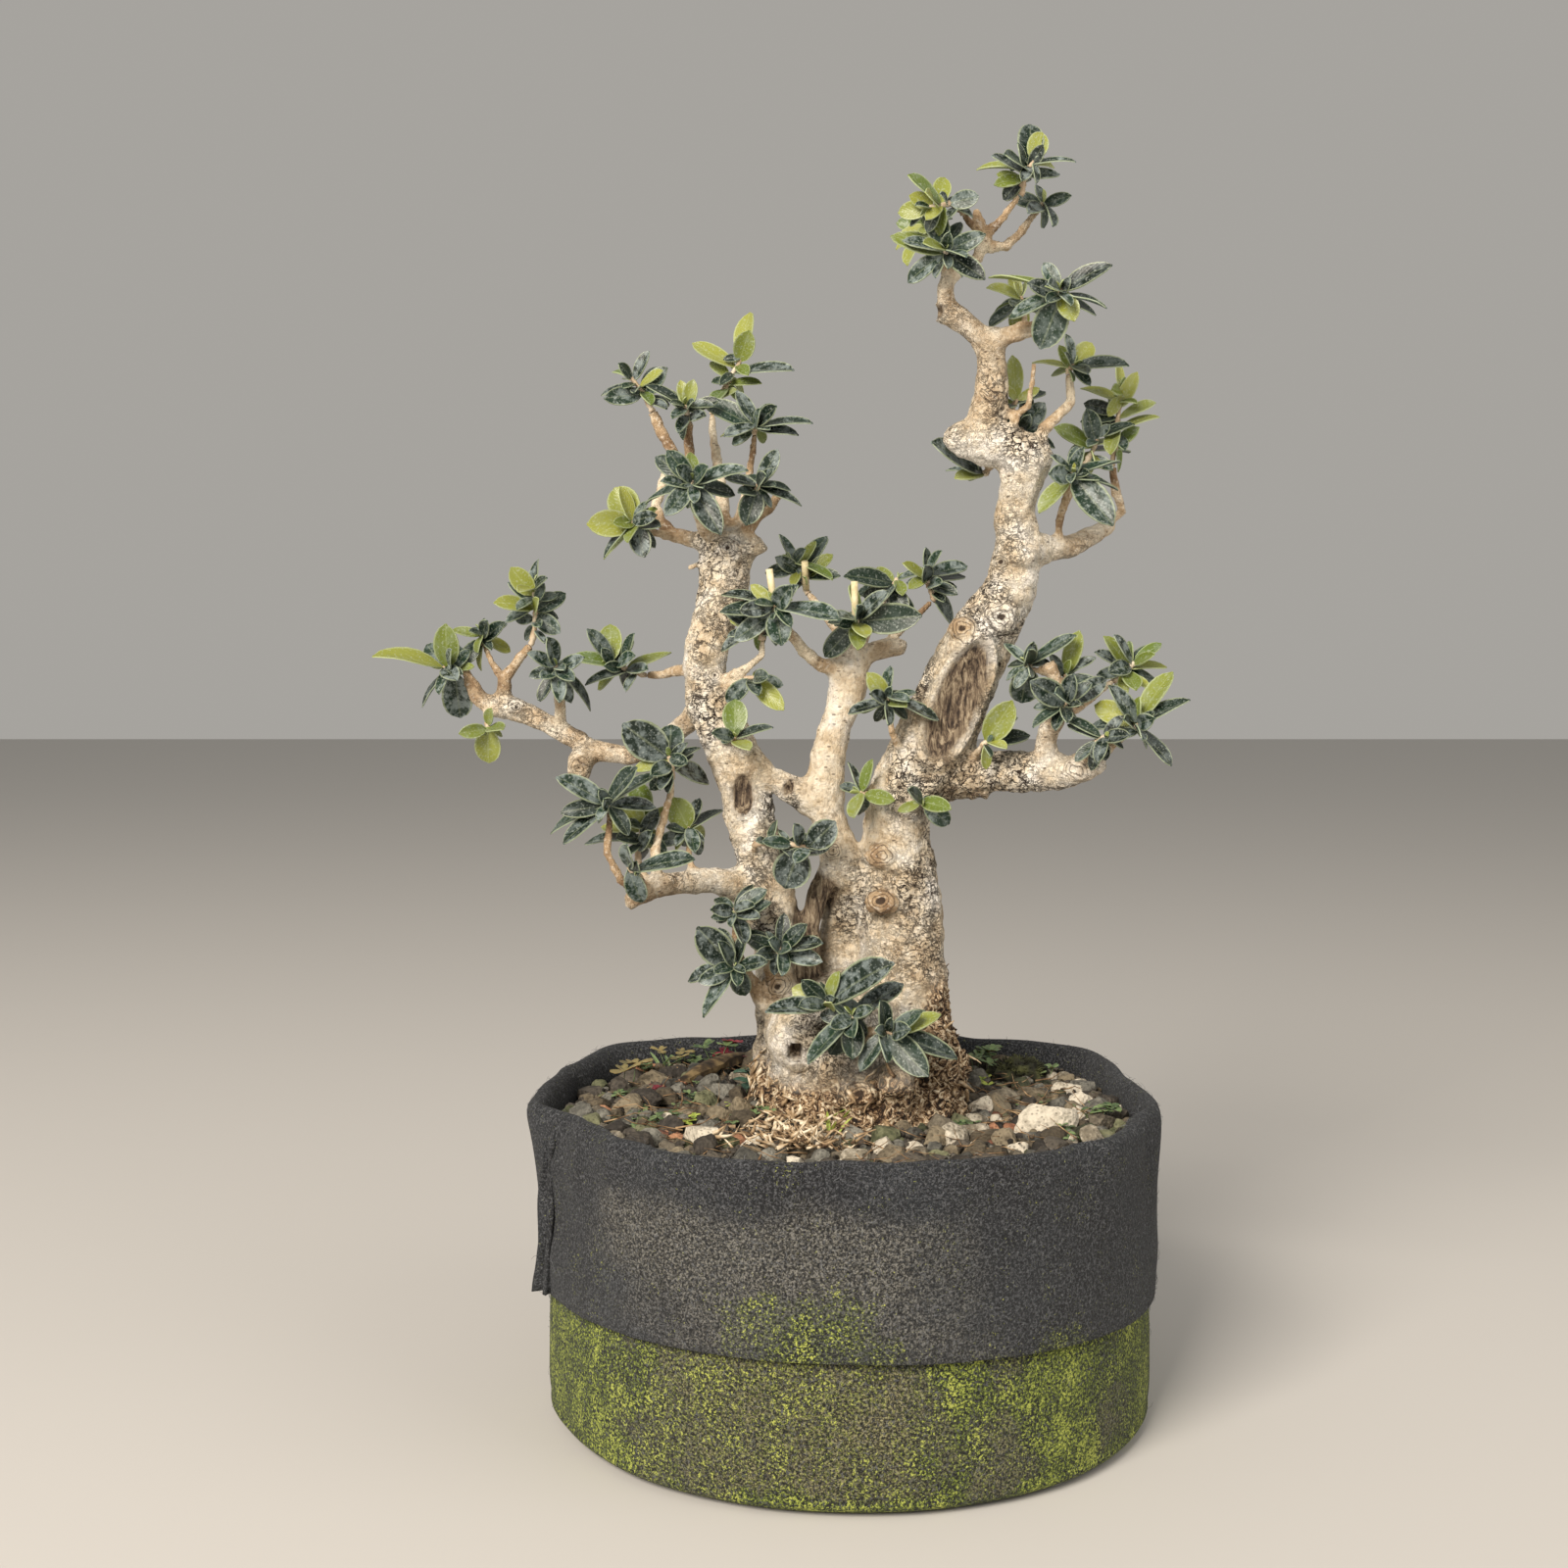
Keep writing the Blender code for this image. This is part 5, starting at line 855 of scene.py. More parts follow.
def wood_under(places, normals):
    """Thickness of the wood below each corner in metres, along a ray through to its other side"""
    found = np.full(len(places), 60 * MM)
    for index, (place, normal) in enumerate(zip(places, normals)):
        inward = Vector(-normal)
        hit = wood_faces.ray_cast(Vector(place) + inward * 0.3 * MM, inward, 80 * MM)
        if hit[3] is not None:
            found[index] = hit[3]
    return found


thickness = neighbour_mean(wood_under(skin, outward), 12)
thick = step(4.5 * MM, 12 * MM, thickness)
old = step(7 * MM, 20 * MM, thickness)
soft = neighbour_mean(skin, 9)
skin = skin + (soft - skin) * thick[:, None]
set_places(tree, skin)
outward = normals_of(tree)
print("wood under the skin from", round(thickness.min() / MM, 1), "to", round(thickness.max() / MM, 1), "mm")

# %% [markdown]
# ## Scars, hollows and bark in relief
#
# Each healed cut is a low dome with rings round it and a pit in its middle. It is listed with its bough,
# its place and its radius, as are the hollows where bark rolls in over dead wood. The relief is added
# in millimetres:
#
# - broad lumps on thick wood
# - cracks between plates of bark, 5 to 8 mm across, where the wood is oldest
# - round swellings over old cuts, most of them at the stump's foot
# - strands at the stump's foot, where roots have grown together

# %% Relief of the bark
STUMP_CENTRE = Vector((6, -3, 0)) * MM
# Bough, x, height, depth and radius in mm of healed cuts
SCARS = [
    ("right", 61, 323, -9, 6.5), ("right", 46, 319, -11.5, 5.2), ("right", 13, 226, -14.5, 4.6),
    ("right", 13, 207, -16.5, 6.2), ("right", 61, 304, -13, 3.2), ("right", 61, 346, -6, 3.4),
    ("left", -38, 208, -12, 4.6), ("left", -30, 172, -10, 5), ("stump", 4, 127, -42, 5.6),
    ("far", -136, 287, 3, 3.4), ("side", 93, 261, -23, 4.4), ("side", 53, 249, -9, 4.2),
    ("left", -50, 352, -10, 4), ("left", -55, 300, -9, 3), ("far", -110.5, 262, -3, 4),
    ("bridge", -7, 228, -10, 3.4), ("right", 40, 243, -12, 3),
]
# Bough, x, height, depth, radius and rise in mm of round swellings
KNOBS = [("stump", -20, 150, -36, 24, 4.5), ("stump", 18, 132, -40, 9, 5), ("stump", 5, 127, -40, 11, 2),
         ("stump", -32, 172, -24, 12, 3), ("right", 61, 362, -8, 11, 2.2), ("right", 30, 258, -12, 14, 2)]
# Bough, x, height, depth, half width, half height and half depth in mm, and lean in degrees
HOLLOWS = [
    ("right", 44, 289, -17, 10, 24, 7.5, 24), ("left", -44, 251, -13, 4.5, 8, 4.5, 0),
    ("stump", -22, 146, -40, 2.6, 3.2, 9, 0), ("bridge", -25, 254, -13.5, 2.2, 3.2, 4, 20),
    ("crown", 35, 446, -10.5, 2, 2.6, 5, 0),
]
# Dead strand in the slit between the stems: x, height and depth in mm
DEAD_STRAND = [(-14, 160, -2), (-17, 180, -3), (-16.5, 197, -3), (-13, 211, -1)]
# Height to which roots have grown together, and how much higher they reach at the right
ROOT_TOP = 145 * MM
ROOT_RISE = 34 * MM


def on_wood(bough, x, height, depth):
    """The spot of the wood that shows at that place of the photograph, if one is near the place given"""
    place = seen(bough, x, height, depth)
    way = (place - EYE * MM).normalized()
    hit = wood_faces.ray_cast(EYE * MM, way)[0]
    return np.array(hit if hit and (hit - place).length < 30 * MM else place)


scarred, dead, painted_lip_shadow = np.zeros((3, len(skin)))
relief = 1.3 * cloud(skin, 13 * MM) * old + 0.6 * cloud(skin, 5 * MM, 7) * thick
relief += 0.5 * cloud(skin, 2.7 * MM, 17) * thick
root_top = ROOT_TOP + ROOT_RISE * step(22 * MM, 36 * MM, skin[:, 0])
rooty = step(9 * MM, -9 * MM, skin[:, 2] - root_top + 9 * MM * cloud(skin, 16 * MM, 3))
scar_reach = np.full(len(skin), 2.0)

# Swellings are low domes
for bough, x, height, depth, radius, rise in KNOBS:
    off = skin - on_wood(bough, x, height, depth)
    reach = np.linalg.norm(off * [1, 0.6, 1], axis=1) / (radius * MM)
    dome = np.clip(1 - reach ** 2, 0, 1) ** 1.5 * (outward[:, 1] < 0.4)
    relief += rise * dome
    if radius > 20:
        rooty *= 1 - step(1.0, 0.6, reach)

# A healed cut has a raised rim and a pit
for bough, x, height, depth, radius in SCARS:
    off = skin - on_wood(bough, x, height, depth)
    near = (np.abs(off[:, 1]) < 2.2 * radius * MM) & (outward[:, 1] < 0.3)
    reach = np.hypot(off[:, 0], off[:, 2] * 1.12) / (radius * MM) + 0.32 * cloud(skin, 0.7 * radius * MM, x)
    inside = step(1.35, 0.95, reach) * near
    rim = np.exp(-((reach - 0.8) / 0.2) ** 2)
    pit = np.exp(-(reach / 0.3) ** 2)
    relief = relief * (1 - 0.6 * inside) + inside * (0.9 * rim - 1.5 * pit) * min(1, radius / 5)
    scar_reach = np.where(near, np.minimum(scar_reach, np.abs(reach)), scar_reach)
    scarred = np.maximum(scarred, inside)

# A hollow has a lip of bark, and its dead wood has a long grain
for bough, x, height, depth, width, tall, deep, lean in HOLLOWS:
    turn = Matrix.Rotation(math.radians(-lean), 3, "Y")
    centre = on_wood(bough, x, height, depth) if width < 4 else np.array(seen(bough, x, height, depth))
    off = (skin - centre) @ np.array(turn).T
    reach = np.sqrt((off[:, 0] / width) ** 2 + (off[:, 1] / deep) ** 2 + (off[:, 2] / tall) ** 2) / MM
    inside = step(1.14, 1.02, reach)
    lip = np.exp(-((reach - 1.21) / 0.12) ** 2)
    grain = cloud(off, 2.6 * MM, 5, (1, 1, 7))
    relief = relief * (1 - inside) + 2.8 * lip * min(1, width / 7) + inside * 0.35 * grain
    if width < 4:
        relief -= 3.2 * step(1.0, 0.4, reach)
    dead = np.maximum(dead, inside)
    # A thin dark line just inside the lip is painted shadow, kept with the cracks
    painted_lip_shadow = np.maximum(painted_lip_shadow, np.exp(-((reach - 1.1) / 0.07) ** 2))

strand = [np.array(seen("slit", *point)) for point in DEAD_STRAND]
for start, end in zip(strand, strand[1:]):
    share = np.clip((skin - start) @ (end - start) / ((end - start) @ (end - start)), 0, 1)
    gap = np.linalg.norm(skin - start - share[:, None] * (end - start), axis=1)
    dead = np.maximum(dead, step(10 * MM, 8 * MM, gap))
relief += dead * 0.5 * cloud(skin, 2.2 * MM, 9, (1, 1, 8))

# Cracks run where two cells of a pattern meet, so plates stand between them
plates = []
for place in skin * [1, 1, 0.85]:
    place = Vector(place)
    near = noise.voronoi(place / (6.8 * MM) + 0.4 * noise.noise_vector(place / (4 * MM)))[0]
    plates.append(near[1] - near[0])
roughest = step(-0.18, 0.36, cloud(skin, 24 * MM, 21))
# The middle stem is smooth between these heights
smooth_stem = step(19 * MM, 15 * MM, np.abs(skin[:, 0] + 3 * MM)) * step(222 * MM, 232 * MM, skin[:, 2])
smooth_stem *= step(318 * MM, 305 * MM, skin[:, 2])
roughest *= 1 - 0.9 * smooth_stem
platy = step(4 * MM, 13 * MM, thickness) * (0.22 + 0.78 * roughest) * (1 - 0.75 * smooth_stem)
platy *= (1 - dead) * (1 - rooty) * (1 - 0.35 * scarred)
cracked = step(0.13, 0.03, np.array(plates)) * platy * roughest * old
relief -= 0.8 * cracked

# Root strands run up the foot, and fibres cross them
around = np.arctan2(skin[:, 1] - STUMP_CENTRE.y, skin[:, 0] - STUMP_CENTRE.x)
flutes = cloud(np.column_stack([np.cos(around), np.sin(around), 4 * skin[:, 2]]), 0.24, 3)
fibres = 1 - 3.2 * np.abs(cloud(skin, 5 * MM, 2, (1, 1, 1.6))) + 1.2 * cloud(skin, 8 * MM, 4)
fibres += 0.9 - 3 * np.abs(cloud(skin, 2.8 * MM, 11, (1, 1, 1.3)))
relief = relief + rooty * (1 - dead) * (1 - 0.6 * scarred) * (1.3 * fibres + 2.2 * flutes)

# Twigs are only a little knobby
knobby = 0.75 * cloud(skin, 4.2 * MM, 31) * (1 - thick) * step(2.2 * MM, 4 * MM, thickness)
set_places(tree, skin + outward * ((relief * np.maximum(thick, 0.12) + knobby) * MM)[:, None])
# The cracked attribute holds the cracks and the painted shadow line inside each hollow's lip
kept = {"cracked": np.maximum(cracked, 0.8 * painted_lip_shadow), "platy": platy, "scar_reach": scar_reach / 2,
        "dead": dead, "rooty": rooty, "young": 1 - step(4 * MM, 14 * MM, thickness)}
for name, values in kept.items():
    store(tree, name, values)
print("relief from", round(relief.min(), 2), "to", round(relief.max(), 2), "mm")

# %% [markdown]
# ## Olive bark
#
# Old olive bark is pale cream to tan, matt, with fine dark cracks and rusty flecks. Thin wood is smooth
# and more orange. The stump's foot is red-brown and fibrous. The open dead wood is grey-brown with a
# long grain. The attributes say where each is, and noise at real sizes gives each its own colour. Cracks
# too thin for the mesh are drawn by the material, where two plates of a cell pattern meet.

# %% Bark material


def bark_material():
    """Bark, root fibres and dead wood in one material, laid over each other by the skin's attributes"""
    bark, shader = new_material("olive_bark", Roughness=0.85)
    spot = add(bark, "TexCoord", give="Object")
    shares = {}
    for name in kept:
        shares[name] = add(bark, "Attribute", attribute_name=name, give="Fac")
    broad = add(bark, "TexNoise", {"Vector": spot, "Scale": 48.0, "Detail": 7.0, "Roughness": 0.68})
    pale = add(bark, "ValToRGB", {"Fac": broad},
               stops=[(0.3, "#ae977b"), (0.41, "#d6c3a5"), (0.5, "#eee2cc"), (0.6, "#fdf8ee")])
    young = add(bark, "ValToRGB", {"Fac": broad},
                stops=[(0.36, "#84694d"), (0.48, "#bfa583"), (0.6, "#ecdfc6")])
    stain = add(bark, "TexNoise", {"Vector": spot, "Scale": 130.0, "Detail": 5.0, "Roughness": 0.7})
    rusty = add(bark, "ValToRGB", {"Fac": stain}, stops=[(0.5, "#000000"), (0.7, "#8a8a8a")])

    # Plates of bark 5 mm wide, their edges bent by noise, and finer cracks that wander over them
    bent = add(bark, "TexNoise", {"Vector": spot, "Scale": 240.0, "Detail": 4.0, "Roughness": 0.6},
               give="Color")
    shift = add(bark, "VectorMath", {0: bent, "Scale": 9 * MM}, operation="SCALE")
    moved = add(bark, "VectorMath", {0: spot, 1: shift}, operation="ADD")
    cells = add(bark, "TexVoronoi", {"Vector": moved, "Scale": 190.0}, feature="DISTANCE_TO_EDGE")
    broken = add(bark, "Math", {0: stain, 1: 0.34, 2: cells}, operation="MULTIPLY_ADD")
    edges_drawn = add(bark, "ValToRGB", {"Fac": broken}, stops=[(0.17, "#ffffff"), (0.215, "#000000")])
    winding = add(bark, "TexNoise", {"Vector": spot, "Scale": 170.0, "Detail": 6.0, "Roughness": 0.62,
                                     "Distortion": 0.8})
    centred = add(bark, "Math", {0: winding, 1: 0.5}, operation="SUBTRACT")
    ridge = add(bark, "Math", {0: centred}, operation="ABSOLUTE")
    thin = add(bark, "ValToRGB", {"Fac": ridge}, stops=[(0.006, "#ffffff"), (0.018, "#000000")])
    gaps = add(bark, "ValToRGB", {"Fac": stain}, stops=[(0.36, "#303030"), (0.5, "#ffffff")])
    fine = add(bark, "Math", {0: thin, 1: gaps}, operation="MULTIPLY")
    flat_spot = add(bark, "Mapping", {"Vector": spot, "Scale": (1.0, 1.0, 3.2)})
    wrinkle = add(bark, "TexNoise", {"Vector": flat_spot, "Scale": 95.0, "Detail": 5.0, "Roughness": 0.6,
                                     "Distortion": 0.5})
    off_wrinkle = add(bark, "Math", {0: wrinkle, 1: 0.46}, operation="SUBTRACT")
    fold = add(bark, "Math", {0: off_wrinkle}, operation="ABSOLUTE")
    wrinkled = add(bark, "ValToRGB", {"Fac": fold}, stops=[(0.005, "#f8f8f8"), (0.014, "#000000")])
    lines = add(bark, "Math", {0: edges_drawn, 1: fine}, operation="MAXIMUM")
    both = add(bark, "Math", {0: lines, 1: wrinkled}, operation="MAXIMUM")
    crack = add(bark, "Math", {0: both, 1: shares["platy"]}, operation="MULTIPLY")

    # Everywhere the bark is grainy, a millimetre wide: painted shade in its pits and painted highlights on
    # its raised grains, from the noise that also raises the bump
    grainy = add(bark, "TexNoise", {"Vector": spot, "Scale": 600.0, "Detail": 3.0, "Roughness": 0.6})
    pit_shade = add(bark, "ValToRGB", {"Fac": grainy}, stops=[(0.37, "#a0a0a0"), (0.44, "#000000")])
    crumbs = add(bark, "ValToRGB", {"Fac": grainy}, stops=[(0.56, "#000000"), (0.66, "#b0b0b0")])

    # Smooth bark has small dark pores, a little wider than tall, 5 mm apart
    wide_spot = add(bark, "Mapping", {"Vector": spot, "Scale": (0.7, 0.7, 1.5)})
    dots = add(bark, "TexVoronoi", {"Vector": wide_spot, "Scale": 230.0})
    pores = add(bark, "ValToRGB", {"Fac": dots}, stops=[(0.1, "#d8d8d8"), (0.17, "#000000")])

    # Rings of an old cut, drawn by the distance from its middle
    wobble = add(bark, "Math", {0: stain, 1: 0.3, 2: shares["scar_reach"]}, operation="MULTIPLY_ADD")
    rings = add(bark, "ValToRGB", {"Fac": wobble},
                stops=[(0.26, "#fafafa"), (0.3, "#101010"), (0.37, "#101010"), (0.4, "#f0f0f0"),
                       (0.44, "#0a0a0a"), (0.53, "#0a0a0a"), (0.57, "#f0f0f0"), (0.61, "#060606"),
                       (0.7, "#060606"), (0.74, "#b8b8b8"), (0.78, "#000000")])

    # Root fibres and dead wood have a grain, so their noise is drawn out in height
    grain_spot = add(bark, "Mapping", {"Vector": spot, "Scale": (1.0, 1.0, 0.2)})
    grain = add(bark, "TexNoise", {"Vector": grain_spot, "Scale": 620.0, "Detail": 6.0, "Roughness": 0.7,
                                   "Distortion": 0.6})
    shred = add(bark, "TexNoise", {"Vector": spot, "Scale": 230.0, "Detail": 8.0, "Roughness": 0.72,
                                   "Distortion": 2.2})
    # Root fibres: straw and brown, with painted shade in the low grooves and painted light on the high tips
    # of the noise that also raises the bump
    root_fibres_and_groove_shade = add(bark, "ValToRGB", {"Fac": shred},
                stops=[(0.43, "#1a1009"), (0.48, "#5c432e"), (0.53, "#b0916c"), (0.6, "#efe2c6")])
    bare = add(bark, "ValToRGB", {"Fac": grain},
               stops=[(0.39, "#2c221b"), (0.46, "#594a3c"), (0.54, "#84745f"), (0.64, "#b0a189")])
    # The cracked share darkens the cracks and, as painted shadow, the thin line inside each hollow's lip
    deep = add(bark, "Math", {0: shares["cracked"], 1: 0.42}, operation="MULTIPLY")
    colour = pale
    # Pale crumbs are painted highlights and dark pits are painted shade, both from the grainy noise
    for share, above in ((shares["young"], young), (rusty, "#a5835f"), (crumbs, "#f6eedf"),
                         (pit_shade, "#6b543e"), (pores, "#54402f"), (crack, "#23160d"),
                         (deep, "#4a3727"), (shares["rooty"], root_fibres_and_groove_shade),
                         (shares["dead"], bare), (rings, "#38281c")):
        colour = add(bark, "Mix", {0: share, 6: colour, 7: above}, data_type="RGBA")

    both_grains = add(bark, "Math", {0: shred, 1: grain}, operation="ADD")
    ground = add(bark, "Math", {0: both_grains, 1: grainy}, operation="ADD")
    height = add(bark, "Math", {0: crack, 1: -1.3, 2: ground}, operation="MULTIPLY_ADD")
    bump = add(bark, "Bump", {"Height": height, "Strength": 1.0, "Distance": 1.1 * MM})
    set_inputs(bark, shader, {"Base Color": colour, "Normal": bump})
    return bark


coat(tree, bark_material())
select_only(tree)
bpy.ops.object.shade_smooth()
finish_piece(tree, ["trunk"])

# %% [markdown]
# ## The felt bag
#
# The pot is a grow bag of thick needled felt: a round base and one wall, sewn at the side, its top third
# turned down outside as a cuff. It is a single cloth, so it is modelled as one: a disc for the base is
# extruded ring by ring up the wall, over the rim and down the cuff, and only then gets its thickness.
# The rim slumps into soft corners, as the solid's does, and the cuff hangs a little off the wall, with
# shallow folds.

# %% Felt wall
BAG_TURNS = 120
BAG_HEIGHT = 130 * MM
BAG_FLATNESS = 0.96
RIM_RADIUS = 112.2 * MM
FELT = 2.4 * MM
HEM_HEIGHT = 48.5 * MM
# Middle of the cloth from the base to the hem, radius and height in mm
CLOTH = [
    (60, 1.5), (100, 1.5), (112, 1.6), (117, 2.2), (119.6, 3.6), (121.2, 5.2), (120.2, 6.8), (120.6, 9),
    (121.3, 14), (121.1, 22), (121, 31), (120.8, 40), (120.2, 50), (118.6, 60), (116.8, 75), (114.6, 92),
    (112.8, 107), (111, 118), (110.6, 124), (111.4, 127.4), (113.2, 128.6), (115.2, 127.4), (116.6, 123.5),
    (117.4, 116), (118.2, 107), (119, 98), (120, 88), (121.2, 78), (122.4, 70), (122.6, 62), (122.8, 56),
    (122.8, 49.2), (122.8, 48.2)]
# The last rings, those of the hanging cuff
CUFF_RINGS = 12
# Rim as it slumped: direction in degrees and distance from the middle in mm
RIM = [
    (-180, 126), (-170, 126), (-154, 114), (-134, 120), (-113, 119), (-92, 113), (-70, 117), (-47, 122),
    (-21, 120), (10, 119), (38, 135), (69, 123), (111, 123), (139, 136), (160, 127), (180, 126)]
# Upright folds of the cuff: direction, heights where they are deepest and end, and depth in mm
FOLDS = [
    (-48, 128, 92, -3), (-133, 128, 98, -2.4), (-77, 129, 108, -1.6), (-100, 129, 104, 1.4),
    (-22, 128, 84, -2.2), (-152, 128, 80, 2), (60, 128, 90, -2.6), (118, 128, 86, -2.4), (160, 128, 90, 2)]
# Sharper corners of the rim: direction and how far they stand out in mm
CORNERS = [(139, 3.5), (38, 3.5), (-171, 3), (-8, 2), (98, 2), (-60, 1.5)]


def slump(angle, height):
    """How much wider or narrower than round the bag is, in a direction in radians at a height"""
    direction = math.degrees(math.remainder(angle, math.tau))
    for (before, start), (after, end) in zip(RIM, RIM[1:]):
        if direction <= after:
            break
    share = (direction - before) / (after - before)
    reach = start + (end - start) * (3 - 2 * share) * share ** 2
    for corner, pinch in CORNERS:
        reach += pinch * math.exp(-((direction - corner) / 6) ** 2) * (height > 60 * MM)
    softness = 0.1 + 0.9 * (height / BAG_HEIGHT) ** 3
    return 1 + (reach * MM / RIM_RADIUS - 1) * softness


def flatness(height):
    """Depth of the bag from front to back, as a share of its width"""
    return BAG_FLATNESS + (1 - BAG_FLATNESS) * height / BAG_HEIGHT


def slumped(place):
    """A place on the round bag, moved to where it is on the slumped one"""
    factor = slump(math.atan2(place.y, place.x), place.z)
    return Vector((place.x * factor, place.y * factor * flatness(place.z), place.z))


def hem_lift(angle):
    """The cuff was turned down less far at the front than at the sides"""
    front = max(0.0, -math.sin(angle))
    return (8.5 * front ** 0.75 + 1.5 - 1.5 * math.cos(angle)) * MM


def round_noise(angle, lumps, height):
    """Smooth noise that closes on itself round the bag"""
    return noise.noise(Vector((lumps * math.cos(angle), lumps * math.sin(angle), height)))


def ring_loft(name, rings, turns):
    """A disc extruded through rings of radius and height in mm"""
    first = rings[0]
    bpy.ops.mesh.primitive_circle_add(vertices=turns, radius=first[0] * MM, fill_type="TRIFAN",
                                      location=(0, 0, first[1] * MM))
    loft = bpy.context.object
    loft.name = name
    bpy.ops.object.transform_apply(location=True, rotation=False, scale=False)
    bpy.ops.object.mode_set(mode="EDIT")
    bpy.ops.mesh.select_mode(type="EDGE")
    bpy.ops.mesh.select_all(action="DESELECT")
    bpy.ops.mesh.select_non_manifold()
    for (radius, height), (wider, higher) in zip(rings, rings[1:]):
        bpy.ops.mesh.extrude_edges_move(TRANSFORM_OT_translate={"value": (0, 0, (higher - height) * MM)})
        grown = wider / radius
        bpy.ops.transform.resize(value=(grown, grown, 1), center_override=(0, 0, 0))
    bpy.ops.object.mode_set(mode="OBJECT")
    return loft


bag = ring_loft("felt_wall", CLOTH, BAG_TURNS)
for corner in bag.data.vertices:
    place = corner.co
    angle = math.atan2(place.y, place.x)
    radius = math.hypot(place.x, place.y)
    cuff = radius > 117 * MM and place.z > 47 * MM and (radius > 121.8 * MM or place.z > 85 * MM)
    if cuff:
        low = max(0.0, 1 - (place.z - HEM_HEIGHT) / (70 * MM))
        place.z += hem_lift(angle) * low ** 0.7
    folds = round_noise(angle, 3.1, place.z / (60 * MM))
    ripple = round_noise(angle, 7, 5 + place.z / (25 * MM))
    crease = round_noise(angle, 11, place.z / (90 * MM))
    pull = max(0.0, place.z / BAG_HEIGHT) ** 3
    push = (1.2 * folds + 0.6 * ripple + 1.1 * pull * crease) * MM * (1.0 if cuff else 0.45)
    for direction, high, low, deep in FOLDS:
        off = math.degrees(math.remainder(angle - math.radians(direction), math.tau))
        share = min(1.0, max(0.0, (place.z / MM - low) / (high - low)))
        if cuff or place.z > 112 * MM:
            push += deep * MM * share * (math.exp(-(off / 3.2) ** 2) - 0.6 * math.exp(-((off - 7) / 4) ** 2))
    if radius > 80 * MM:
        place.x *= 1 + push / radius
        place.y *= 1 + push / radius
    if place.z > 120 * MM:
        place.z += 0.9 * MM * round_noise(angle, 5, 9)
    corner.co = slumped(place)
store(bag, "cuff", np.arange(len(bag.data.vertices)) >= len(bag.data.vertices) - CUFF_RINGS * BAG_TURNS)
modify(bag, "SOLIDIFY", thickness=FELT, offset=0)
modify(bag, "SUBSURF", levels=1, render_levels=1)

# %% [markdown]
# ## The sewn edge
#
# Where the strip's two ends were sewn together, their edges stand out at the left of the cuff as two
# thin layers with a dark gap between. Each is a small grid, laid out from the cuff and waved a little,
# longer at the hem than at the rim.

# %% Seam allowance
SEAM = math.radians(197)
# Height, distance of the cuff from the middle and how far the edges stand out, in mm
SEAM_ROWS = [
    (126, 113, 3.5), (116, 117, 4), (106, 118.5, 5), (88, 120.5, 5.5), (73, 122.5, 6.5), (57, 123.5, 8)]
outward_way = Vector((math.cos(SEAM), math.sin(SEAM), 0))
beside_way = Vector((-math.sin(SEAM), math.cos(SEAM), 0))
seam_layers = []
for side in (-1, 1):
    bpy.ops.mesh.primitive_grid_add(x_subdivisions=4, y_subdivisions=len(SEAM_ROWS) * 4, size=1)
    strip = bpy.context.object
    strip.name = "seam_allowance"
    for corner in strip.data.vertices:
        out_share, row = corner.co.x + 0.5, (corner.co.y + 0.5) * (len(SEAM_ROWS) - 1)
        before = min(int(row), len(SEAM_ROWS) - 2)
        first, second = SEAM_ROWS[before], SEAM_ROWS[before + 1]
        height, radius, length = (a + (b - a) * (row - before) for a, b in zip(first, second))
        base = slumped(outward_way * radius * MM + Vector((0, 0, height * MM)))
        wave = 2.2 * math.sin(row * 2.1 + side) * out_share + 0.7 * noise.noise(Vector((row * 2, side, 3)))
        flare = side * (1.9 + 3.0 * out_share ** 2 * (0.3 + 0.7 * math.sin(row * 1.7) ** 2))
        length *= 0.55 if side == 1 else 1
        place = base + outward_way * (length * out_share - 1.5) * MM + beside_way * (flare + wave) * MM
        corner.co = place + Vector((0, 0, -1.5 * MM * out_share))
    store(strip, "cuff", 1)
    modify(strip, "SOLIDIFY", thickness=1.9 * MM, offset=0)
    seam_layers.append(strip)
bag = join("felt_wall", [bag, *seam_layers])
print("the cloth has", len(bag.data.polygons), "faces")

# %% [markdown]
# ## Algae on the felt
#
# Felt stays damp, so its lower wall is green with algae in upright bands, lime green at the left edge and
# to the right of the middle, grey-brown with yellow-green flecks between them. A patch of it has crept
# up on the cuff. The bands are given by their direction round the bag and their heights, and kept as
# attributes. The material breaks them up into grains a millimetre wide.

# %% Where algae and damp are
# From and to direction in degrees from the front, low and high in mm, and strength
ALGAE = [
    (-96, -42, 0, 80, 0.85), (-42, -26, 0, 30, 0.6), (-18, -2, 48, 78, 0.5), (-25, 4, 46, 86, 0.4),
    (-96, 96, 0, 80, 0.42), (-30, 12, 0, 80, 0.42), (12, 23, 0, 80, 0.9), (28, 48, 0, 80, 1.0),
    (20, 44, 46, 66, 0.3), (50, 96, 0, 80, 0.85), (100, 150, 0, 80, 0.65), (158, 200, 0, 40, 0.5),
    (-150, -100, 0, 80, 0.75), (-30, 44, 0, 9, 0.85)]
# The same for damp, which has soil dust in it
DAMP = [(-36, 12, 0, 80, 1.0), (-90, 90, 0, 80, 0.75), (-40, 16, 62, 92, 0.62), (-50, 14, 84, 110, 0.8),
        (-30, 26, 46, 70, 0.3), (120, 240, 0, 80, 0.7)]
# Patches that begin lower are on the wall, the others on the cuff
ON_WALL = 20


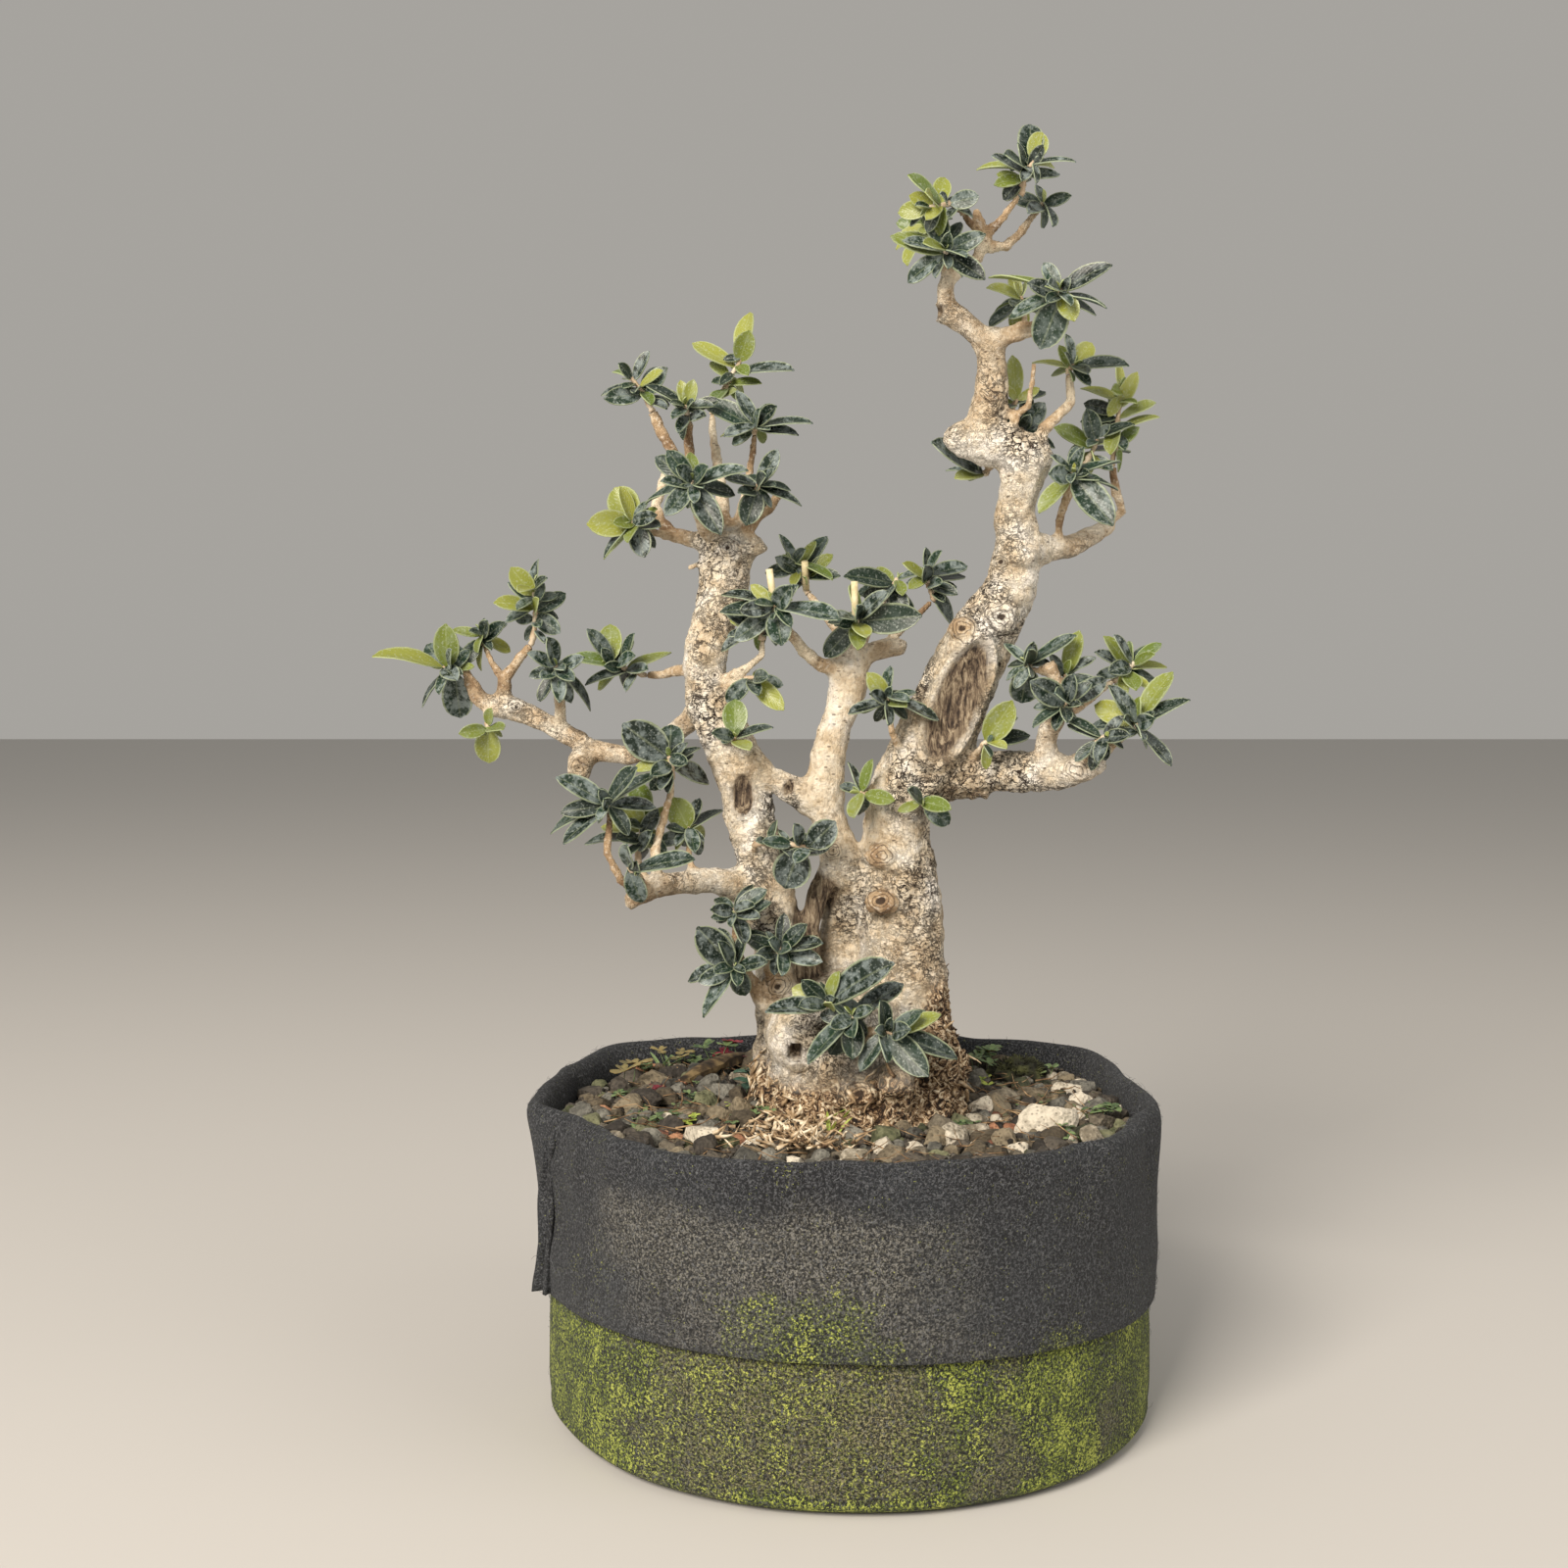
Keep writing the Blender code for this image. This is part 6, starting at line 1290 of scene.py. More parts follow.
def patches_on(piece, patches):
    """How strongly each corner of a piece is covered by the patches"""
    covered = np.zeros(len(piece.data.vertices))
    places = places_of(piece)
    around = np.degrees(np.arctan2(places[:, 0], -places[:, 1]))
    wander = 9 * cloud(places, 26 * MM, 5) + 5 * cloud(places, 9 * MM, 2)
    cuff = np.empty(len(places))
    piece.data.attributes["cuff"].data.foreach_get("value", cuff)
    for start, end, low, high, strength in patches:
        middle, half = (start + end) / 2, (end - start) / 2
        off = np.abs((around - middle + 180) % 360 - 180) + wander
        level = places[:, 2] / MM + 0.8 * wander
        here = step(half + 8, half - 8, off) * step(low - 6, low + 3, level)
        here *= step(high + 5, high - 7, level)
        covered = np.maximum(covered, strength * here * (cuff if low > ON_WALL else 1 - cuff))
    return covered


store(bag, "algae", patches_on(bag, ALGAE))
store(bag, "damp", patches_on(bag, DAMP))


def felt_material():
    """Needled recycled felt: charcoal, matt and hairy, with single pale fibres; algae in grains on it"""
    felt, shader = new_material("needled_felt", Roughness=0.95, Sheen_Weight=0.08, Sheen_Roughness=0.6,
                                Sheen_Tint="#797e85")
    spot = add(felt, "TexCoord", give="Object")

    broad = add(felt, "TexNoise", {"Vector": spot, "Scale": 24.0, "Detail": 5.0})
    height = add(felt, "SeparateXYZ", {0: spot}, give="Z")
    rise = add(felt, "MapRange", {"Value": height, 1: 62 * MM, 2: 122 * MM})
    lower = add(felt, "ValToRGB", {"Fac": broad}, stops=[(0.35, "#15171a"), (0.6, "#282b2e")])
    upper = add(felt, "ValToRGB", {"Fac": broad}, stops=[(0.35, "#0e1015"), (0.6, "#1d2126")])
    damp = add(felt, "Attribute", attribute_name="damp", give="Fac")
    mottled = add(felt, "TexNoise", {"Vector": spot, "Scale": 1080.0, "Detail": 3.0, "Roughness": 0.75})
    soil = add(felt, "ValToRGB", {"Fac": mottled},
               stops=[(0.42, "#100f0a"), (0.48, "#3a3626"), (0.53, "#787148"), (0.6, "#cbc184")])
    dust = add(felt, "ValToRGB", {"Fac": mottled},
               stops=[(0.42, "#181818"), (0.48, "#3b3a37"), (0.53, "#656257"), (0.6, "#a5a192")])
    on_cuff = add(felt, "Attribute", attribute_name="cuff", give="Fac")
    deposit = add(felt, "Mix", {0: on_cuff, 6: soil, 7: dust}, data_type="RGBA")
    specked = add(felt, "ValToRGB", {"Fac": mottled}, stops=[(0.51, "#000000"), (0.59, "#b8b8b8")])
    soiled = add(felt, "Math", {0: damp, 1: 0.85}, operation="MULTIPLY")

    # Fibres are 0.05 mm thick. They are drawn 0.3 mm thick, as the bright lines between noisy cells.
    bent = add(felt, "TexNoise", {"Vector": spot, "Scale": 500.0, "Detail": 2.0}, give="Color")
    shift = add(felt, "VectorMath", {0: bent, "Scale": 2.4 * MM}, operation="SCALE")
    moved = add(felt, "VectorMath", {0: spot, 1: shift}, operation="ADD")
    cells = add(felt, "TexVoronoi", {"Vector": moved, "Scale": 520.0}, feature="DISTANCE_TO_EDGE")
    hairs = add(felt, "ValToRGB", {"Fac": cells}, stops=[(0.0, "#d8d8d8"), (0.12, "#000000")])
    specks = add(felt, "TexNoise", {"Vector": spot, "Scale": 900.0, "Detail": 2.0})
    seldom = add(felt, "ValToRGB", {"Fac": specks}, stops=[(0.46, "#1a1a1a"), (0.62, "#ffffff")])
    fibres = add(felt, "Math", {0: hairs, 1: seldom}, operation="MULTIPLY")

    algae = add(felt, "Attribute", attribute_name="algae", give="Fac")
    grains = add(felt, "TexNoise", {"Vector": spot, "Scale": 960.0, "Detail": 3.0, "Roughness": 0.8})
    upright = add(felt, "Mapping", {"Vector": spot, "Scale": (1.0, 1.0, 0.62)})
    clumps = add(felt, "TexNoise", {"Vector": upright, "Scale": 90.0, "Detail": 6.0, "Roughness": 0.65})
    reach = add(felt, "Math", {0: clumps, 1: 0.35, 2: grains}, operation="MULTIPLY_ADD")
    spread = add(felt, "Math", {0: algae, 1: 0.23, 2: reach}, operation="MULTIPLY_ADD")
    grown = add(felt, "MapRange", {"Value": spread, 1: 0.84, 2: 0.92, 4: 0.85})
    filmed = add(felt, "Math", {0: clumps, 1: 0.8, 2: algae}, operation="MULTIPLY_ADD")
    film = add(felt, "MapRange", {"Value": filmed, 1: 0.62, 2: 1.02, 4: 0.88})
    slime = add(felt, "ValToRGB", {"Fac": grains},
                stops=[(0.42, "#090d06"), (0.49, "#263011"), (0.55, "#4d5b1e"), (0.62, "#7c8a33")])
    pepper = add(felt, "ValToRGB", {"Fac": grains}, stops=[(0.42, "#e8e8e8"), (0.47, "#000000")])
    shade = add(felt, "Math", {0: clumps, 1: 0.5, 2: grains}, operation="MULTIPLY_ADD")
    green = add(felt, "ValToRGB", {"Fac": shade},
                stops=[(0.7, "#47521b"), (0.78, "#68762a"), (0.84, "#909c40"), (0.9, "#bcc25f")])
    colour = lower
    for share, above in ((rise, upper), (soiled, deposit), (specked, "#64666b"), (film, slime),
                         (pepper, "#09090b"), (fibres, "#73767a"), (grown, green)):
        colour = add(felt, "Mix", {0: share, 6: colour, 7: above}, data_type="RGBA")

    furry = add(felt, "Math", {0: fibres, 1: 0.8, 2: grains}, operation="MULTIPLY_ADD")
    bump = add(felt, "Bump", {"Height": furry, "Strength": 0.9, "Distance": 0.9 * MM})
    set_inputs(felt, shader, {"Base Color": colour, "Normal": bump})
    return felt


coat(bag, felt_material())
select_only(bag)
bpy.ops.object.shade_smooth()
finish_piece(bag, ["felt_bag"])

# %% [markdown]
# ## The sheet that the bag is
#
# The cloth was cut as a strip for wall and cuff, 770 by 213 mm, and a round base 240 mm across, and
# then sewn.

# %% [markdown]
# ## The soil and its grit
#
# Bonsai soil is mostly pumice: round-cornered grains of 4 to 12 mm, cream, tan and grey, with some red
# lava and dark grit between them. A dark bed fills the bag, with a plain hole for the stump. On it lie
# more than a thousand grains. Twelve are modelled: a sphere is flattened on nine sides, as if it had
# been broken there, and roughened. Every grain is a copy of one of them, turned and stretched.

# %% Soil bed
SOIL_TOP = 118 * MM
SOIL_RADIUS = 109.5 * MM
# Outline of the bed from its foot round to the stump's hole, radius and height in mm
BED = [(40, 4.4), (112, 4.4), (117, 14), (110.4, 112), (109.5, 117), (100, 117.5), (90, 117.5), (80, 118),
       (70, 118), (62, 119), (54, 119.5), (47, 120), (45.5, 114), (33, 63), (10, 62)]


def ground(place):
    """Height of the soil at a place: mounds 20 mm across and smaller, and a rise beside the stump"""
    broad = noise.noise(Vector((place[0], place[1], 0.3)) / (21 * MM))
    small = noise.noise(Vector((place[0], place[1], 0.1)) / (9 * MM))
    stump_gap = math.hypot(place[0] - STUMP_CENTRE.x, place[1] - STUMP_CENTRE.y) / MM
    return SOIL_TOP + (2.4 * broad + 1.1 * small + 2.5 * max(0, 1 - (stump_gap - 44) / 18) - 0.4) * MM


bed = ring_loft("grit_bed", BED, 90)
select_only(bed)
bpy.ops.object.mode_set(mode="EDIT")
bpy.ops.mesh.select_mode(type="EDGE")
bpy.ops.mesh.select_all(action="DESELECT")
bpy.ops.mesh.select_non_manifold()
bpy.ops.mesh.edge_face_add()
bpy.ops.object.mode_set(mode="OBJECT")
for corner in bed.data.vertices:
    place = corner.co
    radius = math.hypot(place.x, place.y)
    if radius < 48 * MM and place.z > 50 * MM:
        place.x += STUMP_CENTRE.x
        place.y = place.y * 0.95 + STUMP_CENTRE.y
    corner.co = slumped(place)
    if corner.co.z > 116 * MM and radius > 48 * MM:
        corner.co.z += ground(corner.co) - SOIL_TOP
select_only(bed)
bpy.ops.object.mode_set(mode="EDIT")
bpy.ops.mesh.select_all(action="SELECT")
bpy.ops.mesh.normals_make_consistent(inside=False)
bpy.ops.object.mode_set(mode="OBJECT")


def stone_material(name, dark, middle, light, roughness=0.9):
    """Porous stone: its own tint on each grain, pits half a millimetre wide and dusty patches"""
    stone, shader = new_material(name, Roughness=roughness)
    spot = add(stone, "TexCoord", give="Object")
    tint = add(stone, "Attribute", attribute_name="tint", give="Fac")
    patchy = add(stone, "TexNoise", {"Vector": spot, "Scale": 230.0, "Detail": 6.0, "Roughness": 0.7})
    both = add(stone, "Math", {0: tint, 1: 0.42, 2: patchy}, operation="MULTIPLY_ADD")
    colour = add(stone, "ValToRGB", {"Fac": both}, stops=[(0.4, dark), (0.66, middle), (0.9, light)])
    # Pores half a millimetre wide, sunk by the bump, are darkened toward the dark tone as painted shade
    holes = add(stone, "TexVoronoi", {"Vector": spot, "Scale": 520.0})
    shade = add(stone, "ValToRGB", {"Fac": holes}, stops=[(0.14, "#c8c8c8"), (0.34, "#000000")])
    colour_with_pit_shade = add(stone, "Mix", {0: shade, 6: colour, 7: dark}, data_type="RGBA")
    rough = add(stone, "Math", {0: holes, 1: patchy}, operation="ADD")
    bump = add(stone, "Bump", {"Height": rough, "Strength": 1.0, "Distance": 0.7 * MM})
    set_inputs(stone, shader, {"Base Color": colour_with_pit_shade, "Normal": bump})
    return stone


# The bed's dark tones are the soil's own, and painted shade in the gaps between the grains
coat(bed, stone_material("soil_bed_and_gap_shade", "#17130f", "#2c241b", "#4a3d2e"))
store(bed, "tint", 0.4)
select_only(bed)
bpy.ops.object.shade_smooth_by_angle(angle=math.radians(50))
finish_piece(bed, ["soil"])

# %% Twelve model grains
chance = random.Random(SEED)
SMALL_MODELS = 7
LARGE_MODELS = 5
BROKEN_SIDES = 9
models = {"small": [], "large": []}
for kind in range(SMALL_MODELS + LARGE_MODELS):
    size = "small" if kind < SMALL_MODELS else "large"
    bpy.ops.mesh.primitive_ico_sphere_add(subdivisions=2 if size == "small" else 3, radius=1)
    grain = bpy.context.object
    grain.name = f"model_grain_{kind}"
    lumps = places_of(grain)
    lumps = lumps * (1 + 0.3 * cloud(lumps, 1.1, 3.7 * kind))[:, None]
    for _ in range(BROKEN_SIDES):
        way = np.array([chance.gauss(0, 1) for _ in range(3)])
        way /= np.linalg.norm(way)
        beyond = np.maximum(0, lumps @ way - chance.uniform(0.58, 0.86))
        lumps = lumps - 0.9 * beyond[:, None] * way
    lumps = lumps * (1 + 0.12 * cloud(lumps, 0.34, kind) + 0.05 * cloud(lumps, 0.15, kind))[:, None]
    set_places(grain, lumps * 1.18 * np.array([1.08, 0.95, 0.84]))
    bpy.ops.object.shade_smooth_by_angle(angle=math.radians(34))
    models[size].append(grain)
print(len(models["small"]), "small model grains and", len(models["large"]), "large ones")

# %% [markdown]
# ## Laying the grains
#
# A grain's place is drawn at random, and is kept only where it doesn't lie on others by more than a
# little, so the grains touch like real ones. The large ones are laid first. Those that stand out in the
# photograph, such as large white pumices and a rusty lava, are set by the pixel at which they show.

# %% Grains on the bed
PUMICE = "pumice_cream"
STONES = {
    PUMICE: stone_material(PUMICE, "#403a31", "#7e7666", "#d0c8b7"),
    "pumice_tan": stone_material("pumice_tan", "#302a21", "#574e3f", "#857a65"),
    "pumice_grey": stone_material("pumice_grey", "#2b2b28", "#52514b", "#807e75"),
    "grit_dark": stone_material("grit_dark", "#1d1a17", "#3a352f", "#5d564c", 0.8),
    "lava_red": stone_material("lava_red", "#41281f", "#7d5340", "#b08263"),
    "pumice_mossy": stone_material("pumice_mossy", "#22251a", "#474b33", "#77785c"),
}
# How often each of them is laid
SHARES = (0.17, 0.17, 0.22, 0.26, 0.04, 0.14)
# Pixel across and down, length in mm and stone
STANDING_OUT = [
    (1066, 1146, 25, PUMICE), (1101, 1122, 15, PUMICE), (1040, 1166, 10, PUMICE),
    (765, 1133, 19, "lava_red"), (718, 1160, 17, PUMICE), (705, 1136, 14, "pumice_tan"),
    (1000, 1130, 13, PUMICE), (955, 1162, 11, "pumice_tan"), (903, 1170, 13, PUMICE),
    (640, 1128, 15, "pumice_tan"), (668, 1100, 14, "pumice_tan"), (935, 1166, 9, PUMICE),
    (690, 1070, 12, PUMICE), (1020, 1128, 14, "pumice_tan"),
]
laid = []
lots = {name: [] for name in STONES}


def ring_share(place):
    """0 at the stump and 1 at the felt for a place on the soil"""
    angle = math.atan2(place[1], place[0])
    radius = math.hypot(place[0], place[1] / flatness(SOIL_TOP)) / slump(angle, SOIL_TOP)
    return radius / SOIL_RADIUS


def lay(place, length, name, tint):
    """A copy of a model grain of that length, turned at random, bedded at a place"""
    model = chance.choice(models["large" if length > 8.5 * MM else "small"])
    copy = copy_of(model)
    turn = Matrix.Rotation(chance.uniform(0, math.tau), 4, "Z")
    turn = turn @ Matrix.Rotation(chance.uniform(-0.9, 0.9), 4, "X")
    stretch = (chance.uniform(0.9, 1.1), chance.uniform(0.75, 1.05), chance.uniform(0.75, 1.1), 1)
    shape = Matrix.Diagonal(stretch)
    copy.data.transform(Matrix.Translation(place) @ turn @ shape @ Matrix.Scale(0.45 * length, 4))
    store(copy, "tint", tint)
    lots[name].append(copy)


def try_to_lay(place, length, name, overlap, tint=None):
    """Lays the grain if it lies clear enough of the others, the felt and the stump"""
    size = 0.45 * length
    share = ring_share(place)
    stump_gap = math.hypot(place[0] - STUMP_CENTRE.x, (place[1] - STUMP_CENTRE.y) / 0.95)
    if share > 1 - size / (125 * MM) or stump_gap < 43 * MM + 0.6 * size:
        return False
    for x, y, other in laid:
        if math.hypot(place[0] - x, place[1] - y) < overlap * (size + other):
            return False
    laid.append((place[0], place[1], size))
    height = ground(place) + 0.3 * size + chance.uniform(-0.5, 1.8) * MM
    lay(Vector((place[0], place[1], height)), length, name, tint or chance.random())
    return True


for across, down, length, name in STANDING_OUT:
    try_to_lay(at_pixel(across, down, 122), length * MM, name, 0.4, 0.95)
# Shortest and longest grain in mm, how many tries, and the share of their sizes that may not overlap
ROUNDS = [(10, 15, 260, 0.8), (7, 10, 1500, 0.8), (4.5, 7, 4200, 0.76), (3, 4.4, 3600, 0.72)]
for low, high, tries, overlap in ROUNDS:
    for _ in range(tries):
        angle = chance.uniform(0, math.tau)
        radius = 118 * MM * math.sqrt(chance.uniform(0.1, 1))
        place = (radius * math.cos(angle), radius * math.sin(angle))
        try_to_lay(place, chance.uniform(low, high) * MM, chance.choices(list(STONES), SHARES)[0], overlap)

for name, copies in lots.items():
    lot = join("grains_" + name, copies)
    coat(lot, STONES[name])
    finish_piece(lot)
for model in models["small"] + models["large"]:
    bpy.data.objects.remove(model)
print(len(laid), "grains")

# %% [markdown]
# ## Shredded root bark and dry litter
#
# The stump's foot is covered by shreds of old root bark, pale straw to brown, that curl off in all
# directions. They lie in a heap at the left front too, where they have fallen on the grit. Each is a
# thin curved sliver. Its foot is on the wood's skin and its tip is lifted off by a millimetre or two.
# Dry rootlets and bits of straw lie flat on the grit.

# %% Shreds on the stump and straw on the grit
SHREDS_ON_STUMP = 380
SHREDS_IN_HEAP = 330
ROOTLETS = 260


def sliver(start, along, lift, length, radius):
    """A line of four places with radii: a shred that leaves the ground a little and tapers"""
    side = along.cross(lift).normalized()
    bend = chance.uniform(-0.35, 0.35)
    line = []
    for share in (0.0, 0.33, 0.67, 1.0):
        place = start + along * share * length + side * bend * length * share ** 2
        place += lift * (0.28 * length * share ** 1.5 * chance.uniform(0.4, 1.2))
        line.append((place, radius * (1.05 - 0.75 * share)))
    return line


def litter_material(name, dark, middle, light):
    """Dry plant matter with streaks: each shred takes its shade from where it lies"""
    litter, shader = new_material(name, Roughness=0.9)
    spot = add(litter, "TexCoord", give="Object")
    shade = add(litter, "TexNoise", {"Vector": spot, "Scale": 170.0, "Detail": 5.0})
    colour = add(litter, "ValToRGB", {"Fac": shade}, stops=[(0.36, dark), (0.5, middle), (0.64, light)])
    bump = add(litter, "Bump", {"Height": shade, "Strength": 0.6, "Distance": 0.2 * MM})
    set_inputs(litter, shader, {"Base Color": colour, "Normal": bump})
    return litter


straw = litter_material("dry_straw", "#513b29", "#ad9472", "#ecdfc6")
wood_places = places_of(tree)
wood_normals = normals_of(tree)
foot = np.nonzero((rooty > 0.55) & (wood_places[:, 2] > 115 * MM) & (dead < 0.5))[0]
shreds = []
while len(shreds) < SHREDS_ON_STUMP:
    index = int(foot[chance.randrange(len(foot))])
    place, lift = Vector(wood_places[index]), Vector(wood_normals[index])
    if lift.z < -0.3 or (place.x > -12 * MM and chance.random() < 0.75):
        continue
    around = crosswise(lift, chance.uniform(0, math.tau))
    around = (around + Vector((0, 0, 0.4 * chance.uniform(-1, 1)))).normalized()
    shreds.append(sliver(place - lift * 0.3 * MM, around, lift, chance.uniform(2.5, 8) * MM,
                         chance.uniform(0.4, 1.3) * MM))
for _ in range(SHREDS_IN_HEAP):
    place = at_pixel(chance.gauss(815, 28), min(1172, chance.gauss(1152, 12)), 121 + chance.uniform(0, 5))
    turn = chance.uniform(0, math.tau)
    along = Vector((math.cos(turn), math.sin(turn), chance.uniform(-0.1, 0.5))).normalized()
    if ring_share(place) < 0.93:
        shreds.append(sliver(place, along, Vector((0, 0, 1)), chance.uniform(2.5, 9) * MM,
                             chance.uniform(0.35, 1.2) * MM))
shredded = curves_as_mesh("root_shreds", shreds, 4, straw)
finish_piece(shredded)

rootlets = []
for _ in range(ROOTLETS):
    turn, around = chance.uniform(0, math.tau), chance.uniform(0, math.tau)
    radius = chance.uniform(50, 104) * MM
    place = slumped(Vector((radius * math.cos(around), radius * math.sin(around), SOIL_TOP + 4 * MM)))
    along = Vector((math.cos(turn), math.sin(turn), 0.05))
    length = chance.uniform(5, 18) * MM
    if ring_share(place) < 0.9 and ring_share(place + along * length) < 0.93:
        rootlets.append(sliver(place, along, Vector((0, 0, 1)), length, chance.uniform(0.2, 0.45) * MM))
twigs = litter_material("rootlet_brown", "#4a3624", "#83684a", "#b99d78")
fallen = curves_as_mesh("rootlets", rootlets, 4, twigs)
finish_piece(fallen)

# %% [markdown]
# ## Dark crumbs, a bark chip and moss
#
# Dark crumbs of humus fill the gaps between grains. A curved chip of bark lies at the left behind, and
# a dark cushion of moss at the right behind. The chip is a cube, divided and then chipped unevenly. The
# moss is a flat dome set with some hundred short shoots.

# %% Crumbs
CRUMBS = 2600
bpy.ops.mesh.primitive_ico_sphere_add(subdivisions=1, radius=1)
crumb = bpy.context.object
crumb.name = "model_crumb"
set_places(crumb, places_of(crumb) * (1 + 0.5 * cloud(places_of(crumb), 0.8))[:, None])
crumbs = []
while len(crumbs) < CRUMBS:
    around, radius = chance.uniform(0, math.tau), 110 * MM * math.sqrt(chance.uniform(0.16, 1))
    place = slumped(Vector((radius * math.cos(around), radius * math.sin(around), SOIL_TOP)))
    if ring_share(place) > 0.97:
        continue
    copy = copy_of(crumb)
    size = chance.uniform(0.7, 2.1) * MM
    place.z = ground(place) + chance.uniform(0.3, 3) * MM
    copy.data.transform(Matrix.Translation(place) @ Matrix.Rotation(around * 7, 4, (1, around, 2))
                        @ Matrix.Diagonal((size, size * chance.uniform(0.6, 1), size * 0.8, 1)))
    store(copy, "tint", chance.random())
    crumbs.append(copy)
humus = join("humus_crumbs", crumbs)
coat(humus, STONES["grit_dark"])
finish_piece(humus)
bpy.data.objects.remove(crumb)

# %% Bark chip
chip_ends = (at_pixel(699, 1106, 122), at_pixel(757, 1080, 124))
bpy.ops.mesh.primitive_cube_add(size=1)
chip = bpy.context.object
chip.name = "bark_chip"
bpy.ops.object.mode_set(mode="EDIT")
bpy.ops.mesh.subdivide(number_cuts=7)
bpy.ops.object.mode_set(mode="OBJECT")
rough = places_of(chip)
size = np.array([(chip_ends[1] - chip_ends[0]).length, 9 * MM, 3.4 * MM])
taper = 1 - 0.45 * np.abs(2 * rough[:, 0]) ** 3
solid = rough * size * np.column_stack([np.ones(len(rough)), taper, taper])
solid += 0.9 * MM * np.column_stack([cloud(solid, 4 * MM, shift, (2.5, 1, 1)) for shift in (1, 5, 9)])
solid[:, 2] += 2.2 * MM * (1 - (2 * rough[:, 0]) ** 2) - 9 * solid[:, 1] ** 2 / MM * 0.01
set_places(chip, solid)
chip_way = (chip_ends[1] - chip_ends[0]).to_track_quat("X", "Z").to_matrix().to_4x4()
chip_place = (chip_ends[0] + chip_ends[1]) / 2 + Vector((0, 0, 2 * MM))
chip.data.transform(Matrix.Translation(chip_place) @ chip_way)
coat(chip, litter_material("chip_brown", "#241b11", "#4d3e28", "#7d6a48"))
finish_piece(chip)

# %% Moss cushion
MOSS_SHOOTS = 420
moss_place = at_pixel(1038, 1098, 121)
bpy.ops.mesh.primitive_uv_sphere_add(segments=20, ring_count=12, radius=1)
moss = bpy.context.object
moss.name = "moss_cushion"
dome = places_of(moss)
dome = dome * (1 + 0.4 * cloud(dome, 0.5))[:, None] * np.array([13, 9.5, 8]) * MM + np.array(moss_place)
set_places(moss, dome)
tufts = []
for _ in range(MOSS_SHOOTS):
    around, high = chance.uniform(0, math.tau), chance.uniform(0.15, 1)
    flat = math.sqrt(1 - high ** 2)
    lift = Vector((flat * math.cos(around), flat * math.sin(around), high))
    place = Vector(moss_place) + Vector((lift.x * 12.5, lift.y * 9, lift.z * 7.5)) * MM
    tufts.append([(place, 0.45 * MM), (place + lift * chance.uniform(1.2, 2.6) * MM, 0.12 * MM)])
moss_green = litter_material("dark_moss", "#14140c", "#2b2d1a", "#50532f")
coat(moss, moss_green)
moss = join("moss_cushion", [moss, curves_as_mesh("moss_tufts", tufts, 4, moss_green)])
finish_piece(moss)

# %% [markdown]
# ## Weeds in the grit
#
# Tiny weeds grow in the grit: clover with three heart-shaped leaflets on a thin stalk, sprouts with
# round leaflets in pairs, some of them wine-red, and a few blades of grass. One leaflet of each kind is
# modelled: a disc, pressed into a heart or drawn out into a blade, cupped a little. Weeds are set by the
# pixels at which they show in the photograph.

# %% Leaflets


def leaflet(name, form):
    """A disc of twelve corners, its form given by x and y for each direction"""
    bpy.ops.mesh.primitive_circle_add(vertices=12, radius=1, fill_type="TRIFAN")
    disc = bpy.context.object
    disc.name = name
    flat = places_of(disc)
    angles = np.arctan2(flat[:, 1], flat[:, 0])
    reach = np.hypot(flat[:, 0], flat[:, 1])
    set_places(disc, form(angles, reach))
    return disc


def heart(angles, reach):
    notch = 1 - 0.42 * np.exp(-(angles / 0.4) ** 2)
    x = 0.62 + 0.6 * reach * np.cos(angles) * notch
    y = 0.62 * reach * np.sin(angles) * (0.75 + 0.3 * np.cos(angles))
    return np.column_stack([x, y, 0.3 * np.abs(y)])


def round_leaf(angles, reach):
    x = 0.6 + 0.5 * reach * np.cos(angles)
    y = 0.4 * reach * np.sin(angles)
    return np.column_stack([x, y, 0.35 * np.abs(y) - 0.15 * (x - 0.3) ** 2])


def blade_form(angles, reach):
    x = 0.5 + 0.5 * reach * np.cos(angles)
    y = 0.09 * reach * np.sin(angles) * (1.2 - 0.7 * x)
    return np.column_stack([x, y, 0.5 * np.abs(y) - 0.25 * x ** 2])


leaflets = {"clover": leaflet("clover_leaflet", heart), "sprout": leaflet("sprout_leaflet", round_leaf),
            "grass": leaflet("grass_blade", blade_form)}


def weed_material(name, dark, light):
    """Soft thin leaf with rim-to-rim mottling and its own tint on each leaflet"""
    weed, shader = new_material(name, Roughness=0.55, Subsurface_Weight=0.08, Subsurface_Scale=0.002)
    spot = add(weed, "TexCoord", give="Object")
    tint = add(weed, "Attribute", attribute_name="tint", give="Fac")
    mottled = add(weed, "TexNoise", {"Vector": spot, "Scale": 500.0, "Detail": 3.0})
    both = add(weed, "Math", {0: tint, 1: 0.6, 2: mottled}, operation="MULTIPLY_ADD")
    colour = add(weed, "ValToRGB", {"Fac": both}, stops=[(0.45, dark), (1.0, light)])
    set_inputs(weed, shader, {"Base Color": colour})
    return weed


WEED_GREENS = {"green": weed_material("weed_green", "#30442a", "#73885a"),
               "dark": weed_material("weed_dark", "#1d3029", "#3f5c4c"),
               "lime": weed_material("weed_lime", "#6a7d2c", "#a8b555"),
               "wine": weed_material("weed_wine", "#4a1420", "#8a2f3c"),
               "brown": weed_material("weed_brown", "#4a4a2c", "#8a7d52")}
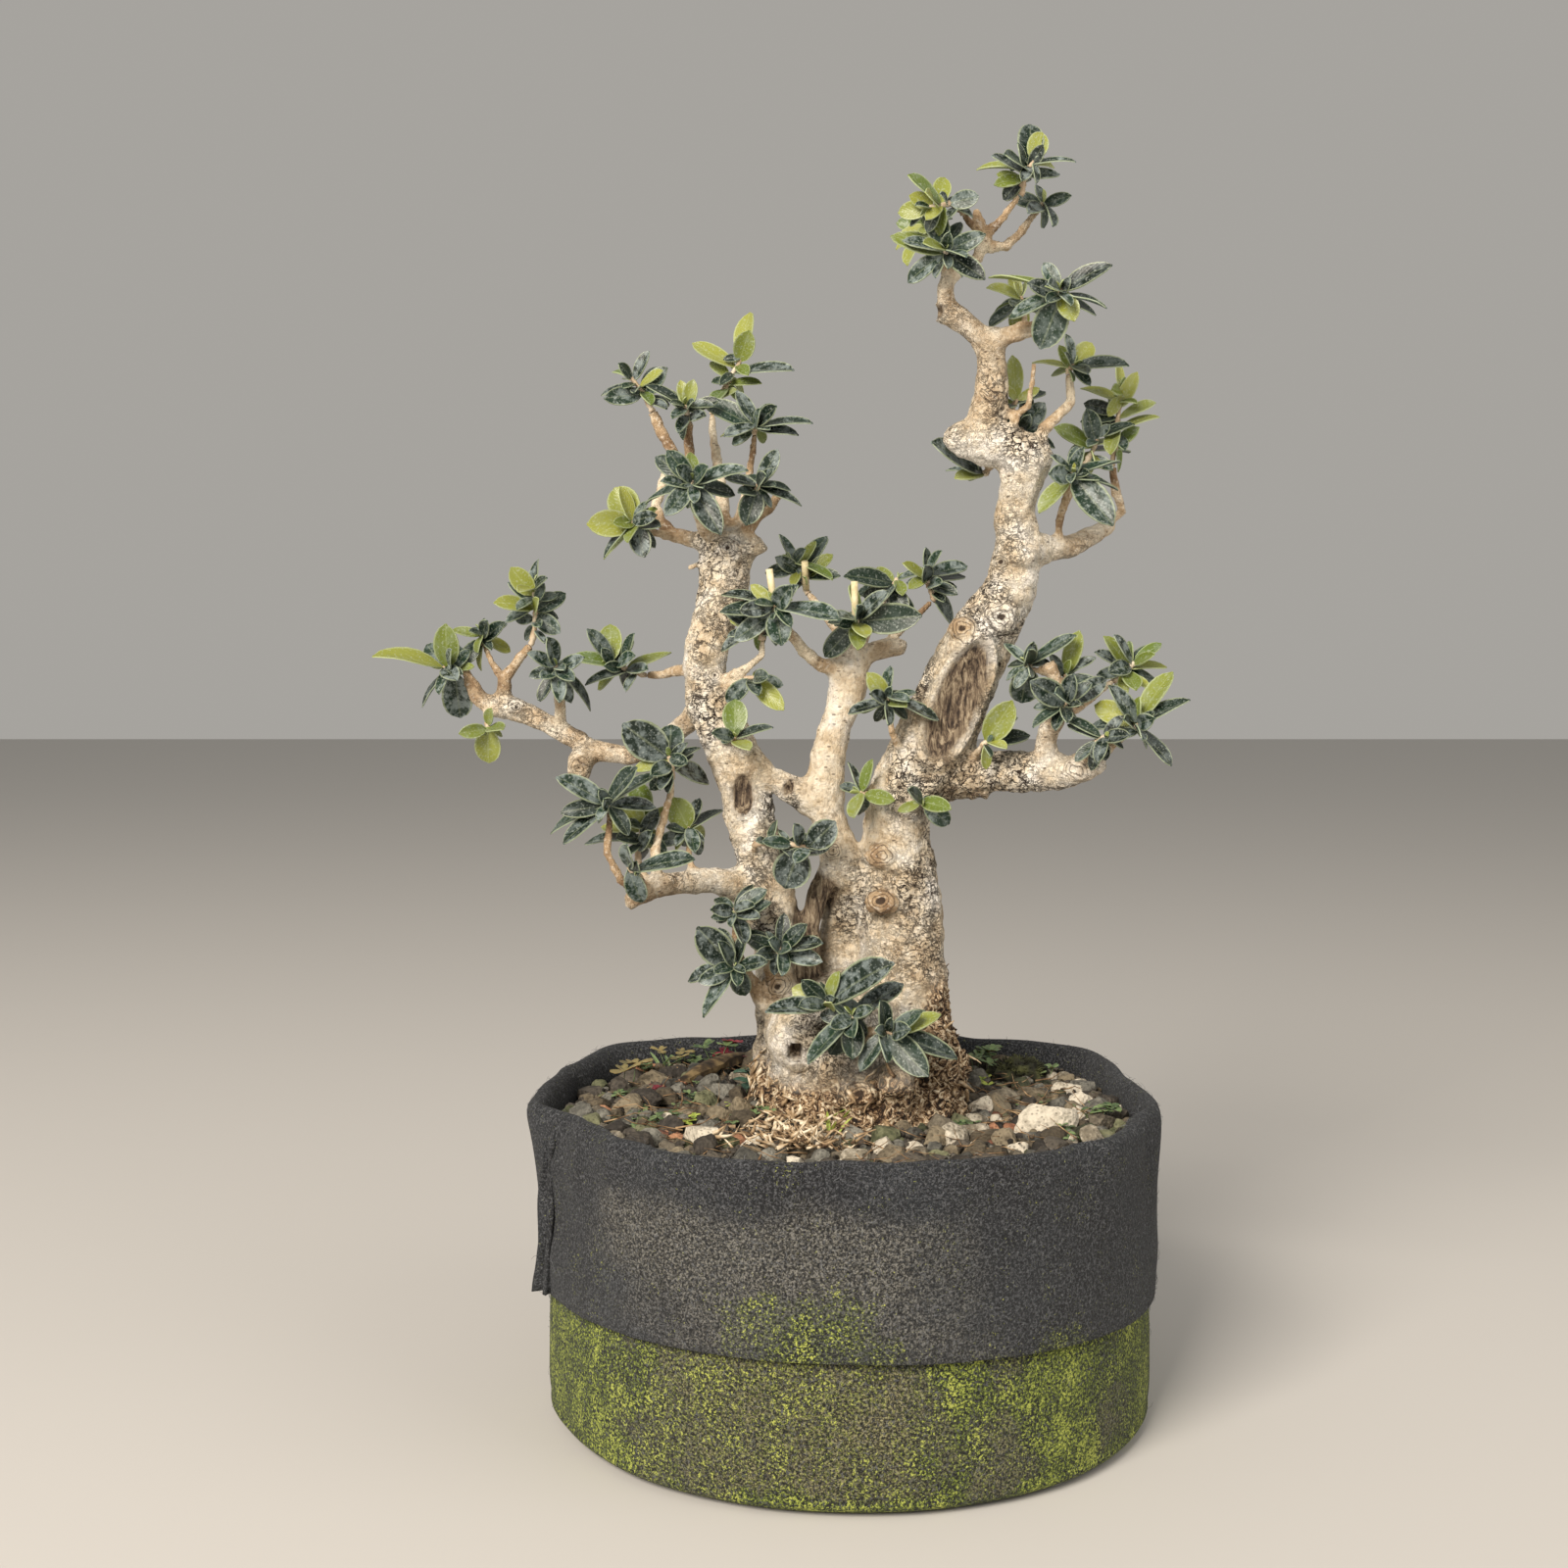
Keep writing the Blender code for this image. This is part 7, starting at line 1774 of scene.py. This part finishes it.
# Kind, colour, pixel across and down, height above the grit in mm, leaf size in mm and how many stalks
WEEDS = [
    ("clover", "brown", 627, 1104, 10, 6.6, 1), ("clover", "green", 640, 1092, 6, 3.6, 3),
    ("grass", "green", 702, 1066, 9, 4.4, 1), ("clover", "brown", 668, 1084, 9, 4.4, 2),
    ("clover", "green", 722, 1084, 10, 5.2, 2),
    ("clover", "green", 735, 1086, 6, 3.6, 3), ("clover", "green", 1003, 1096, 9, 4.8, 3),
    ("clover", "green", 1008, 1084, 10, 4.6, 3), ("clover", "lime", 1002, 1106, 5, 3.2, 3),
    ("clover", "green", 1072, 1098, 6, 3.2, 3), ("sprout", "dark", 757, 1114, 9, 7.4, 1),
    ("sprout", "dark", 778, 1108, 10, 8.2, 1), ("sprout", "wine", 758, 1088, 9, 5.6, 2),
    ("sprout", "wine", 668, 1112, 4, 3.2, 2), ("sprout", "green", 672, 1146, 5, 3.2, 4),
    ("sprout", "green", 690, 1142, 5, 3.6, 3), ("sprout", "lime", 704, 1150, 4, 2.8, 3),
    ("sprout", "green", 655, 1138, 4, 2.8, 3), ("sprout", "green", 1125, 1142, 9, 4.6, 3),
    ("sprout", "green", 1088, 1160, 4, 2.8, 3), ("sprout", "green", 985, 1152, 4, 3.0, 3),
    ("grass", "lime", 846, 1160, 2, 9.0, 2), ("grass", "lime", 858, 1160, 2, 8.0, 2),
    ("grass", "green", 680, 1092, 2, 11.0, 4), ("grass", "green", 1112, 1138, 2, 8.0, 3),
    ("clover", "green", 664, 1080, 6, 3.4, 3), ("sprout", "green", 712, 1108, 4, 3.0, 4),
    ("clover", "green", 700, 1126, 5, 3.2, 3), ("sprout", "green", 630, 1122, 4, 3.0, 3),
    ("sprout", "lime", 745, 1128, 3, 2.8, 2), ("clover", "green", 772, 1146, 5, 3.0, 2),
    ("sprout", "green", 650, 1156, 3, 2.8, 3), ("sprout", "green", 1050, 1122, 3, 2.8, 3),
    ("sprout", "wine", 1012, 1136, 3, 2.6, 2), ("sprout", "green", 755, 1150, 4, 2.8, 3),
]
stalks = []
weed_copies = {colour: [] for colour in WEED_GREENS}
for kind, colour, across, down, height, size, count in WEEDS:
    for _ in range(count + 1):
        foot_place = at_pixel(across + chance.uniform(-9, 9), down + chance.uniform(-5, 5), 120)
        while ring_share(foot_place) > 0.9:
            foot_place = foot_place * 0.98
        foot_place.z = ground(foot_place)
        lean = Vector((chance.uniform(-0.5, 0.5), chance.uniform(-0.5, 0.5), 1))
        top = foot_place + lean * height * chance.uniform(0.7, 1.2) * MM
        stalks.append([(foot_place, 0.3 * MM), (foot_place.lerp(top, 0.6), 0.24 * MM), (top, 0.2 * MM)])
        leaves = {"clover": 3, "sprout": 4, "grass": 1}[kind]
        first = chance.uniform(0, math.tau)
        for index in range(leaves):
            copy = copy_of(leaflets[kind])
            tilt = chance.uniform(-0.5, 0.1) if kind != "grass" else chance.uniform(-1.3, -0.8)
            turn = Matrix.Rotation(first + math.tau * index / leaves, 4, "Z") @ Matrix.Rotation(tilt, 4, "Y")
            grown = size * chance.uniform(0.8, 1.15) * MM
            copy.data.transform(Matrix.Translation(top) @ turn @ Matrix.Scale(grown, 4))
            store(copy, "tint", chance.random())
            weed_copies[colour].append(copy)
for colour, copies in weed_copies.items():
    weeds = join("weeds_" + colour, copies)
    coat(weeds, WEED_GREENS[colour])
    modify(weeds, "SOLIDIFY", thickness=0.25 * MM)
    finish_piece(weeds)
for disc in leaflets.values():
    bpy.data.objects.remove(disc)
stems = curves_as_mesh("weed_stalks", stalks, 5, WEED_GREENS["green"])
store(stems, "tint", 0.5)
finish_piece(stems)
print(len(stalks), "weed stalks")

# %% [markdown]
# ## Fuzz on the felt
#
# Single fibres stand off needled felt, mostly along its rim, its hem and its lower edge. They are thin
# curved hairs whose feet are on faces of the cloth, drawn by area.

# %% Fibres
FIBRES = 3000
# Middle and half height of the bands where fibres stand densest: the rim and the hem
FUZZY_BANDS = [(129 * MM, 4 * MM), (55 * MM, 9 * MM)]
bag.data.calc_loop_triangles()
count = len(bag.data.loop_triangles)
areas = np.empty(count)
bag.data.loop_triangles.foreach_get("area", areas)
corners = np.empty(count * 3, dtype=int)
bag.data.loop_triangles.foreach_get("vertices", corners)
corners = corners.reshape(-1, 3)
cloth = places_of(bag)
cloth_normals = normals_of(bag)
# The order of the faces can change from run to run, so they are put in the order of their places
order = np.lexsort(np.round(cloth[corners].mean(axis=1) / MM, 3).T)
areas, corners = areas[order], corners[order]
middles = cloth[corners].mean(axis=1)
lifts = cloth_normals[corners].mean(axis=1)
edge_like = sum(np.exp(-((middles[:, 2] - height) / half) ** 2) for height, half in FUZZY_BANDS)
in_sight = (np.einsum("ij,ij->i", middles[:, :2], lifts[:, :2]) > 0) | (middles[:, 2] > 112 * MM)
in_sight &= middles[:, 2] > 4 * MM
weights = areas * (0.5 + 3 * edge_like) * in_sight
picked = np.random.default_rng(SEED).choice(count, size=FIBRES, p=weights / weights.sum())
hairs = []
for index in picked:
    lift = Vector(lifts[index]).normalized()
    along = crosswise(lift, chance.uniform(0, math.tau))
    start = Vector(middles[index]) - lift * 0.1 * MM
    length, curl = chance.uniform(1.5, 4.5) * MM, chance.uniform(-1, 1)
    side = along.cross(lift)
    hairs.append([(start, 0.07 * MM), (start + (along * 0.5 + lift * 0.22) * length, 0.06 * MM),
                  (start + (along + lift * 0.12 + side * 0.4 * curl) * length, 0.04 * MM)])
hair_grey, shader = new_material("felt_hair", Roughness=0.9)
spot = add(hair_grey, "TexCoord", give="Object")
patchy = add(hair_grey, "TexNoise", {"Vector": spot, "Scale": 300.0})
shade = add(hair_grey, "ValToRGB", {"Fac": patchy}, stops=[(0.4, "#26282c"), (0.65, "#7e8186")])
set_inputs(hair_grey, shader, {"Base Color": shade})
fuzz = curves_as_mesh("felt_fibres", hairs, 4, hair_grey)
finish_piece(fuzz)
